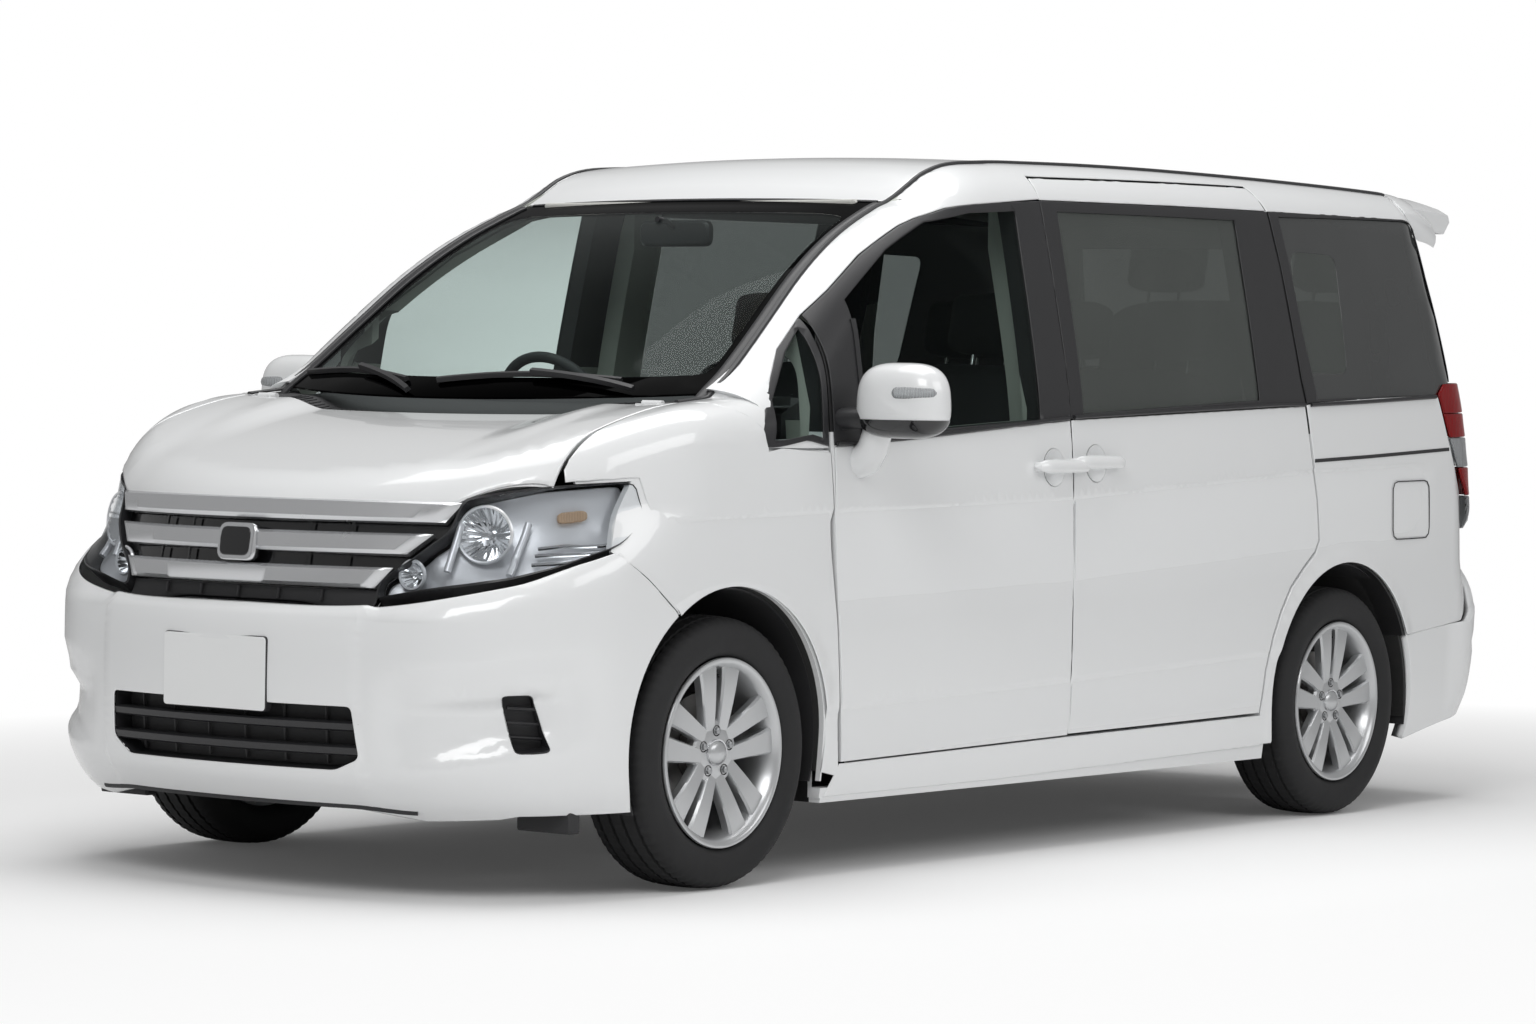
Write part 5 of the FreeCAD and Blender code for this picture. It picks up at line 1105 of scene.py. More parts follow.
class Piece:
    """Gathers parts under their finishes and makes one object of them."""

    def __init__(self, name: str, body: str, paints: Paintbox) -> None:
        """Start an empty piece."""
        self.name, self.body, self.paints = name, body, paints
        self.parts: list[tuple[Part, str]] = []

    def add(self, finish: str, *parts: Part) -> "Piece":
        """Add parts in a finish."""
        self.parts += [(part, finish) for part in parts]
        return self

    def both(self, finish: str, *parts: Part) -> "Piece":
        """Add parts and their mirror images.

        Args:
            finish: Their finish.
            parts: The parts.

        Returns:
            The piece itself.
        """
        for part in parts:
            self.add(finish, part, part.mirrored())
        return self

    def make(self, *replaced: str, slot: str = "") -> bpy.types.Object:
        """Make the object, name what it replaces, and let it ride on its body.

        Args:
            replaced: The nodes that it replaces.
            slot: Not used.

        Returns:
            The object.
        """
        names = list(dict.fromkeys(finish for _, finish in self.parts))
        points, starts, loops, totals, slots, smooth, normals = [], 0, [], [], [], [], []
        for part, finish in self.parts:
            count, size = part.faces.shape
            points.append(part.points)
            loops.append((part.faces + starts).ravel())
            totals.append(np.full(count, size))
            slots.append(np.full(count, names.index(finish)))
            smooth.append(np.full(count, part.smooth))
            plain = np.zeros((count * size, 3))
            if part.normals is not None:
                plain = part.normals[part.faces.ravel()]
            normals.append(plain)
            starts += len(part.points)
        mesh = bpy.data.meshes.new(self.name)
        points, loops, totals = (np.concatenate(rows) for rows in (points, loops, totals))
        points = points * METRE
        mesh.vertices.add(len(points))
        mesh.vertices.foreach_set("co", points.ravel())
        mesh.loops.add(len(loops))
        mesh.loops.foreach_set("vertex_index", loops.astype(np.int32))
        mesh.polygons.add(len(totals))
        mesh.polygons.foreach_set("loop_start", (np.cumsum(totals) - totals).astype(np.int32))
        mesh.polygons.foreach_set("loop_total", totals.astype(np.int32))
        mesh.polygons.foreach_set("material_index", np.concatenate(slots).astype(np.int32))
        mesh.polygons.foreach_set("use_smooth", np.concatenate(smooth))
        for name in names:
            mesh.materials.append(self.paints.get(name))
        mesh.update(calc_edges=True)
        mesh.set_sharp_from_angle(angle=np.radians(38))
        normals = np.concatenate(normals)
        if np.any(normals):
            mesh.normals_split_custom_set(normals.tolist())
        item = bpy.data.objects.new(self.name, mesh)
        bpy.context.scene.collection.objects.link(item)
        if replaced:
            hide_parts(*replaced)
        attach(item, self.body)
        LOG.info("%s: %d faces on %s", self.name, len(totals), self.body)
        return item


def signed_power(value: Array, power: float) -> Array:
    """A power that keeps the sign."""
    return np.sign(value) * np.abs(value) ** power


def halved(faces: Array) -> Array:
    """Quads cut into triangles."""
    return np.concatenate([faces[:, [0, 1, 2]], faces[:, [0, 2, 3]]])


def capped(rows: int, count: int) -> Array:
    """Triangles of a row of rings, closed over both ends by fans.

    Args:
        rows: The rings.
        count: Points of a ring.

    Returns:
        The triangles.
    """
    fan = np.stack([np.zeros(count - 2, int), np.arange(1, count - 1), np.arange(2, count)], axis=-1)
    sides = halved(grid_faces(rows, count, wrap=True))
    return np.concatenate([sides, fan[:, ::-1], fan + (rows - 1) * count])


def loft(block: Array) -> Part:
    """A closed part through rings of points, given as an array of rings, points and axes."""
    return outward(Part(block.reshape(-1, 3), capped(*block.shape[:2])))


def both_sides(name: str, body: str, paints: Paintbox, parts: Sequence[tuple[str, Part]],
               replaced: str = "", slot: str = "") -> None:
    """Make a piece on each side, with the parts as they are on the left and mirrored on the right.

    Args:
        name: The pieces' name, with braces for the side.
        body: The body that they ride on, with braces for the side where it has one.
        paints: The finishes.
        parts: Pairs of a finish and a part.
        replaced: The node that they replace, with braces for the side, or nothing.
        slot: Handed on to each piece's make, which does not use it.
    """
    for side, sign in SIDES:
        piece = Piece(name.format(side), body.format(side), paints)
        for finish, part in parts:
            piece.add(finish, part if sign > 0 else part.mirrored())
        piece.make(*([replaced.format(side)] if replaced else []), slot=slot)


def shell(chart: Chart, flat: Flat, lift: float = LIFT, depth: float = SKIN,
          shape: Relief | None = None, roll: float = 1.6) -> Part:
    """A closed panel on the form: an outer face whose rim is rolled in, an inner face, and an edge.

    Args:
        chart: The map from flat points to the form.
        flat: The panel's flat triangles.
        lift: Height over the form.
        depth: Thickness.
        shape: Relief over the form as a function of points.
        roll: How far the rim goes in.

    Returns:
        The closed part, with the outer face's normals.
    """
    points, normals = chart.laid(flat.points, lift, shape)
    pairs = flat.edge_pairs()
    rim = np.unique(pairs)
    size = len(points)
    along = np.zeros((size, 3))
    np.add.at(along, pairs[:, 0], points[pairs[:, 1]] - points[pairs[:, 0]])
    np.add.at(along, pairs[:, 1], points[pairs[:, 1]] - points[pairs[:, 0]])
    a, b, c = (points[flat.faces[:, i]] for i in range(3))
    facing = np.sum(np.cross(b - a, c - a) * normals[flat.faces[:, 0]]) > 0
    away = unit(np.cross(along, normals)) * (1 if facing else -1)
    outer = points.copy()
    outer[rim] -= normals[rim] * roll
    tilted = normals.copy()
    tilted[rim] = unit(normals[rim] + away[rim] * 0.8)
    inner = points - normals * depth
    faces = flat.faces if facing else flat.faces[:, ::-1]
    pairs = pairs if facing else pairs[:, ::-1]
    edge = np.stack([pairs[:, 0], pairs[:, 0] + size, pairs[:, 1] + size, pairs[:, 1]], axis=-1)
    split = halved(edge)
    every = np.concatenate([faces, faces[:, ::-1] + size, split])
    both = np.concatenate([tilted, -normals])
    return Part(np.concatenate([outer, inner]), every, both)


def prism(outline: Array, low: float, high: float, axis: int = 0, bevel: float = 0.0) -> Part:
    """An outline carried along an axis, with its ends drawn in by a bevel.

    Args:
        outline: Closed flat outline over the two other axes, in their order.
        low: Start along the axis.
        high: End along the axis.
        axis: 0, 1 or 2.
        bevel: Width of the drawn-in ends.

    Returns:
        The closed part.
    """
    if turning(outline) < 0:
        outline = outline[::-1]
    rows = [(low, 0), (high, 0)]
    if bevel:
        rows = [(low, -bevel), (low + bevel, 0), (high - bevel, 0), (high, -bevel)]
    count = len(outline)
    others = [i for i in range(3) if i != axis]
    points = np.zeros((len(rows) * count, 3))
    for i, (place, amount) in enumerate(rows):
        block = slice(i * count, (i + 1) * count)
        points[block][:, others] = grown(outline, amount) if amount else outline
        points[block, axis] = place
    rim = [(i, (i + 1) % count) for i in range(count)]
    made = delaunay_2d_cdt([tuple(p) for p in outline], rim, [], 1, 1e-5)
    cap = wound(outline, np.array([o[0] for o in made[3]])[np.array(made[2])])[0]
    sides = halved(grid_faces(len(rows), count, wrap=True))
    every = np.concatenate([sides, cap[:, ::-1], cap + (len(rows) - 1) * count])
    return Part(points, every[:, ::-1] if axis == 1 else every)


def cuboid(low: Sequence[float], high: Sequence[float], bevel: float = 2.0) -> Part:
    """A box with drawn-in ends and softened edges along X."""
    outline = np.array([[low[1], low[2]], [high[1], low[2]], [high[1], high[2]], [low[1], high[2]]], float)
    return prism(softened(outline, bevel, 4), low[0], high[0], 0, bevel)


def turned(profile: Sequence[Sequence[float]], count: int = 48, closed: bool = False) -> Part:
    """A profile of pairs of X and radius turned about the X axis, as (x, r cos a, r sin a).

    Args:
        profile: The pairs.
        count: Points round the axis.
        closed: Whether the profile is a loop.

    Returns:
        The part.
    """
    profile = np.array(profile, float)
    angle = turns(count)
    x = np.repeat(profile[:, :1], count, axis=1)
    r = profile[:, 1:]
    points = np.stack([x, r * np.cos(angle), r * np.sin(angle)], axis=-1).reshape(-1, 3)
    return Part(points, grid_faces(len(profile), count, wrap=True, close=closed))


def tube(path: Array, radius: Array | float, count: int = 12, flat: float = 1.0,
         up: Sequence[float] = (0, 0, 1), closed: bool = False) -> Part:
    """A closed tube along a path: rings of an ellipse across each point's tangent.

    Args:
        path: Points of the centre line.
        radius: Radius, or one for each point.
        count: Points of a ring.
        flat: The ring's height over its width.
        up: Direction that the ring's height leans to.
        closed: Whether the path is a loop.

    Returns:
        The closed part.
    """
    path = np.asarray(path, float)
    if closed:
        tangent = unit(np.roll(path, -1, axis=0) - np.roll(path, 1, axis=0))
    else:
        tangent = unit(np.gradient(path, axis=0))
    side = unit(np.cross(tangent, np.asarray(up, float)))
    top = np.cross(side, tangent)
    angle = turns(count)
    r = np.broadcast_to(np.asarray(radius, float), (len(path),))[:, None, None]
    ring = side[:, None] * np.cos(angle)[None, :, None] + top[:, None] * np.sin(angle)[None, :, None] * flat
    points = (path[:, None] + ring * r).reshape(-1, 3)
    if not closed:
        return Part(points, capped(len(path), count))
    return Part(points, halved(grid_faces(len(path), count, wrap=True, close=True)))


def ribbon(path: Array, across: Array, normal: Array, profile: Array) -> Part:
    """A profile of pairs (across, out) carried along a path with given frames, closed at both ends.

    Args:
        path: Points of the path.
        across: Unit direction of the profile's first value at each point.
        normal: Unit direction of its second value at each point.
        profile: The pairs.

    Returns:
        The closed part.
    """
    points = path[:, None] + profile[None, :, :1] * across[:, None] + profile[None, :, 1:] * normal[:, None]
    return loft(points)


def outward(part: Part) -> Part:
    """The part with its faces turned outwards, judged by its volume.

    Args:
        part: The part.

    Returns:
        The same part.
    """
    triangles = part.faces[:, :3]
    a, b, c = (part.points[triangles[:, i]] - part.points.mean(axis=0) for i in range(3))
    volume = np.sum(np.cross(a, b) * c)
    if part.faces.shape[1] == 4:
        d = part.points[part.faces[:, 3]] - part.points.mean(axis=0)
        volume += np.sum(np.cross(a, c) * d)
    if volume < 0:
        part.faces = part.faces[:, ::-1]
    return part


def strip(chart: Chart, line: Array, profile: Array, lift: float = 0.0,
          shape: Relief | None = None) -> Part:
    """A moulding along a flat line on the form.

    Args:
        chart: The map from flat points to the form.
        line: The flat line.
        profile: Pairs (across, out).
        lift: Height over the form.
        shape: Relief over the form as a function of points.

    Returns:
        The closed part.
    """
    points, normals = chart.laid(line, lift, shape)
    along = unit(np.gradient(points, axis=0))
    return ribbon(points, unit(np.cross(normals, along)), normals, profile)


def mound(half: float, low: float, high: float) -> Array:
    """A profile of a flat bar, from half its width and its two heights."""
    return np.array([[-half, low], [-half, high], [half, high], [half, low]], float)


BELT_PROFILE = np.array([[-5, 0], [-5, 4], [-2, 7], [4, 7], [6, 3], [6, 0]], float)


# ---------------------------------------------------------------- body sides
@dataclass
class Sides:
    """Fenders, doors, quarters, roof rails, sills, glass, handles and mirrors."""

    paints: Paintbox
    gap: float = 6.0
    arch_front: tuple[float, float, float] = (*ARCH_FRONT, 372.0)
    arch_rear: tuple[float, float, float] = (*ARCH_REAR, 402.0)
    lip: float = 6.0
    crease_high: tuple = ((-400, 880), (410, 900), (1446, 923), (2678, 988), (3400, 1010))
    crease_low: tuple = ((300, 415), (466, 421), (1443, 449), (2486, 486), (2700, 492))
    crease_depth: float = 13.0
    bowl_radius: float = 50.0
    recesses: dict = field(default_factory=lambda: {"front": (1362.0, 1000.0), "sliding": (1560.0, 1010.0)})
    door: tuple = ((0.161, 0.1536), (0.51, 0.163), (0.508, 0.615), (0.142, 0.5765), (0.142, 0.492),
                   (0.147, 0.3716), (0.1534, 0.264))
    frame: tuple = ((0.142, 0.5765), (0.508, 0.615), (0.506, 0.928), (0.425, 0.92), (0.36, 0.908),
                    (0.294, 0.88), (0.23, 0.836), (0.178, 0.786), (0.142, 0.751))
    slide: tuple = ((0.51, 0.163), (0.847, 0.1694), (0.854, 0.235), (0.864, 0.284), (0.878, 0.324),
                    (0.896, 0.361), (0.919, 0.3885), (0.943, 0.413), (0.951, 0.4317), (0.947, 0.4934),
                    (0.938, 0.5557), (0.93, 0.6395), (0.508, 0.615))
    slide_frame: tuple = ((0.508, 0.615), (0.93, 0.6395), (0.925, 0.6787), (0.9195, 0.8027),
                          (0.911, 0.937), (0.506, 0.928))
    slide_head: tuple = ((0.506, 0.928), (0.911, 0.937), (0.898, 0.9732), (0.508, 0.9607))
    front_glass: tuple = ((0.187, 0.773), (0.2116, 0.798), (0.26, 0.844), (0.326, 0.886), (0.3905, 0.903),
                          (0.462, 0.91), (0.458, 0.6137), (0.1835, 0.5907))
    slide_glass: tuple = ((0.532, 0.9137), (0.845, 0.92), (0.8424, 0.646), (0.529, 0.623))
    rear_glass: tuple = ((0.932, 0.93), (1.216, 0.933), (1.226, 0.889), (1.258, 0.68), (1.2228, 0.676),
                         (1.2074, 0.66), (0.955, 0.648), (0.943, 0.75))
    quarter_glass: tuple = ((0.058, 0.583), (0.068, 0.637), (0.106, 0.701), (0.132, 0.735), (0.128, 0.586))
    band: tuple = ((125, 1094), (179, 1166), (294, 1288), (406, 1375), (509, 1439), (656, 1530),
                   (840, 1611), (1028, 1662), (1213, 1682), (1399, 1698), (1450, 1702))
    band_rear: tuple = ((2590, 1716), (3000, 1714), (3470, 1711))

    def relief(self, points: Array) -> Array:
        """Creases and arch lips.

        Under each crease line the panel steps in by its depth over 28 mm, and comes back out by 300 mm.

        Args:
            points: Points on the form.

        Returns:
            Height over the form at each of them.
        """
        y, z = points[:, 1] - FRONT, points[:, 2]
        out = np.zeros(len(points))
        creases = ((self.crease_high, self.crease_depth), (self.crease_low, 0.55 * self.crease_depth))
        for line, depth in creases:
            ys, zs = np.array(line, float).T
            under = np.interp(y, ys, zs) - z
            fade = Form.smooth(ys[0] - 60, ys[0] + 60, y) * (1 - Form.smooth(ys[-1] - 160, ys[-1], y))
            out -= depth * np.clip(under / 28, 0, 1) * (1 - Form.smooth(60, 300, under)) * fade
        for centre, up, radius in (self.arch_front, self.arch_rear):
            away = np.hypot(y - centre, z - up) - radius
            out += self.lip * (1 - Form.smooth(0, 45, np.abs(away)))
        return out

    def arch(self, which: tuple[float, float, float], start: float, end: float) -> Array:
        """Points of a wheel arch between two angles."""
        return rel(arc(which[:2], which[2], start, end, 40))

    def lines(self, table: Sequence[Sequence[float]], spacing: float = 34.0,
              offsets: Sequence[float] = (4, -4, -14, -24, -33)) -> Array:
        """Points along a crease, at offsets under it, for a finer mesh there.

        Args:
            table: The crease as pairs.
            spacing: Distance along it.
            offsets: Heights from it.

        Returns:
            The points.
        """
        ys, zs = np.array(table, float).T
        y = np.arange(ys[0], ys[-1], spacing)
        return np.concatenate([np.stack([y + FRONT, np.interp(y, ys, zs) + o], axis=-1) for o in offsets])

    def recess(self, word: str) -> Array:
        """The opening in a door's skin over its finger recess."""
        y, z = self.recesses[word]
        return arc((y + FRONT, z), self.bowl_radius, 0, 360, 41)[:-1]

    def panel(self, outline: Array, lift: float = LIFT, holes: Sequence[Array] = (), chart: Chart = SIDE,
              spacing: float = 34.0, shaped: bool = True, depth: float = SKIN) -> Part:
        """A body panel from an outline of Y and Z.

        Args:
            outline: The panel's edge.
            lift: Height over the form.
            holes: Outlines of its openings.
            chart: The map that it lies on.
            spacing: Distance between the mesh's points.
            shaped: Whether it has the side's creases and lips.
            depth: Thickness.

        Returns:
            The panel.
        """
        flat = Flat.fill(chart.lay(outline), [chart.lay(h) for h in holes], spacing, 3.5,
                         [self.lines(self.crease_high), self.lines(self.crease_low)] if shaped else ())
        return shell(chart, flat, lift, depth, self.relief if shaped else None)

    def fender(self) -> Part:
        """The left fender, up to the hood's shut line and down to the door.

        Returns:
            The fender.
        """
        rear = np.array([[454, 245], [450, 281], [432, 483], [412, 680], [394, 973], [390, 1040], [143, 1043],
                         [137, 1128]], float) + [FRONT, 0]
        edge = np.array([(712, 969), (740, 973), (770, 977), (797, 981), (812, 900), (819, 832)], float)
        lamp = WING.onto(NOSE_CHART.surface(NOSE_CHART.lay(edge)))
        front = rel([(-395, 808), (-302, 748), (-200, 671)])
        low = WING.lay(np.concatenate([front, self.arch(self.arch_front, 124, -14), rear]))
        y = steps(118.0 + FRONT, lamp[0, 0] + 4, 36)
        top = np.stack([y, WING.top(y) - 2], axis=-1)
        outline = np.concatenate([lamp, low, top])
        flat = Flat.fill(outline, (), 30.0, 3.5, [self.lines(self.crease_high)])
        return shell(WING, flat, LIFT, SKIN, self.relief)

    def quarter(self) -> Part:
        """The left quarter panel round the rear arch, up to the glass and back to the lamp and the bumper.

        Returns:
            The panel.
        """
        edge = shares([(0.8495, 0.1694), (0.857, 0.235), (0.867, 0.284), (0.881, 0.324), (0.899, 0.3595),
                       (0.9215, 0.3865), (0.946, 0.41), (0.954, 0.4317), (0.95, 0.4934), (0.941, 0.5557),
                       (0.933, 0.6395)])
        top = rel([(2730, 1182), (3000, 1191), (3440, 1205), (3450, 1200), (3500, 1066), (3546, 958),
                   (3660, 806), (3670, 800), (3688, 752), (3664, 590), (3588, 536), (3262, 507)])
        arch = self.arch(self.arch_rear, 27.4, 193)
        low = rel([(2484, 226), (2425, 224), (2425, 308)])
        return self.panel(np.concatenate([edge, top, arch, low]))

    def rail(self) -> Part:
        """The left windscreen pillar and roof rail, between the black band and the roof edge.

        Returns:
            The rail.
        """
        y = steps(3440.0, -60.0, 110) + FRONT
        top = np.stack([y, SIDE.top(y) - 1], axis=-1)
        front = rel([(20, 1146), (90, 1120)])
        slide = shares([(0.5065, 0.9315), (0.5065, 0.963), (0.8985, 0.9755), (0.9125, 0.937)])
        band = SIDE.lay(np.concatenate([front, rel(self.band), slide, rel(self.band_rear)]))
        return shell(SIDE, Flat.fill(np.concatenate([band, top]), (), 30.0, 3.5), LIFT, SKIN)

    def build(self) -> None:
        """Build both sides."""
        sill = rel([(400, 197), (1165, 199), (2440, 222), (2440, 305), (1465, 293), (456, 276)])
        shell_piece = Piece("side_panels", "body_shell", self.paints)
        shell_piece.both("body_paint", self.fender(), self.quarter(), self.rail(),
                         self.panel(sill, spacing=40.0))
        slide = grown(shares(self.slide), -self.gap / 2)
        shell_piece.both("body_paint", self.panel(slide, holes=[self.recess("sliding")]))
        head = self.panel(grown(shares(self.slide_head), -2.0), spacing=40.0, shaped=False)
        shell_piece.both("body_paint", head)
        border = self.panel(grown(shares(self.slide_frame), -1.0), LIFT + 1, [shares(self.slide_glass)],
                            spacing=40.0, shaped=False)
        shell_piece.both("satin_black", border)
        shell_piece.both("satin_black", *self.pillars())
        shell_piece.both("satin_black", *self.mouldings())
        # A black strip of painted shade stands in for the sliding door's rail slot.
        shell_piece.both("textured_black", *self.rail_slot())
        shell_piece.add("body_paint", *self.fuel_flap())
        # A black strip of painted shade stands in for the gap round the fuel flap.
        shell_piece.add("textured_black", self.flap_line())
        shell_piece.make(slot="body_paint")
        self.doors()
        self.glass()
        self.handles()
        self.mirrors()

    def pillars(self) -> list[Part]:
        """The black places round the quarter glass and behind the rear glass.

        Returns:
            The two places.
        """
        front = rel([(137, 1052), (125, 1094), (179, 1166), (294, 1288), (396, 1366)])
        front = np.concatenate([front, shares([(0.1385, 0.74), (0.1345, 0.5765)])])
        rear = shares([(1.2475, 0.889), (1.281, 0.682), (1.2228, 0.679), (1.2074, 0.662), (0.9335, 0.642),
                       (0.9285, 0.6787), (0.923, 0.8027), (0.914, 0.937)])
        rear = np.concatenate([rel([(2660, 1716), (3470, 1711)]), rear])
        return [self.panel(outline, LIFT + 1, [hole], spacing=40.0, shaped=False)
                for outline, hole in ((front, grown(shares(self.quarter_glass), -3)),
                                      (rear, shares(self.rear_glass)))]

    def mouldings(self) -> list[Part]:
        """The black drip moulding along the roof edge, and the belt strips behind the front door.

        Returns:
            The mouldings.
        """
        y = steps(-40.0, 3430.0, 120) + FRONT
        line = np.stack([y, SIDE.top(y) - 9], axis=-1)
        bead = np.array([[-7, -3], [-7, 3], [-4, 6], [4, 6], [7, 3], [7, -3]], float)
        belts = (rel([(1460, 1130), (1497, 1132), (2000, 1152), (2517, 1171), (2646, 1171)]),
                 rel([(2680, 1171), (3000, 1182), (3430, 1200)]))
        return [strip(SIDE, line, bead, LIFT)] + [strip(SIDE, self.dense(belt), BELT_PROFILE, LIFT + 1)
                                                  for belt in belts]

    @staticmethod
    def dense(line: Array, step: float = 40.0) -> Array:
        """An open line with points every step.

        Args:
            line: The line.
            step: The longest distance between two points.

        Returns:
            The finer line.
        """
        size = np.concatenate([[0], np.cumsum(np.linalg.norm(np.diff(line, axis=0), axis=1))])
        t = steps(0, size[-1], int(size[-1] / step) + 2)
        return np.stack([np.interp(t, size, line[:, i]) for i in range(2)], axis=-1)

    def rail_slot(self) -> list[Part]:
        """A black strip of painted shade in place of the slot that the sliding door runs in."""
        line = self.dense(rel([(2690, 1014), (3000, 1025), (3496, 1046)]))
        # The textured black strip paints the shade inside the rail's slot.
        return [strip(SIDE, line, mound(5, -1, 1.2), LIFT)]

    def fuel_flap(self) -> list[Part]:
        """The flap over the filler, on the left."""
        corners = rel([(3146, 787), (3362, 790), (3362, 952), (3146, 949)])
        return [self.panel(softened(corners, 26.0), LIFT + 1.4, spacing=40.0, depth=3.0)]

    def flap_line(self) -> Part:
        """A black strip of painted shade laid on the narrow gap round the flap.

        Returns:
            The strip of painted shade.
        """
        corners = softened(rel([(3143, 784), (3365, 787), (3365, 955), (3143, 952)]), 28.0)
        line = self.dense(np.concatenate([corners, corners[:1]]), 20.0)
        # The textured black strip paints the shade that fills the gap round the flap.
        return strip(SIDE, line, mound(1.6, -1, 0.6), LIFT)

    def doors(self) -> None:
        """The front doors' skins, window frames and belt strips."""
        skin = self.panel(grown(shares(self.door), -self.gap / 2), holes=[self.recess("front")])
        frame = self.panel(grown(shares(self.frame), -2.0), LIFT + 1, [shares(self.front_glass)],
                           spacing=40.0, shaped=False)
        line = rel([(412, 1060), (700, 1074), (922, 1090), (1200, 1111), (1436, 1128)])
        belt = strip(SIDE, self.dense(line), BELT_PROFILE, LIFT + 1)
        bar = self.dense(shares([(0.184, 0.5885), (0.1865, 0.772)]))
        parts = (("body_paint", skin), ("satin_black", frame), ("satin_black", belt),
                 ("satin_black", strip(SIDE, bar, mound(9, 0, 3), LIFT + 1)))
        both_sides("front_door_skin_{}", "door_{}", self.paints, parts, slot="body_paint")

    def glass(self) -> None:
        """The side windows."""
        def pane(table: tuple) -> Part:
            """One pane, sunk a little."""
            return self.panel(grown(shares(table), 1.5), -2.0, spacing=60.0, shaped=False, depth=4.0)
        piece = Piece("side_windows", "body_shell", self.paints)
        zone = softened(rel([(2700, 1606), (2955, 1604), (2925, 1262), (2672, 1262)]), 40.0)
        edge = grown(shares(self.rear_glass), 1.5)
        piece.both("tinted_glass", pane(self.slide_glass),
                   self.panel(zone, -2.0, spacing=60.0, shaped=False, depth=4.0))
        piece.both("frit_glass", self.panel(edge, -2.0, [zone], spacing=60.0, shaped=False, depth=4.0))
        piece.both("clear_glass", pane(self.quarter_glass))
        piece.make("side_glass", slot="dark_glass")
        both_sides("front_door_window_{}", "door_{}", self.paints, [("clear_glass", pane(self.front_glass))],
                   "front_door_glass_{}", "clear_glass")

    def bowl(self, place: tuple[float, float]) -> Part:
        """A round finger recess, 2.4 mm deep as a parabola, with its slopes drawn six times as steep.

        Args:
            place: Its middle in Y and Z.

        Returns:
            The recess.
        """
        centre = np.array([place[0] + FRONT, place[1]])

        def dish(points: Array) -> Array:
            """Height over the recess's floor."""
            away = np.hypot(points[:, 1] - centre[0], points[:, 2] - centre[1]) / self.bowl_radius
            return 2.4 * np.clip(away, 0, 1) ** 2
        ring = arc(centre, self.bowl_radius - 1, 0, 360, 41)[:-1]
        flat = Flat.fill(SIDE.lay(ring), (), 12.0, 2.0)
        part = shell(SIDE, flat, LIFT - 2.6, 1.5, dish, 0.0)
        size = len(part.points) // 2
        plain = SIDE.outward(part.points[:size])
        part.normals[:size] = unit(plain + 6 * (part.normals[:size] - plain))
        return part

    def handles(self) -> None:
        """A pull handle over a round finger recess, on each door."""
        for (word, place), shift in zip(self.recesses.items(), (19.0, -10.0)):
            centre = np.array([place[0] + FRONT, place[1]])
            s = steps(-1, 1, 30)
            line = np.stack([s * 116 + centre[0] + shift, np.full(30, centre[1]) + 2], axis=-1)
            points, normals = SIDE.laid(line, LIFT)
            out = 4 + 24 * np.sqrt(np.clip(1 - s ** 8, 0, 1))
            size = (13 + 3 * (1 - (s + 0.75) ** 2 / 3.1)) * np.clip(1 - s ** 10, 0, 1) ** 0.5 + 2
            grip = outward(tube(points + normals * out[:, None], size, 16, 0.55, (1, 0, 0.2)))
            ends = [outward(tube(points[i] + normals[i] * np.array([[-2], [24]]), 13.0, 16)) for i in (2, 27)]
            parts = [("body_paint", part) for part in (grip, self.bowl(place), *ends)]
            body = "door_{}" if word == "front" else "body_shell"
            both_sides(word + "_door_handle_{}", body, self.paints, parts, slot="body_paint")

    def mirrors(self) -> None:
        """Door mirrors: a superellipsoid shell cut by its glass, a darker base, a lamp strip and a foot."""
        centre = np.array([993.0, 474.0 + FRONT, 1170.0])
        u, v = np.meshgrid(turns(48), steps(-np.pi / 2, np.pi / 2, 25))
        x = 127 * signed_power(np.cos(v), 0.6) * signed_power(np.cos(u), 0.6)
        y = 66 * signed_power(np.cos(v), 0.8) * signed_power(np.sin(u), 0.9)
        z = 92 * signed_power(np.sin(v), 0.7)
        y = np.where(y > 30, 30 + (y - 30) * 0.08, y)
        x = x * (1 - 0.06 * z / 100) + 3
        points = np.stack([x, y, z], axis=-1).reshape(-1, 3) + centre
        body = outward(Part(points, grid_faces(25, 48, wrap=True)))
        mask = body.points[body.faces].mean(axis=1)[:, 2] < centre[2] - 46
        base = Part((body.points - centre) * [1.012, 1.02, 1.012] + centre, body.faces[mask])
        round_x, round_z = signed_power(arc((0, 0), 1.0, 0, 360, 41)[:-1].T, 0.55)
        glass = np.stack([110 * round_x, 74 * round_z], axis=-1) + [centre[0] + 3, centre[2] + 4]
        pane = prism(glass, centre[1] + 31.0, centre[1] + 36.0, 1, 1.0)
        share = steps(0, 1, 20)
        lamp_line = np.stack([steps(12, 118, 20), 34 * share ** 3 - 60, np.full(20, 18.0)], axis=-1) + centre
        girth = 13.0 * np.sqrt(np.clip(1 - steps(-0.98, 0.98, 20) ** 8, 0.05, 1))
        foot = np.array([[832, 512, 1014], [860, 508, 1024], [887, 500, 1054], [908, 490, 1096]], float)
        arm = np.array([[800, 440, 1120], [905, 462, 1128]], float)
        parts = [("body_paint", body), ("gloss_black", doubled(base)), ("mirror_silver", outward(pane)),
                 ("clear_lens", outward(tube(lamp_line, girth, 12, 1.2))),
                 ("body_paint", outward(tube(foot + [0, FRONT, 0], np.array([44, 44, 40, 38.0]), 18, 0.9))),
                 ("satin_black", outward(tube(arm + [0, FRONT, 0], 36.0, 18, 0.75)))]
        both_sides("door_mirror_shell_{}", "door_{}", self.paints, parts, "door_mirror_{}", "body_paint")


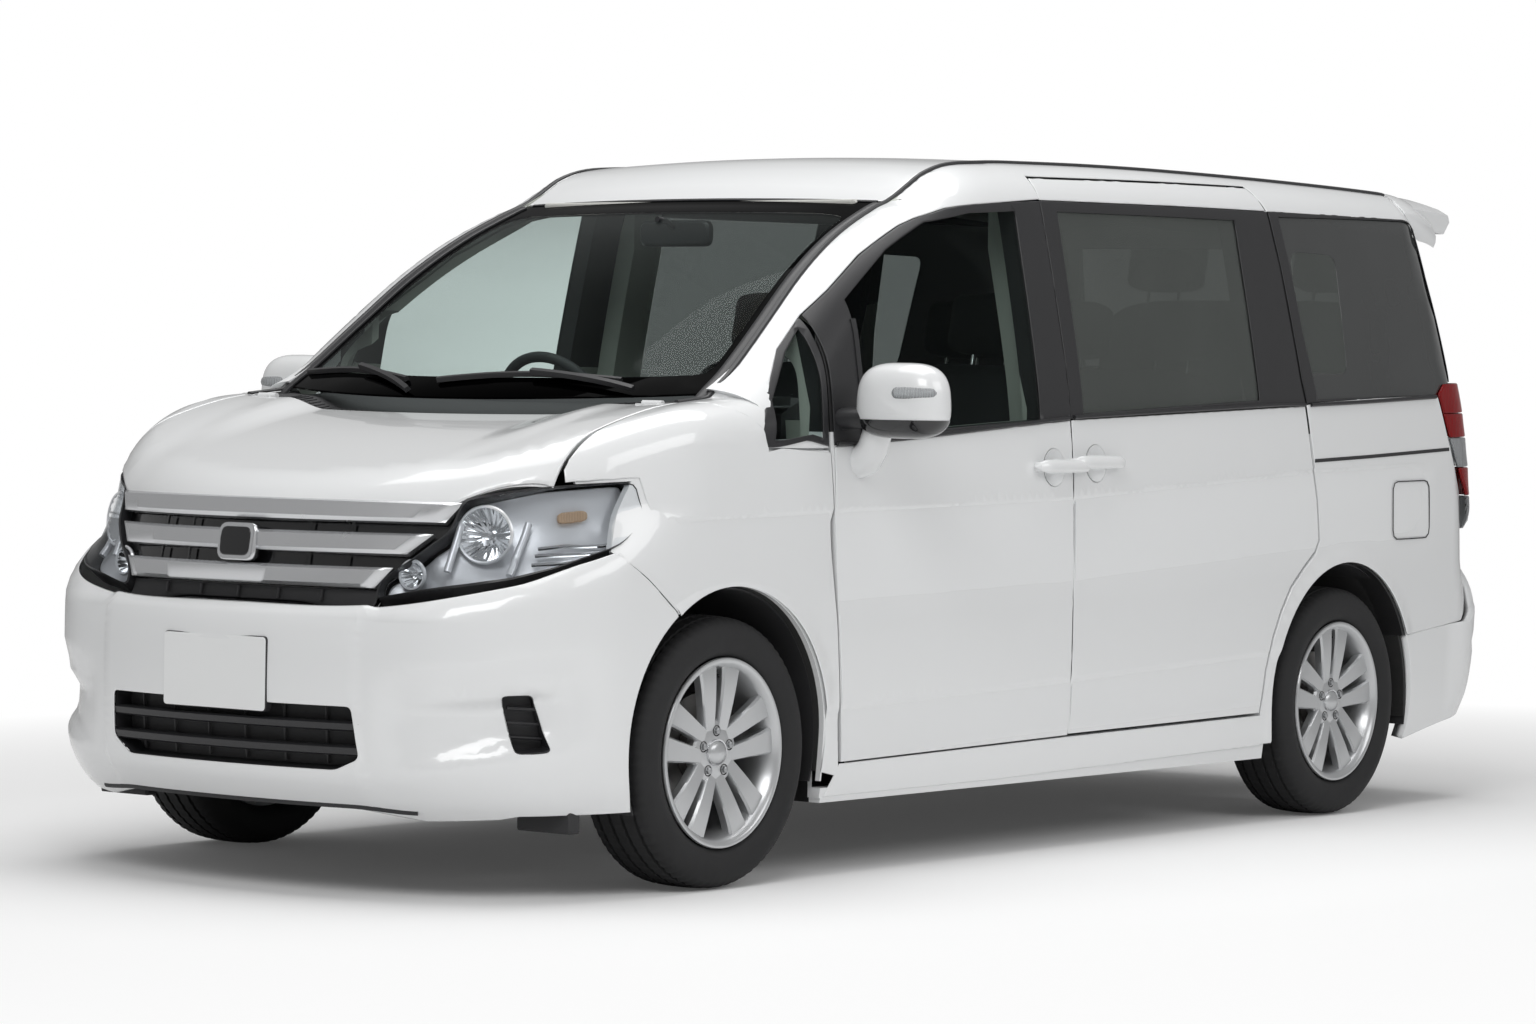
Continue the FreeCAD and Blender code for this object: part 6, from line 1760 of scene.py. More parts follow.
def doubled(part: Part) -> Part:
    """An open shell given a thin inner wall, so that it is closed.

    Args:
        part: The open shell.

    Returns:
        The closed part.
    """
    used = np.unique(part.faces)
    index = np.full(len(part.points), -1)
    index[used] = np.arange(len(used))
    points, faces = part.points[used], index[part.faces]
    centre = points.mean(axis=0)
    inner = centre + (points - centre) * 0.985
    inner[:, 2] = points[:, 2] + (centre[2] - points[:, 2]) * 0.015
    pairs = np.concatenate([faces[:, [i, (i + 1) % faces.shape[1]]] for i in range(faces.shape[1])])
    keys = {(int(a), int(b)) for a, b in pairs}
    rim = np.array([(a, b) for a, b in keys if (b, a) not in keys and a != b])
    size = len(points)
    edge = np.stack([rim[:, 0], rim[:, 0] + size, rim[:, 1] + size, rim[:, 1]], axis=-1)
    return Part(np.concatenate([points, inner]), np.concatenate([faces, faces[:, ::-1] + size, edge]))


# ---------------------------------------------------------------- top
@dataclass
class Top:
    """Hood, cowl, windscreen, roof panel and wipers."""

    paints: Paintbox
    def edge_of(self, y: Array, inset: float) -> Array:
        """X of the roof or windscreen edge."""
        return Form.side_edge(y) - inset

    def creases(self, points: Array) -> Array:
        """Two shallow valleys in the hood, from the grille's corners to the cowl, as bell curves over X.

        Args:
            points: Points on the form.

        Returns:
            Height over the form at each.
        """
        x, y = np.abs(points[:, 0]), points[:, 1] - FRONT
        side = (x - self.line(y)) / 55
        return -3.0 * np.exp(-(side + 0.9) ** 2) * Form.smooth(-720, -560, y)

    @staticmethod
    def line(y: Array) -> Array:
        """X of the hood's line over the distance behind the front axle."""
        return np.interp(y, [-640, -300, -40], [520, 590, 650])

    def hood(self) -> Part:
        """The hood's skin between its front edge, its rear edge and the shut lines.

        Returns:
            The skin.
        """
        half = HALF * Form.HOOD_HALF
        x = steps(-half, half, 61)
        rear = np.stack([x, Form.hood_rear(x)], axis=-1)
        front = np.stack([x[::-1], Form.hood_front(x[::-1])], axis=-1)
        outline = np.concatenate([front, rear])
        y = steps(-640, -60, 20) + FRONT
        line = self.line(y - FRONT)
        extra = [np.stack([sign * (line + o), y], axis=-1) for sign in (-1, 1) for o in (-90, -50, -20, 0)]
        return shell(HOOD_CHART, Flat.fill(outline, (), 36.0, 3.5, extra), LIFT, SKIN, self.creases)

    def build(self) -> None:
        """Build the pieces."""
        piece = Piece("hood_skin", "hood", self.paints)
        piece.add("body_paint", self.hood())
        piece.make(slot="body_paint")
        self.screen()
        self.cowl()
        self.roof()

    def outline(self, start: Callable[[Array], Array], end: Callable[[Array], Array], inset: float) -> Array:
        """Flat outline between two cross lines and the side edges.

        Args:
            start: Y of the first cross line over X.
            end: Y of the last.
            inset: Distance in from the side edges.

        Returns:
            The outline.
        """
        u = steps(-1, 1, 41)
        edges = []
        for line in (start, end):
            y = line(u * 0)
            for _ in range(12):
                y = line(u * self.edge_of(y, inset))
            edges.append(np.stack([u * self.edge_of(y, inset), y], axis=-1))
        first, last = edges
        y = steps(first[-1, 1], last[-1, 1], 42)[1:-1]
        right = np.stack([self.edge_of(y, inset), y], axis=-1)
        return np.concatenate([first, right, last[::-1], (right * [-1, 1])[::-1]])

    def screen(self) -> None:
        """The windscreen, with a black border and a dark band at its top."""
        outer = self.outline(lambda x: Form.glass_base(x) + 4, lambda x: Form.glass_top(x), 4.0)
        inner = self.outline(lambda x: Form.glass_base(x) + 85, lambda x: Form.glass_top(x) - 95, 42.0)
        inner = softened(inner[::4], 40.0, 3)
        piece = Piece("windscreen_glass", "body_shell", self.paints)
        piece.add("clear_glass", shell(GLASS_CHART, Flat.fill(inner, (), 60.0, 3.0), 0.0, 4.0, None, 0.0))
        border = Flat.fill(outer, [inner], 60.0, 3.0)
        piece.add("edge_black_glass", shell(GLASS_CHART, border, 0.0, 4.0, None, 0.3))
        piece.make("windscreen", slot="clear_glass")
        y = steps(-60.0, 900.0, 60) + FRONT
        trim = Piece("windscreen_pillar_trims", "body_shell", self.paints)
        line = np.stack([Form.side_edge(y) - 10, y], axis=-1)
        bead = np.array([[-13, -2], [-13, 4], [-8, 7], [8, 7], [13, 4], [13, -2]], float)
        part = strip(GLASS_CHART, line, bead)
        trim.both("satin_black", part)
        x = steps(-575, 575, 40)
        head = np.stack([x, Form.glass_top(x) + 2], axis=-1)
        trim.add("satin_black", strip(ROOF_CHART, head, mound(5, -2, 3)))
        trim.make(slot="black_trim")

    def cowl(self) -> None:
        """The cowl panel with its air slots, and two wipers."""
        outline = self.outline(lambda x: Form.hood_rear(x) + 8, lambda x: Form.glass_base(x) + 10, 4.0)
        piece = Piece("cowl_panel", "body_shell", self.paints)
        piece.add("textured_black", shell(HOOD_CHART, Flat.fill(outline, (), 34.0, 3.0), -4.0, 6.0))
        for start in np.arange(-560, 561, 20.0):
            x = np.full(6, start)
            y = steps(0.25, 0.75, 6) * (Form.glass_base(x) - Form.hood_rear(x)) + Form.hood_rear(x)
            piece.add("satin_black", strip(HOOD_CHART, np.stack([x, y], axis=-1), mound(3, -1, 2), -4.0))
        for pivot, tip in ((520.0, -60.0), (-110.0, -650.0)):
            x = steps(pivot - 60, tip, 40)
            y = Form.glass_base(x) + 60 + 30 * np.sin(steps(0, np.pi, 40))
            line = np.stack([x, y], axis=-1)
            blade = strip(GLASS_CHART, line, np.array([[-6, 2], [-4, 14], [4, 14], [6, 2]], float))
            arm_x = steps(pivot, (pivot + tip) / 2 - 20, 30)
            foot = Form.glass_base(np.array([pivot]))[0] + 10
            arm_y = np.interp(arm_x, [arm_x.min(), arm_x.max()], [y[20], foot])
            arm = strip(GLASS_CHART, np.stack([arm_x, arm_y], axis=-1),
                        np.array([[-8, 12], [-6, 24], [6, 24], [8, 12]], float))
            piece.add("satin_black", blade, arm)
        piece.make("cowl", slot="black_trim")

    def roof(self) -> None:
        """The roof panel."""
        outline = self.outline(lambda x: Form.glass_top(x) + 6, lambda x: 0 * x + station(1.203), 4.0)
        piece = Piece("roof_skin", "body_shell", self.paints)
        piece.add("body_paint", shell(ROOF_CHART, Flat.fill(outline, (), 70.0, 4.0), LIFT, SKIN))
        piece.make(slot="body_paint")


# ---------------------------------------------------------------- nose
@dataclass
class Nose:
    """Bumper, intake, fog lamp recesses, grille, plate and headlamps."""

    paints: Paintbox
    panel_half: float = 402.0
    panel_proud: float = 9.0
    intake: tuple = ((-363, 449), (390, 449), (407, 330), (343, 302), (-307, 302), (-366, 342))
    fog: tuple = ((706, 480), (752, 481), (768, 356), (722, 350))
    bars: tuple = ((719, 766, 392, 428), (798, 845, 452, 500), (872, 918, 518, 548))
    lamp: tuple = ((398, 694), (401, 735), (470, 790), (531, 850), (545, 928), (620, 945), (690, 959),
                   (793, 973), (806, 900), (812, 822), (760, 776), (690, 745), (620, 730), (520, 716))

    def relief(self, points: Array) -> Array:
        """A proud centre panel, a facet under each cheek's crease, and scoops round the fog lamps.

        A scoop is 26 mm deep at the fog lamp, as the product of smooth steps from its edges.

        Args:
            points: Points on the form.

        Returns:
            Height over the form at each.
        """
        x, z = np.abs(points[:, 0]), points[:, 2]
        proud = self.panel_proud * (1 - Form.smooth(self.panel_half - 4, self.panel_half + 22, x))
        proud *= Form.smooth(215, 300, z)
        proud -= 12 * (1 - Form.smooth(-40, -8, np.maximum(x - 165, np.abs(z - 513) - 88)))
        top = np.interp(x, [480, 704, 832], [464, 484, 520])
        bottom = np.interp(x, [401, 592, 727, 800], [268, 312, 348, 372])
        scoop = Form.smooth(-4, 40, top - z) * Form.smooth(-4, 50, z - bottom) * Form.smooth(440, 690, x)
        scoop *= 26 * (1 - Form.smooth(750, 800, x))
        soft = np.interp(x, [460, 702, 832], [526, 563, 592])
        cheek = 14.0 * np.clip((soft - z) / 62, 0, 1)
        cheek *= Form.smooth(430, 520, x) * (1 - Form.smooth(790, 830, x))
        cheek *= 1 - Form.smooth(0, 1, (soft - z - 62) / 200)
        return proud - scoop - cheek

    def bumper(self) -> Part:
        """The bumper's skin, with openings for the intake and the fog lamps.

        Returns:
            The skin.
        """
        x = np.concatenate([steps(0.0, 640.0, 24), steps(665.0, 800.0, 9)])
        top = NOSE_CHART.lay(np.stack([x, Form.bumper_top(x) - 3], axis=-1))
        side = NOSE_CHART.lay_side(rel([(-405, 807), (-305, 742), (-206, 664)]))
        arch = NOSE_CHART.lay_side(rel(arc(ARCH_FRONT, 374.0, 125, 203, 24)))
        low = [[690, 202], [654, 194], [504, 185], [430, 198], [342, 212], [0, 214]]
        outline = symmetric(np.concatenate([top, side, arch, NOSE_CHART.lay(np.array(low, float))]))
        hole = NOSE_CHART.lay(softened(np.array(self.intake, float), 14.0))
        fog = NOSE_CHART.lay(softened(np.array(self.fog, float), 10.0))
        lines = []
        for points in ([(480, 464), (704, 484), (780, 505)], [(401, 268), (592, 312), (727, 348), (785, 367)],
                       [(480, 446), (690, 466)], [(480, 428), (690, 448)], [(480, 312), (690, 358)],
                       [(480, 334), (690, 378)], [(460, 526), (702, 563), (832, 592)],
                       [(782, 380), (782, 500)], [(440, 300), (440, 460)], [(424, 215), (424, 690)],
                       [(401, 215), (401, 690)]):
            flat = NOSE_CHART.lay(Sides.dense(np.array(points, float), 22.0))
            lines += [flat, flat * [-1, 1]]
        flat = Flat.fill(outline, [hole, fog, fog * [-1, 1]], 26.0, 3.5, lines)
        return shell(NOSE_CHART, flat, LIFT, SKIN, self.relief)

    def at(self, x: Array, z: Array, lift: float = 0.0) -> Array:
        """Points on the nose for X and Z."""
        return NOSE_CHART.surface(NOSE_CHART.lay(np.stack([x, z], axis=-1)), lift)

    def face(self, outline: Array, lift: float, depth: float, spacing: float = 30.0,
             roll: float = 1.6) -> Part:
        """A panel on the nose from an outline of X and Z."""
        flat = Flat.fill(NOSE_CHART.lay(outline), (), spacing, 3.0)
        return shell(NOSE_CHART, flat, lift, depth, None, roll)

    def level(self, x: Array, z: Array, lift: float, profile: Array) -> Part:
        """A bar along X on the nose, with a profile of pairs (up, out).

        Args:
            x: X along the bar.
            z: Z along it.
            lift: Height over the form.
            profile: The pairs.

        Returns:
            The closed part.
        """
        spots = self.at(x, z, lift)
        normal = unit(spots * [1, 1, 0] - [0, FRONT - 100, 0])
        return ribbon(spots, np.tile([0.0, 0, 1], (len(x), 1)), normal, profile)

    def wall(self, edge: Array, near: float, far: float, thick: float, shape: Relief | None = None) -> Part:
        """A band of an even thickness that runs in from the skin along an outline.

        Args:
            edge: The outline in X and Z.
            near: Height of its outer end over the form.
            far: Height of its inner end.
            thick: Its thickness, away from the outline's middle.
            shape: Relief under its outer end.

        Returns:
            The closed part.
        """
        flat = NOSE_CHART.lay(edge)
        outer, inner = NOSE_CHART.surface(flat, near, shape), NOSE_CHART.surface(flat, far)
        x, z = (edge - edge.mean(axis=0)).T
        out = unit(np.stack([x, 0 * x, z], axis=-1)) * thick
        rings = np.concatenate([outer, inner, inner + out, outer + out])
        return outward(Part(rings, grid_faces(4, len(edge), wrap=True, close=True)))

    def build(self) -> None:
        """Build the pieces."""
        piece = Piece("front_bumper_skin", "body_shell", self.paints)
        piece.add("body_paint", self.bumper())
        x = steps(-505, 505, 80)
        z = 206 - 9 * Form.smooth(342, 504, np.abs(x))
        profile = np.array([[-15, -26], [-14, 3], [-9, 6], [10, 5], [13, -10]], float)
        piece.add("textured_black", self.level(x, z + 14, -4.0, profile))
        piece.both("textured_black", cuboid((600, FRONT - 490, 158), (765, FRONT - 450, 212), 6.0))
        piece.make("front_bumper", slot="bumper_paint")
        self.openings()
        self.grille()
        self.plate()
        self.headlamps()

    def openings(self) -> None:
        """The black intake with ribs and two slats, and the fog lamp grilles with three bars each."""
        piece = Piece("intake_grille", "body_shell", self.paints)
        outline = grown(np.array(self.intake, float), 12.0)
        piece.add("textured_black", self.face(outline, -40.0, 6.0))
        walls = softened(np.array(self.intake, float), 14.0)
        piece.add("satin_black", self.wall(divided(walls, 20.0), 2.0, -42.0, 5.0))
        for low, high in ((334, 357), (391, 413)):
            half = (high - low) / 2
            profile = [[-half, -22], [-half, 6], [-half + 4, 13], [half - 4, 16], [half, 10], [half, -22]]
            x, z = steps(-404, 404, 60), np.full(60, (low + high) / 2)
            piece.add("satin_black", self.level(x, z, -6.0, np.array(profile, float)))
        for x in np.arange(-300, 301, 120.0):
            piece.add("satin_black", outward(tube(self.at(np.full(8, x), steps(308, 444, 8), -33.0), 3.4, 6)))
        fog = grown(np.array(self.fog, float), 4.0)
        piece.both("textured_black", self.face(fog, -52.0, 4.0))
        x = steps(716, 764, 8)
        for z in (382.0, 416.0, 450.0):
            bar = self.at(x, np.full(8, z) - (x - 740) * 0.1, -38.0)
            piece.both("satin_black", outward(tube(bar, 6.0, 8, 0.7)))
        edge = divided(softened(np.array(self.fog, float), 10.0), 12.0)
        piece.both("satin_black", self.wall(edge, LIFT, -54.0, 4.0, self.relief))
        piece.make("lower_grille", slot="black_trim")

    def grille(self) -> None:
        """Three bevelled bars before a black back, and a plain rounded square where a badge would be."""
        piece = Piece("grille_bars", "body_shell", self.paints)
        left = np.array([(0, 674), (392, 676), (402, 700), (412, 735), (470, 788), (532, 850), (546, 926),
                         (540, 935)], float)
        x = steps(540.0, 0.0, 24)
        hood = Form.hood_front(x)
        top = np.stack([x, np.minimum(Form.hood_top(x, hood) + 4, 934.0)], axis=-1)
        outline = symmetric(np.concatenate([left[:-1], top]))
        piece.add("gloss_black", self.face(outline, -26.0, 5.0, 34.0))
        shape = ((0.0, -20.0), (0.0, 2.0), (0.16, 9.0), (0.84, 12.0), (1.0, 3.0), (1.0, -20.0))
        for low, high, inner, outer in self.bars:
            rows = []
            for share, out in shape:
                reach = inner + (outer - inner) * share
                x = steps(-reach, reach, 61)
                drop = np.clip((np.abs(x) - reach + 26) / 26, 0, 1)
                z = np.full(61, low + (high - low) * share)
                points, normals = NOSE_CHART.laid(NOSE_CHART.lay(np.stack([x, z], axis=-1)))
                rows.append(points + normals * (out - drop[:, None] * max(out - 1, 0)))
            piece.add("satin_chrome", loft(np.stack(rows, axis=1)))
        for x0 in (-300.0, -190.0, 190.0, 300.0):
            for low, high in ((768, 796), (847, 870)):
                post = self.at(np.full(4, x0), steps(low, high, 4), -14.0)
                piece.add("gloss_black", outward(tube(post, 3.0, 8)))
        square, inner = plaque((-56, 770), (56, 856), 22.0), plaque((-46, 780), (46, 846), 18.0)
        piece.add("satin_chrome", self.face(square, 20.0, 26.0, 18.0, 5.0))
        piece.add("gloss_black", self.face(inner, 21.6, 3.0, 18.0, 0.8))
        piece.make("upper_grille", slot="grille_chrome")
        slot = Piece("grille_sill", "body_shell", self.paints)
        low = np.array([(-392, 684), (392, 684), (404, 716), (-404, 716)], float)
        slot.add("textured_black", self.face(divided(low, 40.0), -14.0, 6.0))
        for x0 in (-250.0, -125.0, 0.0, 125.0, 250.0):
            post = self.at(np.full(4, x0), steps(688, 712, 4), -8.0)
            slot.add("satin_black", outward(tube(post, 4.0, 8)))
        slot.make(slot="black_trim")

    def plate(self) -> None:
        """A blank plate in a slim black frame, whose thin rim round the plate also paints the shadow line at
        its edge, standing on its CAD place.
        """
        low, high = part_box("front_plate")
        face = low.y / METRE - 3.0
        piece = Piece("number_plate_front", "body_shell", self.paints)
        frame, plate = plaque((-165, 426), (165, 601), 12.0), plaque((-163, 428), (163, 599), 10.0)
        # The frame's 2 mm black rim round the plate is partly the frame and partly painted shadow along the
        # plate's edge.
        piece.add("textured_black", prism(frame, face + 1.5, high.y / METRE + 6.0, 1, 2.0))
        piece.add("plate_white", prism(plate, face, face + 3.0, 1, 0.8))
        piece.make("front_plate", slot="plate_white")

    def headlamps(self) -> None:
        """Each headlamp: a black seal, a housing, a fluted main reflector, a small round lamp and a cover."""
        smooth = softened(np.array(self.lamp, float), 18.0, 4)
        cover = self.face(smooth, 1.0, 3.0, 34.0, 1.0)

        def hollow(points: Array) -> Array:
            """The housing's depth, deepest round the two lamps."""
            away = np.minimum(np.hypot(points[:, 0] - 596, points[:, 2] - 850) / 120,
                              np.hypot(points[:, 0] - 480, points[:, 2] - 757) / 70)
            return -34 - 26 * np.exp(-away ** 2)
        inner = Flat.fill(NOSE_CHART.lay(grown(smooth, -9.0)), (), 26.0, 3.0)
        bowl = shell(NOSE_CHART, inner, 0.0, 4.0, hollow, 0.0)
        seal = self.wall(divided(smooth, 16.0), 2.0, -46.0, -6.0)
        main = self.reflector(np.array([600.0, 848.0]), 62.0, 46.0)
        small = self.reflector(np.array([468.0, 752.0]), 30.0, 30.0)
        amber = softened(np.array([(712, 902), (750, 908), (754, 886), (716, 880)], float), 9.0)
        amber = self.face(amber, -22.0, 12.0, 18.0, 3.0)
        ribs = [outward(tube(self.at(steps(700, 790, 12), np.full(12, z) + steps(0, 16, 12), -24.0), 5.0, 8))
                for z in (792.0, 808.0, 824.0)]
        tubes = [outward(tube(self.at(np.full(8, x), steps(770, 880, 8), -26.0), 9.0, 10))
                 for x in (545.0, 672.0)]
        piece = Piece("headlamp_units", "body_shell", self.paints)
        piece.both("lamp_housing", bowl).both("satin_black", seal)
        for part, finish in main + small:
            piece.both(finish, part)
        piece.both("amber_lens", amber).both("bright_chrome", *ribs).both("lamp_housing", *tubes)
        piece.both("lamp_cover", cover)
        piece.make("headlamps", slot="lamp_glass")

    def reflector(self, centre: Array, radius: float, depth: float) -> list[tuple[Part, str]]:
        """A fluted bowl with a bright rim and a bulb cap, facing ahead and a little to the side.

        Args:
            centre: Its middle in X and Z.
            radius: Its radius.
            depth: Its depth.

        Returns:
            Its parts and their finishes.
        """
        spot, normal = NOSE_CHART.laid(NOSE_CHART.lay(centre[None]))
        ahead = unit(normal[0] * [0.55, 1, 0.2])
        side = unit(np.cross(ahead, [0, 0, 1.0]))
        turn = np.stack([ahead, side, np.cross(ahead, side)], axis=1)
        origin = spot[0] - ahead * 16
        count = 72
        angle = turns(count)
        t = steps(0.12, 1, 12)[:, None]
        fluted = radius * t * (1 + 0.02 * np.cos(angle * 18) * t)
        x = -depth * (1 - t ** 2) * np.ones(count)
        outer = np.stack([x, fluted * np.cos(angle), fluted * np.sin(angle)], axis=-1)
        inner = outer + [-2.0, 0, 0]
        points = np.concatenate([outer, inner[::-1]]).reshape(-1, 3)
        bowl = outward(Part(points, grid_faces(24, count, wrap=True, close=True)).moved(turn, origin))
        rim = turned([(-3, radius - 1), (2, radius), (3, radius + 4), (-1, radius + 7), (-6, radius + 5)],
                     count, closed=True)
        cap = turned([(-depth, 0.01), (-depth, radius * 0.16), (-depth * 0.35, radius * 0.16),
                      (-depth * 0.2, radius * 0.1), (-depth * 0.2, 0.01)], 24)
        return [(bowl, "bright_chrome"), (outward(rim.moved(turn, origin)), "lamp_housing"),
                (outward(cap.moved(turn, origin)), "bright_chrome")]


# ---------------------------------------------------------------- tail
@dataclass
class Tail:
    """Rear bumper, tail lamps, tailgate skin, rear window and spoiler."""

    paints: Paintbox
    corner_proud: float = 34.0

    def face(self, outline: Array, lift: float = LIFT, holes: Sequence[Array] = (), depth: float = SKIN,
             shape: Relief | None = None, spacing: float = 36.0) -> Part:
        """A panel on the tail from an outline of X and Z."""
        flat = Flat.fill(TAIL_CHART.lay(outline), [TAIL_CHART.lay(h) for h in holes], spacing, 3.5)
        return shell(TAIL_CHART, flat, lift, depth, shape)

    @staticmethod
    def level_side(points: Sequence[Sequence[float]]) -> Array:
        """Flat points on the tail's chart from Y and Z."""
        return TAIL_CHART.lay_side(rel(points))

    def corner(self, points: Array) -> Array:
        """How far the corner stands out of the form, over |x| and over Y.

        Args:
            points: Points on the form.

        Returns:
            Height over the form at each.
        """
        x, y, z = np.abs(points[:, 0]), points[:, 1] - FRONT, points[:, 2]
        high = np.interp(z, [226, 330, 740, 1240], [0.55, 1.0, 1.0, 0.75])
        return self.corner_proud * Form.smooth(520, 740, x) * Form.smooth(3480, 3660, y) * high

    def build(self) -> None:
        """Build the pieces."""
        self.bumper()
        self.lamps()
        self.tailgate()

    def bumper(self) -> None:
        """The rear bumper's skin, a lower black insert and reflectors."""
        half = GATE_HALF
        mid = TAIL_CHART.lay(np.array([[0, 573], [half - 20, 573], [half, 590], [half + 2, 752]], float))
        side = self.level_side([(3690, 748), (3666, 588), (3592, 534), (3262, 504)])
        arch = TAIL_CHART.lay_side(rel(arc(ARCH_REAR, 404.0, 26.5, -18, 14)))
        low = TAIL_CHART.lay(np.array([[760, 262], [560, 236], [0, 226]], float))
        outline = symmetric(np.concatenate([mid, side, arch, low]))

        def step(points: Array) -> Array:
            """A groove round the bumper's middle, and the full corner that stands out of the quarter."""
            z = points[:, 2]
            return self.corner(points) - 4 * np.exp(-((z - 470) / 14) ** 2) * (np.abs(points[:, 0]) < 800)
        line = Sides.dense(np.array([(-700.0, 470.0), (700.0, 470.0)]), 30.0)
        lines = [TAIL_CHART.lay(line + [0, shift]) for shift in (0, 14, -14)]
        flat = Flat.fill(outline, (), 30.0, 3.5, lines)
        piece = Piece("rear_bumper_skin", "body_shell", self.paints)
        piece.add("body_paint", shell(TAIL_CHART, flat, LIFT, SKIN + self.corner_proud, step))
        mark = softened(np.array([(560, 330), (690, 338), (690, 372), (560, 366)], float), 10.0)
        piece.both("red_lens", self.face(mark, LIFT + 4.0, (), 4.0))
        insert = softened(np.array([(-430, 232), (430, 232), (400, 300), (-400, 300)], float), 16.0)
        piece.add("textured_black", self.face(insert, LIFT + 4.0, (), 4.0))
        piece.make("rear_bumper", slot="bumper_paint")

    def lamps(self) -> None:
        """Tail lamps in bands: red, red with an inner cell, a clear round lamp, red, and a pale foot."""
        half = GATE_HALF + 6
        piece = Piece("tail_lamp_units", "body_shell", self.paints)
        bands = ((806, 905, "clear_lens"), (908, 990, "red_lens"), (993, 1078, "clear_lens"),
                 (1081, 1150, "red_lens"), (1153, 1238, "red_lens"))
        front = np.array([(3660, 806), (3550, 961), (3505, 1068), (3450, 1208), (3491, 1240)], float)
        for low, high, finish in bands:
            z = steps(low, high, 7)
            y = np.interp(z, front[:, 1], front[:, 0])
            y = np.where(z > 1208, np.interp(z, [1208, 1240], [3450, 3491]), y)
            edge = TAIL_CHART.lay_side(np.stack([y + FRONT + 4, z], axis=-1))
            inner = TAIL_CHART.lay(np.stack([np.full(7, half), z], axis=-1))
            outline = np.concatenate([inner, edge[::-1]])
            flat = Flat.fill(outline, (), 24.0, 3.0)
            piece.both(finish, shell(TAIL_CHART, flat, LIFT + 5, 12.0, self.corner, 2.0))
        spot, normal = TAIL_CHART.laid(TAIL_CHART.lay(np.array([[760.0, 1035.0]])))
        out = normal[0]
        side = unit(np.cross(out, [0, 0, 1.0]))
        turn = np.stack([out, side, np.cross(out, side)], axis=1)
        ring = outward(turned([(2, 30), (8, 31), (9, 36), (2, 38)], 40, closed=True).moved(turn, spot[0]))
        dome = outward(turned([(2, 30), (7, 24), (10, 12), (11, 0.01), (1, 0.01)], 40).moved(turn, spot[0]))
        piece.both("bright_chrome", ring).both("clear_lens", dome)
        piece.make("tail_lamps", slot="red_lamp")

    def tailgate(self) -> None:
        """The tailgate's skin, its window, the spoiler, the handle strip, the wiper and a blank plate."""
        half = GATE_HALF - 3
        z = steps(1244, 1690, 16)
        side_y = np.interp(z, [1244, 1627, 1690], [3657, 3560, 3538]) + 6
        upper = TAIL_CHART.lay_side(np.stack([side_y + FRONT, z], axis=-1))
        top = TAIL_CHART.lay(np.array([[500, 1725], [250, 1732], [0, 1735]], float))
        low = TAIL_CHART.lay(np.array([[0, 586], [half - 26, 586], [half, 604], [half, 800], [half, 1000],
                                       [half, 1243]], float))
        outline = symmetric(np.concatenate([low, upper, top]))
        glass = softened(np.array([(-640, 1262), (640, 1262), (600, 1655), (-600, 1655)], float), 40.0)

        def relief(points: Array) -> Array:
            """A shoulder line under the window and a recess round the plate."""
            x, up = np.abs(points[:, 0]), points[:, 2]
            inset = np.minimum(np.minimum(250 - x, up - 745), 950 - up)
            return -9 * Form.smooth(0, 16, inset) - 4 * np.exp(-((up - 1150) / 18) ** 2)
        extra = []
        for x in (244.0, 236.0):
            flat = TAIL_CHART.lay(Sides.dense(np.array([(x, 740.0), (x, 955.0)]), 20.0))
            extra += [flat, flat * [-1, 1]]
        for up in (748.0, 760.0, 936.0, 948.0, 1132.0, 1150.0, 1168.0):
            extra.append(TAIL_CHART.lay(Sides.dense(np.array([(-640.0, up), (640.0, up)]), 26.0)))
        flat = Flat.fill(outline, [TAIL_CHART.lay(glass)], 34.0, 3.5, extra)
        piece = Piece("tailgate_skin", "tailgate", self.paints)
        piece.add("body_paint", shell(TAIL_CHART, flat, LIFT, SKIN, relief))
        piece.add("satin_chrome", self.face(plaque((-265, 958), (265, 990), 12.0), LIFT + 12, (), 14.0))
        piece.add("plate_white", self.face(plaque((-165, 765), (165, 930), 6.0), LIFT - 3.0, (), 3.0))
        piece.add("body_paint", self.spoiler())
        lamp = plaque((-110, 1700), (110, 1716), 7.0)
        piece.add("red_lens", self.face(lamp, LIFT + 4, (), 6.0, None, 20.0))
        sweep = np.stack([steps(0, 380, 30), 1290 + 40 * np.sin(steps(0, 1.4, 30))], axis=-1)
        wiper = TAIL_CHART.surface(TAIL_CHART.lay(sweep), 14.0)
        piece.add("satin_black", outward(tube(wiper, steps(9, 5, 30), 8)))
        hub, out = TAIL_CHART.laid(TAIL_CHART.lay(np.array([[0.0, 1290.0]])))
        piece.add("satin_black", outward(tube(hub[0] + out[0] * np.array([[-4], [20]]), 19.0, 20)))
        piece.make(slot="body_paint")
        pane = Piece("tailgate_window", "tailgate", self.paints)
        pane.add("tinted_glass", self.face(grown(glass, 3.0), -1.0, (), 4.0, None, 60.0))
        pane.make("tailgate_glass", slot="dark_glass")

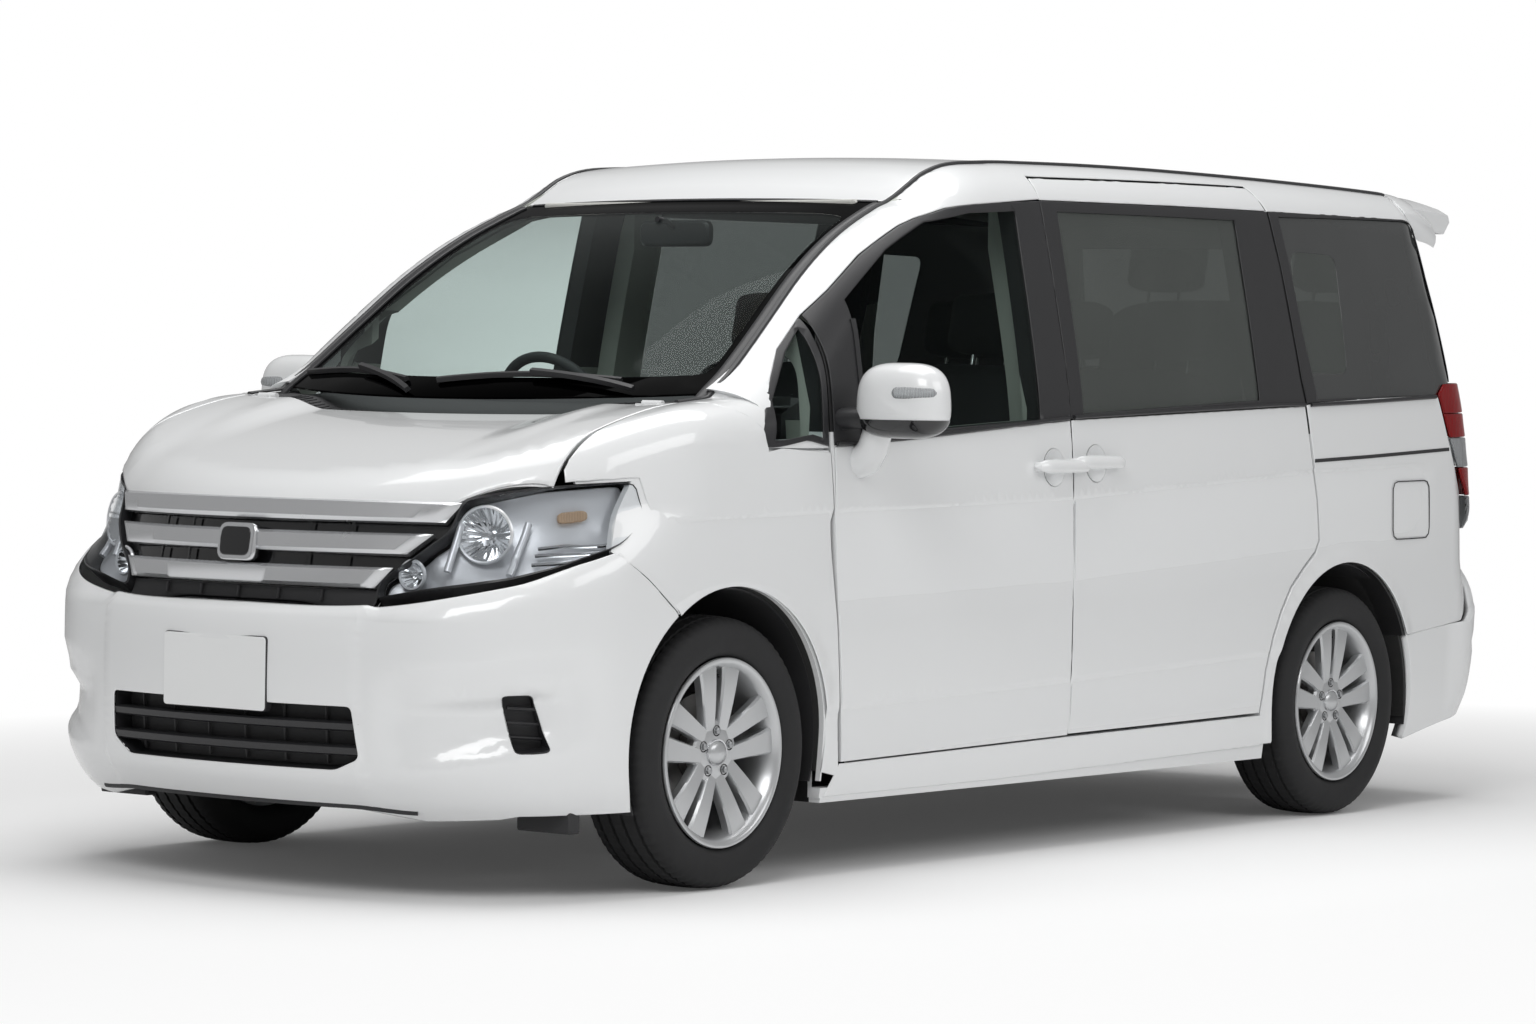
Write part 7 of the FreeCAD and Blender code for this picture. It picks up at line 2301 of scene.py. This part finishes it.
    def spoiler(self) -> Part:
        """The roof spoiler: the roof carried on behind, with a rounded end that wraps down each pillar.

        Each section runs back along the top, down a bulged lip and back under. The lip shrinks to the ends.

        Returns:
            The spoiler.
        """
        count, rows = 69, 14
        u = np.sin(steps(-1, 1, count) * np.pi / 2)[:, None]
        t = steps(0, 1, rows)
        y = FRONT + 3452 + (284 - 100 * u ** 4) * t
        x = u * (Form.half_width(y, np.full_like(y, 1640.0)) - 36)
        spots = LONG_CHART.strike(np.stack([x, y], axis=-1).reshape(-1, 2)).reshape(count, rows, 3)
        top = spots[..., 2] + LIFT - 40 * t ** 2.6
        deep = (8 + 104 * np.sin(np.minimum(t / 0.5, 1) * np.pi / 2) - 36 * t ** 2) * (1 - 0.3 * u ** 6)
        ring_x = np.concatenate([x, x[:, -1:], x[:, -1:], x[:, ::-1]], axis=1)
        ring_y = np.concatenate([y, y[:, -1:] + 15, y[:, -1:] + 13, y[:, ::-1]], axis=1)
        lip = top[:, -1:] - deep[:, -1:] * [0.35, 0.7]
        ring_z = np.concatenate([top, lip, (top - deep)[:, ::-1]], axis=1)
        return loft(np.stack([ring_x, ring_y, ring_z], axis=-1))


# ---------------------------------------------------------------- wheels
@dataclass
class Wheels:
    """Tyres with tread, rims with five pairs of spokes, discs, calipers and arch liners."""

    paints: Paintbox
    half_track: float = TRACK / 2
    spoke_pairs: int = 5
    grooves: tuple = (-56.0, -19.0, 19.0, 56.0)
    round_count: int = 216

    def tyre(self) -> Part:
        """The tyre: a closed profile turned about the axle, with sipes cut at every third place.

        Returns:
            The tyre.
        """
        side = [(-70, 226), (-86, 232), (-97, 246), (-102, 268), (-100, 290), (-93, 306), (-84, 316),
                (-74, 321)]
        tread = []
        for groove in self.grooves:
            tread += [(groove - 4.5, 0), (groove - 3.5, -7.5), (groove + 3.5, -7.5), (groove + 4.5, 0)]
        crown = [(x, TYRE_RADIUS - 4 * (abs(x) / 74) ** 2 + drop) for x, drop in tread]
        mirror = [(-x, r) for x, r in reversed(side)]
        inner = [(62, 218), (40, 214), (-40, 214), (-62, 218)]
        profile = np.array(side + crown + mirror + inner, float)
        part = turned(profile, self.round_count, closed=True)
        points = part.points.reshape(len(profile), self.round_count, 3)
        cut = np.zeros(self.round_count)
        cut[::3] = 1
        across, high = np.abs(profile[:, 0]), profile[:, 1]
        depth = np.where((across > 58) & (high > 312), 3.5, 0)[:, None] * cut
        middle = np.where((across < 54) & (high > 322), 2.0, 0)[:, None] * np.roll(cut, 1)
        r = np.hypot(points[..., 1], points[..., 2])
        points[..., 1:] *= ((r - depth - middle) / r)[..., None]
        ribs = 0.8 * np.exp(-((r - 262) / 3) ** 2) * np.sign(points[..., 0])
        points[..., 0] += ribs
        return outward(Part(points.reshape(-1, 3), part.faces))

    def rim(self) -> list[tuple[Part, str]]:
        """The barrel, the twin spokes, the hub with its nuts on gloss black discs of painted shade in place
        of wells, the bare cap and the valve.

        Returns:
            The parts and their finishes.
        """
        barrel = [(-72, 210), (-76, 226), (-70, 228), (-62, 213), (-40, 200), (20, 196), (62, 206), (78, 213),
                  (82, 226), (88, 228), (92, 226), (93, 220), (90, 213), (76, 205), (56, 197), (20, 188),
                  (-42, 192), (-64, 204)]
        parts = [(outward(turned(barrel, 96, closed=True)), "rim_silver")]
        t = steps(0, 1, 14)
        radius = 58 + (207 - 58) * t
        face = 66 + 10 * np.sin(t * np.pi * 0.6)
        for k in range(self.spoke_pairs):
            middle = np.pi / 2 + k * 2 * np.pi / self.spoke_pairs
            for sign in (-1, 1):
                angle = middle + sign * np.arcsin((24 + 21 * t) / radius)
                width = 18 + 13 * t + 3 * t ** 8
                path = np.stack([face, radius * np.cos(angle), radius * np.sin(angle)], axis=-1)
                along = unit(np.gradient(path, axis=0))
                out = np.tile([1.0, 0, 0], (14, 1))
                across = unit(np.cross(along, out))
                shape = np.array([[-0.9, -26], [-1, -4], [-0.84, 2], [0.84, 2], [1, -4], [0.9, -26]], float)
                points = path[:, None] + across[:, None] * shape[None, :, :1] * width[:, None, None] \
                    + out[:, None] * shape[None, :, 1:]
                parts.append((loft(points), "rim_silver"))
        hub = [(20, 0.01), (20, 66), (58, 80), (65, 76), (68, 68), (68, 30), (68, 0.01)]
        parts.append((outward(turned(hub, 60)), "rim_silver"))
        for k in range(5):
            angle = np.pi / 2 + k * 2 * np.pi / 5
            offset = (11, 52 * np.cos(angle), 52 * np.sin(angle))
            # Each nut sits on a flat gloss black disc that paints the shade of a well round it.
            nut_well_shade = turned([(56.8, 0.01), (56.8, 10.5), (58.2, 11.5), (58.4, 13.5), (56, 14)], 20)
            nut = turned([(52, 0.01), (52, 9), (64, 8.2), (66, 5), (66.5, 0.01)], 6)
            parts.append((outward(nut_well_shade.moved(np.eye(3), offset)), "gloss_black"))
            parts.append((outward(nut.moved(np.eye(3), offset)), "zinc_steel"))
        cap = outward(turned([(67, 0.01), (67, 29), (71, 30), (76, 26), (79, 16), (80, 0.01)], 40))
        cap.points = cap.points * [1, 1.12, 0.9]
        parts.append((cap, "rim_silver"))
        ring = outward(turned([(68, 30), (72, 31), (72.5, 34), (68, 35)], 40, closed=True))
        ring.points = ring.points * [1, 1.1, 0.92]
        parts.append((ring, "satin_chrome"))
        valve = np.array([[40, 12, 192], [52, 12, 186], [66, 12, 181]], float)
        parts.append((outward(tube(valve, np.array([5.0, 4.0, 3.2]), 10)), "satin_black"))
        return parts

    def disc(self) -> list[tuple[Part, str]]:
        """The vented brake disc with its bell and the dark shield behind it.

        Returns:
            The parts and their finishes.
        """
        disc = turned([(-2, 78), (-2, 138), (10, 138), (10, 78)], 72, closed=True)
        bell = turned([(4, 0.01), (4, 76), (22, 74), (30, 68), (32, 0.01)], 48)
        return [(outward(disc), "brake_steel"), (outward(bell), "cast_iron")]

    def caliper(self) -> list[tuple[Part, str]]:
        """A caliper that holds the disc at its rear."""
        outline = np.concatenate([arc((0, 0), 150, 20, 62, 12), arc((0, 0), 104, 62, 20, 12)])
        return [(prism(softened(outline, 8.0, 3), -22.0, 26.0, 0, 4.0), "cast_iron")]

    def build(self) -> None:
        """Build the wheels, the brakes and the liners."""
        tyre, rim, disc, caliper = self.tyre(), self.rim(), self.disc(), self.caliper()
        for end, y in (("front", FRONT), ("rear", REAR)):
            for side, sign in SIDES:
                body = f"wheel_{end}_{side}"
                centre = (self.half_track * sign, y, TYRE_RADIUS)
                piece = Piece(f"{end}_rim_{side}", body, self.paints)
                for part, finish in rim + disc:
                    piece.add(finish, self.placed(part, sign, centre))
                piece.make(f"{end}_wheel_{side}", slot="alloy")
                piece = Piece(f"{end}_tyre_tread_{side}", body, self.paints)
                piece.add("tyre_rubber", self.placed(tyre, sign, centre))
                piece.make(f"{end}_tyre_{side}", slot="tyre_rubber")
                holder = f"steering_knuckle_{side}" if end == "front" else "body_shell"
                piece = Piece(f"{end}_caliper_{side}", holder, self.paints)
                for part, finish in caliper:
                    piece.add(finish, self.placed(part, sign, centre))
                piece.make(slot="bare_metal")
        self.liners()

    @staticmethod
    def placed(part: Part, sign: int, centre: Sequence[float]) -> Part:
        """A wheel part put on one side."""
        part = part if sign > 0 else part.mirrored()
        return Part(part.points + centre, part.faces, part.normals, part.smooth)

    def liners(self) -> None:
        """Black arch liners: part cylinders inside the arches."""
        piece = Piece("arch_liners", "body_shell", self.paints)
        for centre, inner, low, high in ((ARCH_FRONT, 364.0, -18.0, 205.0), (ARCH_REAR, 394.0, -12.0, 195.0)):
            angle = np.radians(steps(low, high, 40))
            rows = []
            for x, r in ((560.0, 0.0), (812.0, 0.0), (812.0, 5.0), (560.0, 5.0)):
                radius = inner + r
                rows.append(np.stack([np.full(40, x), centre[0] + FRONT + radius * np.cos(angle),
                                      centre[1] + radius * np.sin(angle)], axis=-1))
            piece.both("textured_black", loft(np.stack(rows, axis=1)))
        piece.make(slot="black_trim")


# ---------------------------------------------------------------- cabin
@dataclass
class Cabin:
    """Seats, steering wheel, dashboard parts, inner mirror and trims."""

    paints: Paintbox
    floor: float = 292.0
    rear_floor: float = 515.0

    def cushion(self, name: str, centre: Sequence[float], size: Sequence[float], lean: float, finish: str,
                voxel: float, body: str = "body_shell") -> bpy.types.Object:
        """A padded block: a superellipsoid |x|^n + |y|^n + |z|^n = 1, puffed by a short cloth run and capped.

        Args:
            name: The piece's name.
            centre: Its middle.
            size: Its full width, depth and height.
            lean: Its turn about X in degrees.
            finish: The cloth.
            voxel: Remesh size in millimetres.
            body: The body that it rides on.

        Returns:
            The piece.
        """
        u, v = np.meshgrid(turns(96), steps(-np.pi / 2, np.pi / 2, 49))
        w, d, h = (s / 2 for s in size)
        p = 0.34
        x = w * signed_power(np.cos(v), p) * signed_power(np.cos(u), p)
        y = d * signed_power(np.cos(v), p) * signed_power(np.sin(u), p)
        z = h * signed_power(np.sin(v), p)
        flat = int(np.argmin(size))
        block = np.stack([x, y, z], axis=-1).reshape(-1, 3)
        others = [i for i in range(3) if i != flat]
        reach = np.clip(np.abs(block[:, others] / (np.array(size)[others] / 2)), 0, 1)
        crown = 0.80 + 0.20 * (1 - reach[:, 0] ** 2) * (1 - reach[:, 1] ** 2)
        block[:, flat] *= crown
        for share in (0.36, -0.36) if size[0] < 700 else (0.36, 0.0, -0.36):
            seam = np.exp(-((block[:, 0] - share * size[0]) / 9) ** 2)
            block[:, flat] *= 1 - 0.10 * seam
        angle = np.radians(lean)
        turn = np.array([[1, 0, 0], [0, np.cos(angle), -np.sin(angle)], [0, np.sin(angle), np.cos(angle)]])
        faces = grid_faces(49, 96, wrap=True)
        part = outward(Part(block @ turn.T + centre, faces))
        piece = Piece(name, body, self.paints)
        piece.add(finish, part)
        item = piece.make(slot="seat_cloth")
        welded = bmesh.new()
        welded.from_mesh(item.data)
        bmesh.ops.remove_doubles(welded, verts=welded.verts, dist=0.0002)
        bmesh.ops.dissolve_degenerate(welded, edges=welded.edges, dist=0.0001)
        bmesh.ops.recalc_face_normals(welded, faces=welded.faces)
        welded.to_mesh(item.data)
        welded.free()
        for polygon in item.data.polygons:
            polygon.use_smooth = True
        self.puff(item, voxel)
        return item

    @staticmethod
    def puff(item: bpy.types.Object, voxel: float, cap: float = 0.012) -> None:
        """Inflate a piece with cloth pressure and keep each point's move under a cap.

        Args:
            item: The piece.
            voxel: Remesh size in millimetres.
            cap: The furthest that a point may move, in metres.
        """
        remesh = item.modifiers.new("even", "REMESH")
        remesh.mode, remesh.voxel_size = "VOXEL", voxel * METRE
        graph = bpy.context.evaluated_depsgraph_get()
        finish = item.data.materials[0]
        mesh = bpy.data.meshes.new_from_object(item.evaluated_get(graph))
        item.modifiers.clear()
        item.data = mesh
        if not mesh.materials:
            mesh.materials.append(finish)
        before = np.zeros(len(mesh.vertices) * 3)
        mesh.vertices.foreach_get("co", before)
        before = before.reshape(-1, 3)
        cloth = item.modifiers.new("cloth", "CLOTH")
        cloth.settings.quality = 3
        cloth.settings.use_pressure = True
        cloth.settings.uniform_pressure_force = 4.0
        cloth.settings.effector_weights.gravity = 0.0
        scene = bpy.context.scene
        for frame in range(1, 15):
            scene.frame_set(frame)
        graph = bpy.context.evaluated_depsgraph_get()
        made = item.evaluated_get(graph).to_mesh()
        after = np.zeros(len(made.vertices) * 3)
        made.vertices.foreach_get("co", after)
        after = after.reshape(-1, 3)
        item.evaluated_get(graph).to_mesh_clear()
        item.modifiers.clear()
        scene.frame_set(1)
        move = after - before
        size = np.linalg.norm(move, axis=1, keepdims=True)
        move *= np.minimum(1, cap / np.maximum(size, 1e-9))
        mesh.vertices.foreach_set("co", (before + move).ravel())
        mesh.polygons.foreach_set("use_smooth", np.ones(len(mesh.polygons), bool))
        mesh.update()

    def seat(self, name: str, x: float, y: float, width: float, floor: float, heads: Sequence[float],
             replaced: str) -> None:
        """A seat or a bench: cushion, back, headrests on posts, and a plinth.

        Args:
            name: Start of the pieces' names.
            x: Its middle.
            y: Its middle.
            width: Its width.
            floor: Level that it stands on.
            heads: X of each headrest from the middle.
            replaced: The node that its frame replaces.
        """
        single = width < 700
        voxel = 7.0 if single else 10.0
        self.cushion(f"{name}_cushion", (x, y - 20, floor + 355), (width, 510, 140), 4.0, "seat_cloth", voxel)
        self.cushion(f"{name}_back", (x, y + 262, floor + 690), (width * 0.97, 125, 600), -15.0, "seat_cloth",
                     voxel)
        for i, at in enumerate(heads):
            self.cushion(f"{name}_headrest_{i + 1}", (x + at, y + 352, floor + 1085), (265, 100, 165), -12.0,
                         "seat_bolster", 6.0)
        piece = Piece(f"{name}_frame", "body_shell", self.paints)
        for at in heads:
            for place in (x + at - 55.0, x + at + 55.0):
                path = np.array([[place, y + 322, floor + 950], [place, y + 345, floor + 1050]], float)
                piece.add("bright_chrome", outward(tube(path, 6.0, 12)))
        piece.add("dash_plastic", cuboid((x - width * 0.42, y - 210, floor + 1),
                                         (x + width * 0.42, y + 190, floor + 285), 18.0))
        if single:
            for edge in (x - width / 2 + 15, x + width / 2 - 15):
                piece.add("dash_plastic", cuboid((edge - 19, y - 200, floor + 250),
                                                 (edge + 19, y + 230, floor + 350), 12.0))
        piece.make(replaced, slot="interior")

    def build(self) -> None:
        """Build the cabin."""
        for word, sign in (("driver_side", -1), ("passenger_side", 1)):
            self.seat(f"{word}_seat", 375.0 * sign, 1400 + FRONT, 520.0, self.floor, (0.0,), "front_seats")
        self.seat("second_row_seat", 0.0, 2330 + FRONT, 1180.0, self.floor, (-370.0, 0.0, 370.0),
                  "rear_seats")
        self.seat("third_row_seat", 0.0, 3330 + FRONT, 1040.0, self.rear_floor, (-300.0, 300.0), "rear_seats")
        self.steering_wheel()
        self.dash()

    def steering_wheel(self) -> None:
        """A rim, three spokes and a padded hub, all round the leaned column."""
        centre, lean = np.array([-375.0, 800 + FRONT, 1105.0]), np.radians(25)
        axis = np.array([0, np.cos(lean), np.sin(lean)])
        up = np.array([0, -np.sin(lean), np.cos(lean)])
        right = np.array([1.0, 0, 0])
        angle = turns(72)
        ring = centre + 178 * (np.cos(angle)[:, None] * right + np.sin(angle)[:, None] * up)
        piece = Piece("steering_wheel_rim", "steering_wheel", self.paints)
        piece.add("dash_plastic", outward(tube(ring, 14.5, 14, 1.0, axis, closed=True)))
        for a in (np.radians(0), np.radians(180), np.radians(270)):
            way = np.cos(a) * right + np.sin(a) * up
            dip = 14 * np.sin(steps(0, np.pi, 8))
            path = centre + way * steps(40, 176, 8)[:, None] - axis * dip[:, None]
            girth = np.interp(steps(0, 1, 8), [0, 1], [26, 15])
            piece.add("dash_plastic", outward(tube(path, girth, 12, 0.45, axis)))
        turn = np.stack([-axis, right, np.cross(-axis, right)], axis=1)
        hub = turned([(-40, 0.01), (-40, 40), (-6, 72), (10, 70), (22, 50), (27, 0.01)], 48)
        piece.add("dash_plastic", outward(hub.moved(turn, centre)))
        cap = np.stack([centre + axis * 20, centre + axis * 21])
        piece.add("dash_plastic", outward(tube(cap, 20.0, 12)))
        piece.make("steering_wheel", slot="interior")

    def dash(self) -> None:
        """The instrument hood, vents, centre panel, glove box line, inner mirror and sun visors."""
        piece = Piece("dashboard_fittings", "body_shell", self.paints)
        u = steps(-1, 1, 31)
        v = steps(0, 1, 12)
        gu, gv = np.meshgrid(u, v)
        x = -375 + 175 * gu
        y = 610 + FRONT + 190 * gv
        z = 1080 + 72 * (1 - gu ** 4) * np.sin(gv * np.pi * 0.6) ** 0.6
        top = np.stack([x, y, z], axis=-1).reshape(-1, 3)
        base = top.copy()
        base[:, 2] = 1050
        faces = grid_faces(12, 31)
        size = len(top)
        order = np.concatenate([np.arange(31), np.arange(1, 12) * 31 + 30, 11 * 31 + np.arange(29, -1, -1),
                                np.arange(10, 0, -1) * 31])
        after = np.roll(order, -1)
        walls = np.stack([order, order + size, after + size, after], axis=-1)
        every = np.concatenate([faces, faces[:, ::-1] + size, walls[:, ::-1]])
        piece.add("dash_plastic", outward(Part(np.concatenate([top, base]), every)))
        piece.add("light_trim", cuboid((-110, 800 + FRONT, 760), (110, 848 + FRONT, 1010), 14.0))
        for x0 in (-620.0, -60.0, 60.0, 620.0):
            piece.add("satin_black", cuboid((x0 - 45, 815 + FRONT, 985), (x0 + 45, 850 + FRONT, 1040), 10.0))
        mirror = plaque((-115, 1560), (115, 1628), 24.0)
        piece.add("satin_black", prism(mirror, 812 + FRONT, 842 + FRONT, 1, 7.0))
        stalk = np.array([[0, 815 + FRONT, 1610], [0, 780 + FRONT, 1625], [0, 745 + FRONT, 1628]], float)
        piece.add("satin_black", outward(tube(stalk, 8.0, 10)))
        for sign in (-1, 1):
            visor = cuboid((sign * 330 - 190, 900 + FRONT, 1664), (sign * 330 + 190, 1060 + FRONT, 1682), 7.0)
            piece.add("headlining", visor)
        piece.make(slot="interior")


# ---------------------------------------------------------------- carried-over solids
@dataclass(frozen=True)
class Jamb(Finish):
    """Paint on a door's or a side's outer edges, and trim on its inner side, by the distance from the middle.

    Lengths are in metres, because a material reads them from the piece's own coordinates, but the arches are
    millimetres behind the front axle, up and in radius.
    """

    inside: Colour = (0.42, 0.44, 0.40)
    black: Colour = (0.02, 0.02, 0.021)
    reach: float = 0.79
    pillar_reach: float = 0.69
    pillar_y: float = -1.12
    lean: float = 0.3
    lean_from: float = 1.15
    belt: float = 1.09
    windows_from: float = -1.2
    floor: float = 0.42
    arch_margin: float = 0.15
    arches: tuple = ((*ARCH_FRONT, 374.0), (*ARCH_REAR, 404.0))

    def colours(self, s: Shader) -> Value:
        """Trim on the inner side, black round the windows and in the wheel arches, and paint elsewhere.

        The inner side is where |x| is under its reach, less its lean for each metre over a level. An arch is
        within its radius of its centre in Y and Z, or within the margin more on the inner side.

        Args:
            s: The material being built.

        Returns:
            The colour.
        """
        x, y, z = s.axes()
        away = s.node("ShaderNodeMath", {"operation": "ABSOLUTE"}, {0: x})
        over = s.node("ShaderNodeMath", {"operation": "MAXIMUM"}, {0: z - self.lean_from, 1: 0.0}) * self.lean
        inner = (away + over + (y < self.pillar_y) * (self.reach - self.pillar_reach)) < self.reach
        dark, wide = (z > self.belt) * (y > self.windows_from), z < self.floor
        for behind, up, size in self.arches:
            along, high, radius = y - (FRONT + behind) * METRE, z - up * METRE, size * METRE
            far = along * along + high * high
            dark = (dark + (far < radius ** 2)).clamped()
            wide = (wide + (far < (radius + self.arch_margin) ** 2)).clamped()
        black = rgba(self.black)
        outer = s.mix(dark, rgba(self.colour), black)
        return s.mix(inner, outer, s.mix(wide, rgba(self.inside), black))


@dataclass
class Carried:
    """Finishes for the solids that stay in sight."""

    paints: Paintbox
    frame: dict
    table: tuple = (("underbody_coat", "floor_pan front_subframe"), ("dash_plastic", "dashboard"),
                    ("cast_iron", "engine_block rear_axle knuckle_left knuckle_right"),
                    ("exhaust_steel", "exhaust"), ("headlining", "roof_panel"),
                    ("body_paint", "hood tailgate front_fenders"),
                    ("textured_black", "front_bumper rear_bumper"),
                    ("door_jamb", "front_door_left front_door_right sliding_door_left sliding_door_right "
                                  "body_side_left body_side_right"))

    def build(self) -> None:
        """Dress each solid's slots."""
        self.paints.known["door_jamb"] = Jamb("door_jamb", (0.80, 0.81, 0.815), 0.42, grain=0.0001)
        for finish, names in self.table:
            for name in names.split():
                mesh = self.frame["nodes"][name].data
                if not mesh.materials:
                    mesh.materials.append(None)
                for i in range(len(mesh.materials)):
                    mesh.materials[i] = self.paints.get(finish)
                LOG.info("%s: %s", name, finish)


# ---------------------------------------------------------------- studio
@dataclass
class Studio:
    """Floor, lamps, white surroundings and the camera."""

    paints: Paintbox
    camera: tuple = (7.63380, -10.22196, 1.20101)
    turn: tuple = (37.376, 1.5515, 0.9808)
    focal: float = 4673.96
    width: float = 1536.0
    floor: float = 0.85
    glow: float = 0.05

    def build(self) -> None:
        """Build the studio."""
        self.set_camera()
        self.set_floor()
        self.set_world()
        self.lamp("key", (3.2, -6.8, 5.6), (0.0, -0.8, 0.6), 4.0, 3.0, 190.0)
        self.lamp("side", (7.5, 0.5, 4.8), (0.5, 0.2, 0.7), 6.0, 3.0, 125.0)
        self.lamp("top", (0.0, 0.0, 6.0), (0.0, 0.0, 0.0), 4.5, 6.5, 235.0)
        bpy.context.scene.view_settings.view_transform = "Standard"

    def set_camera(self) -> None:
        """The camera from its yaw, pitch and roll."""
        yaw, pitch, roll = np.radians(self.turn)
        d = np.array([-np.sin(yaw) * np.cos(pitch), np.cos(yaw) * np.cos(pitch), -np.sin(pitch)])
        r = np.array([np.cos(yaw), np.sin(yaw), 0.0])
        u = np.cross(r, d)
        right, up = np.cos(roll) * r + np.sin(roll) * u, -np.sin(roll) * r + np.cos(roll) * u
        data = bpy.data.cameras.new("camera")
        data.sensor_width, data.sensor_fit = 36.0, "HORIZONTAL"
        data.lens = self.focal / self.width * 36.0
        data.clip_end = 200.0
        item = bpy.data.objects.new("camera", data)
        matrix = np.eye(4)
        matrix[:3, 0], matrix[:3, 1], matrix[:3, 2], matrix[:3, 3] = right, up, -d, self.camera
        item.matrix_world = Matrix(matrix.tolist())
        bpy.context.scene.collection.objects.link(item)
        bpy.context.scene.camera = item

    def set_floor(self) -> None:
        """A wide pale floor, lifted to white for the camera only as far as its glow."""
        mesh = bpy.data.meshes.new("floor")
        reach = 60.0
        mesh.from_pydata([(-reach, -reach, 0), (reach, -reach, 0), (reach, reach, 0), (-reach, reach, 0)], [],
                         [(0, 1, 2, 3)])
        s = Shader("floor")
        soft = s.node("ShaderNodeBsdfDiffuse", {}, {"Color": rgba((self.floor,) * 3)})
        path = s.node("ShaderNodeLightPath", {}, {}, "Is Camera Ray")
        glow, white = (s.node("ShaderNodeEmission", {}, {"Color": rgba((1.0, 1.0, 1.0)), "Strength": power})
                       for power in (path * self.glow, 1.0))
        near = s.node("ShaderNodeAddShader", {}, {0: soft, 1: glow})
        x, y = s.axes()[:2]
        away = s.node("ShaderNodeMath", {"operation": "SQRT"}, {0: x * x + (y * y) * 0.5})
        fade = ((away - 2.2) * 0.45).clamped() * path
        mesh.materials.append(s.done(s.node("ShaderNodeMixShader", {}, {0: fade, 1: near, 2: white})))
        item = bpy.data.objects.new("floor", mesh)
        bpy.context.scene.collection.objects.link(item)

    def set_world(self) -> None:
        """White for the camera and in glass, and an even grey for light."""
        world = bpy.data.worlds.new("surroundings")
        bpy.context.scene.world = world
        world.use_nodes = True
        tree = world.node_tree
        tree.nodes.clear()
        out = tree.nodes.new("ShaderNodeOutputWorld")
        light, white = tree.nodes.new("ShaderNodeBackground"), tree.nodes.new("ShaderNodeBackground")
        light.inputs["Color"].default_value, light.inputs["Strength"].default_value = (1, 1, 1, 1), 0.33
        white.inputs["Color"].default_value, white.inputs["Strength"].default_value = (1, 1, 1, 1), 1.0
        path, mix = tree.nodes.new("ShaderNodeLightPath"), tree.nodes.new("ShaderNodeMixShader")
        tree.links.new(path.outputs["Is Camera Ray"], mix.inputs[0])
        tree.links.new(light.outputs[0], mix.inputs[1])
        tree.links.new(white.outputs[0], mix.inputs[2])
        tree.links.new(mix.outputs[0], out.inputs["Surface"])

    @staticmethod
    def lamp(name: str, place: Sequence[float], aim: Sequence[float], width: float, height: float,
             power: float) -> None:
        """One soft rectangle of light.

        Args:
            name: Its name.
            place: Its middle in metres.
            aim: The point that it faces.
            width: Its width.
            height: Its height.
            power: Its power in watts.
        """
        data = bpy.data.lights.new(name, "AREA")
        data.shape, data.size, data.size_y, data.energy = "RECTANGLE", width, height, power
        item = bpy.data.objects.new(name, data)
        back = unit(np.array(place) - np.array(aim))
        right = unit(np.cross([0.0, 0.001, 1.0], back))
        matrix = np.eye(4)
        matrix[:3, 0], matrix[:3, 1], matrix[:3, 2], matrix[:3, 3] = right, np.cross(back, right), back, place
        item.matrix_world = Matrix(matrix.tolist())
        bpy.context.scene.collection.objects.link(item)


def main() -> None:
    """Build everything in order."""
    logging.basicConfig(level=logging.INFO, format="%(message)s")
    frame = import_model()
    paints = Paintbox()
    Carried(paints, frame).build()
    for part in (Sides, Top, Nose, Tail, Wheels, Cabin, Studio):
        part(paints).build()
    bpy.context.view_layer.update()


if __name__ == "__main__":
    main()
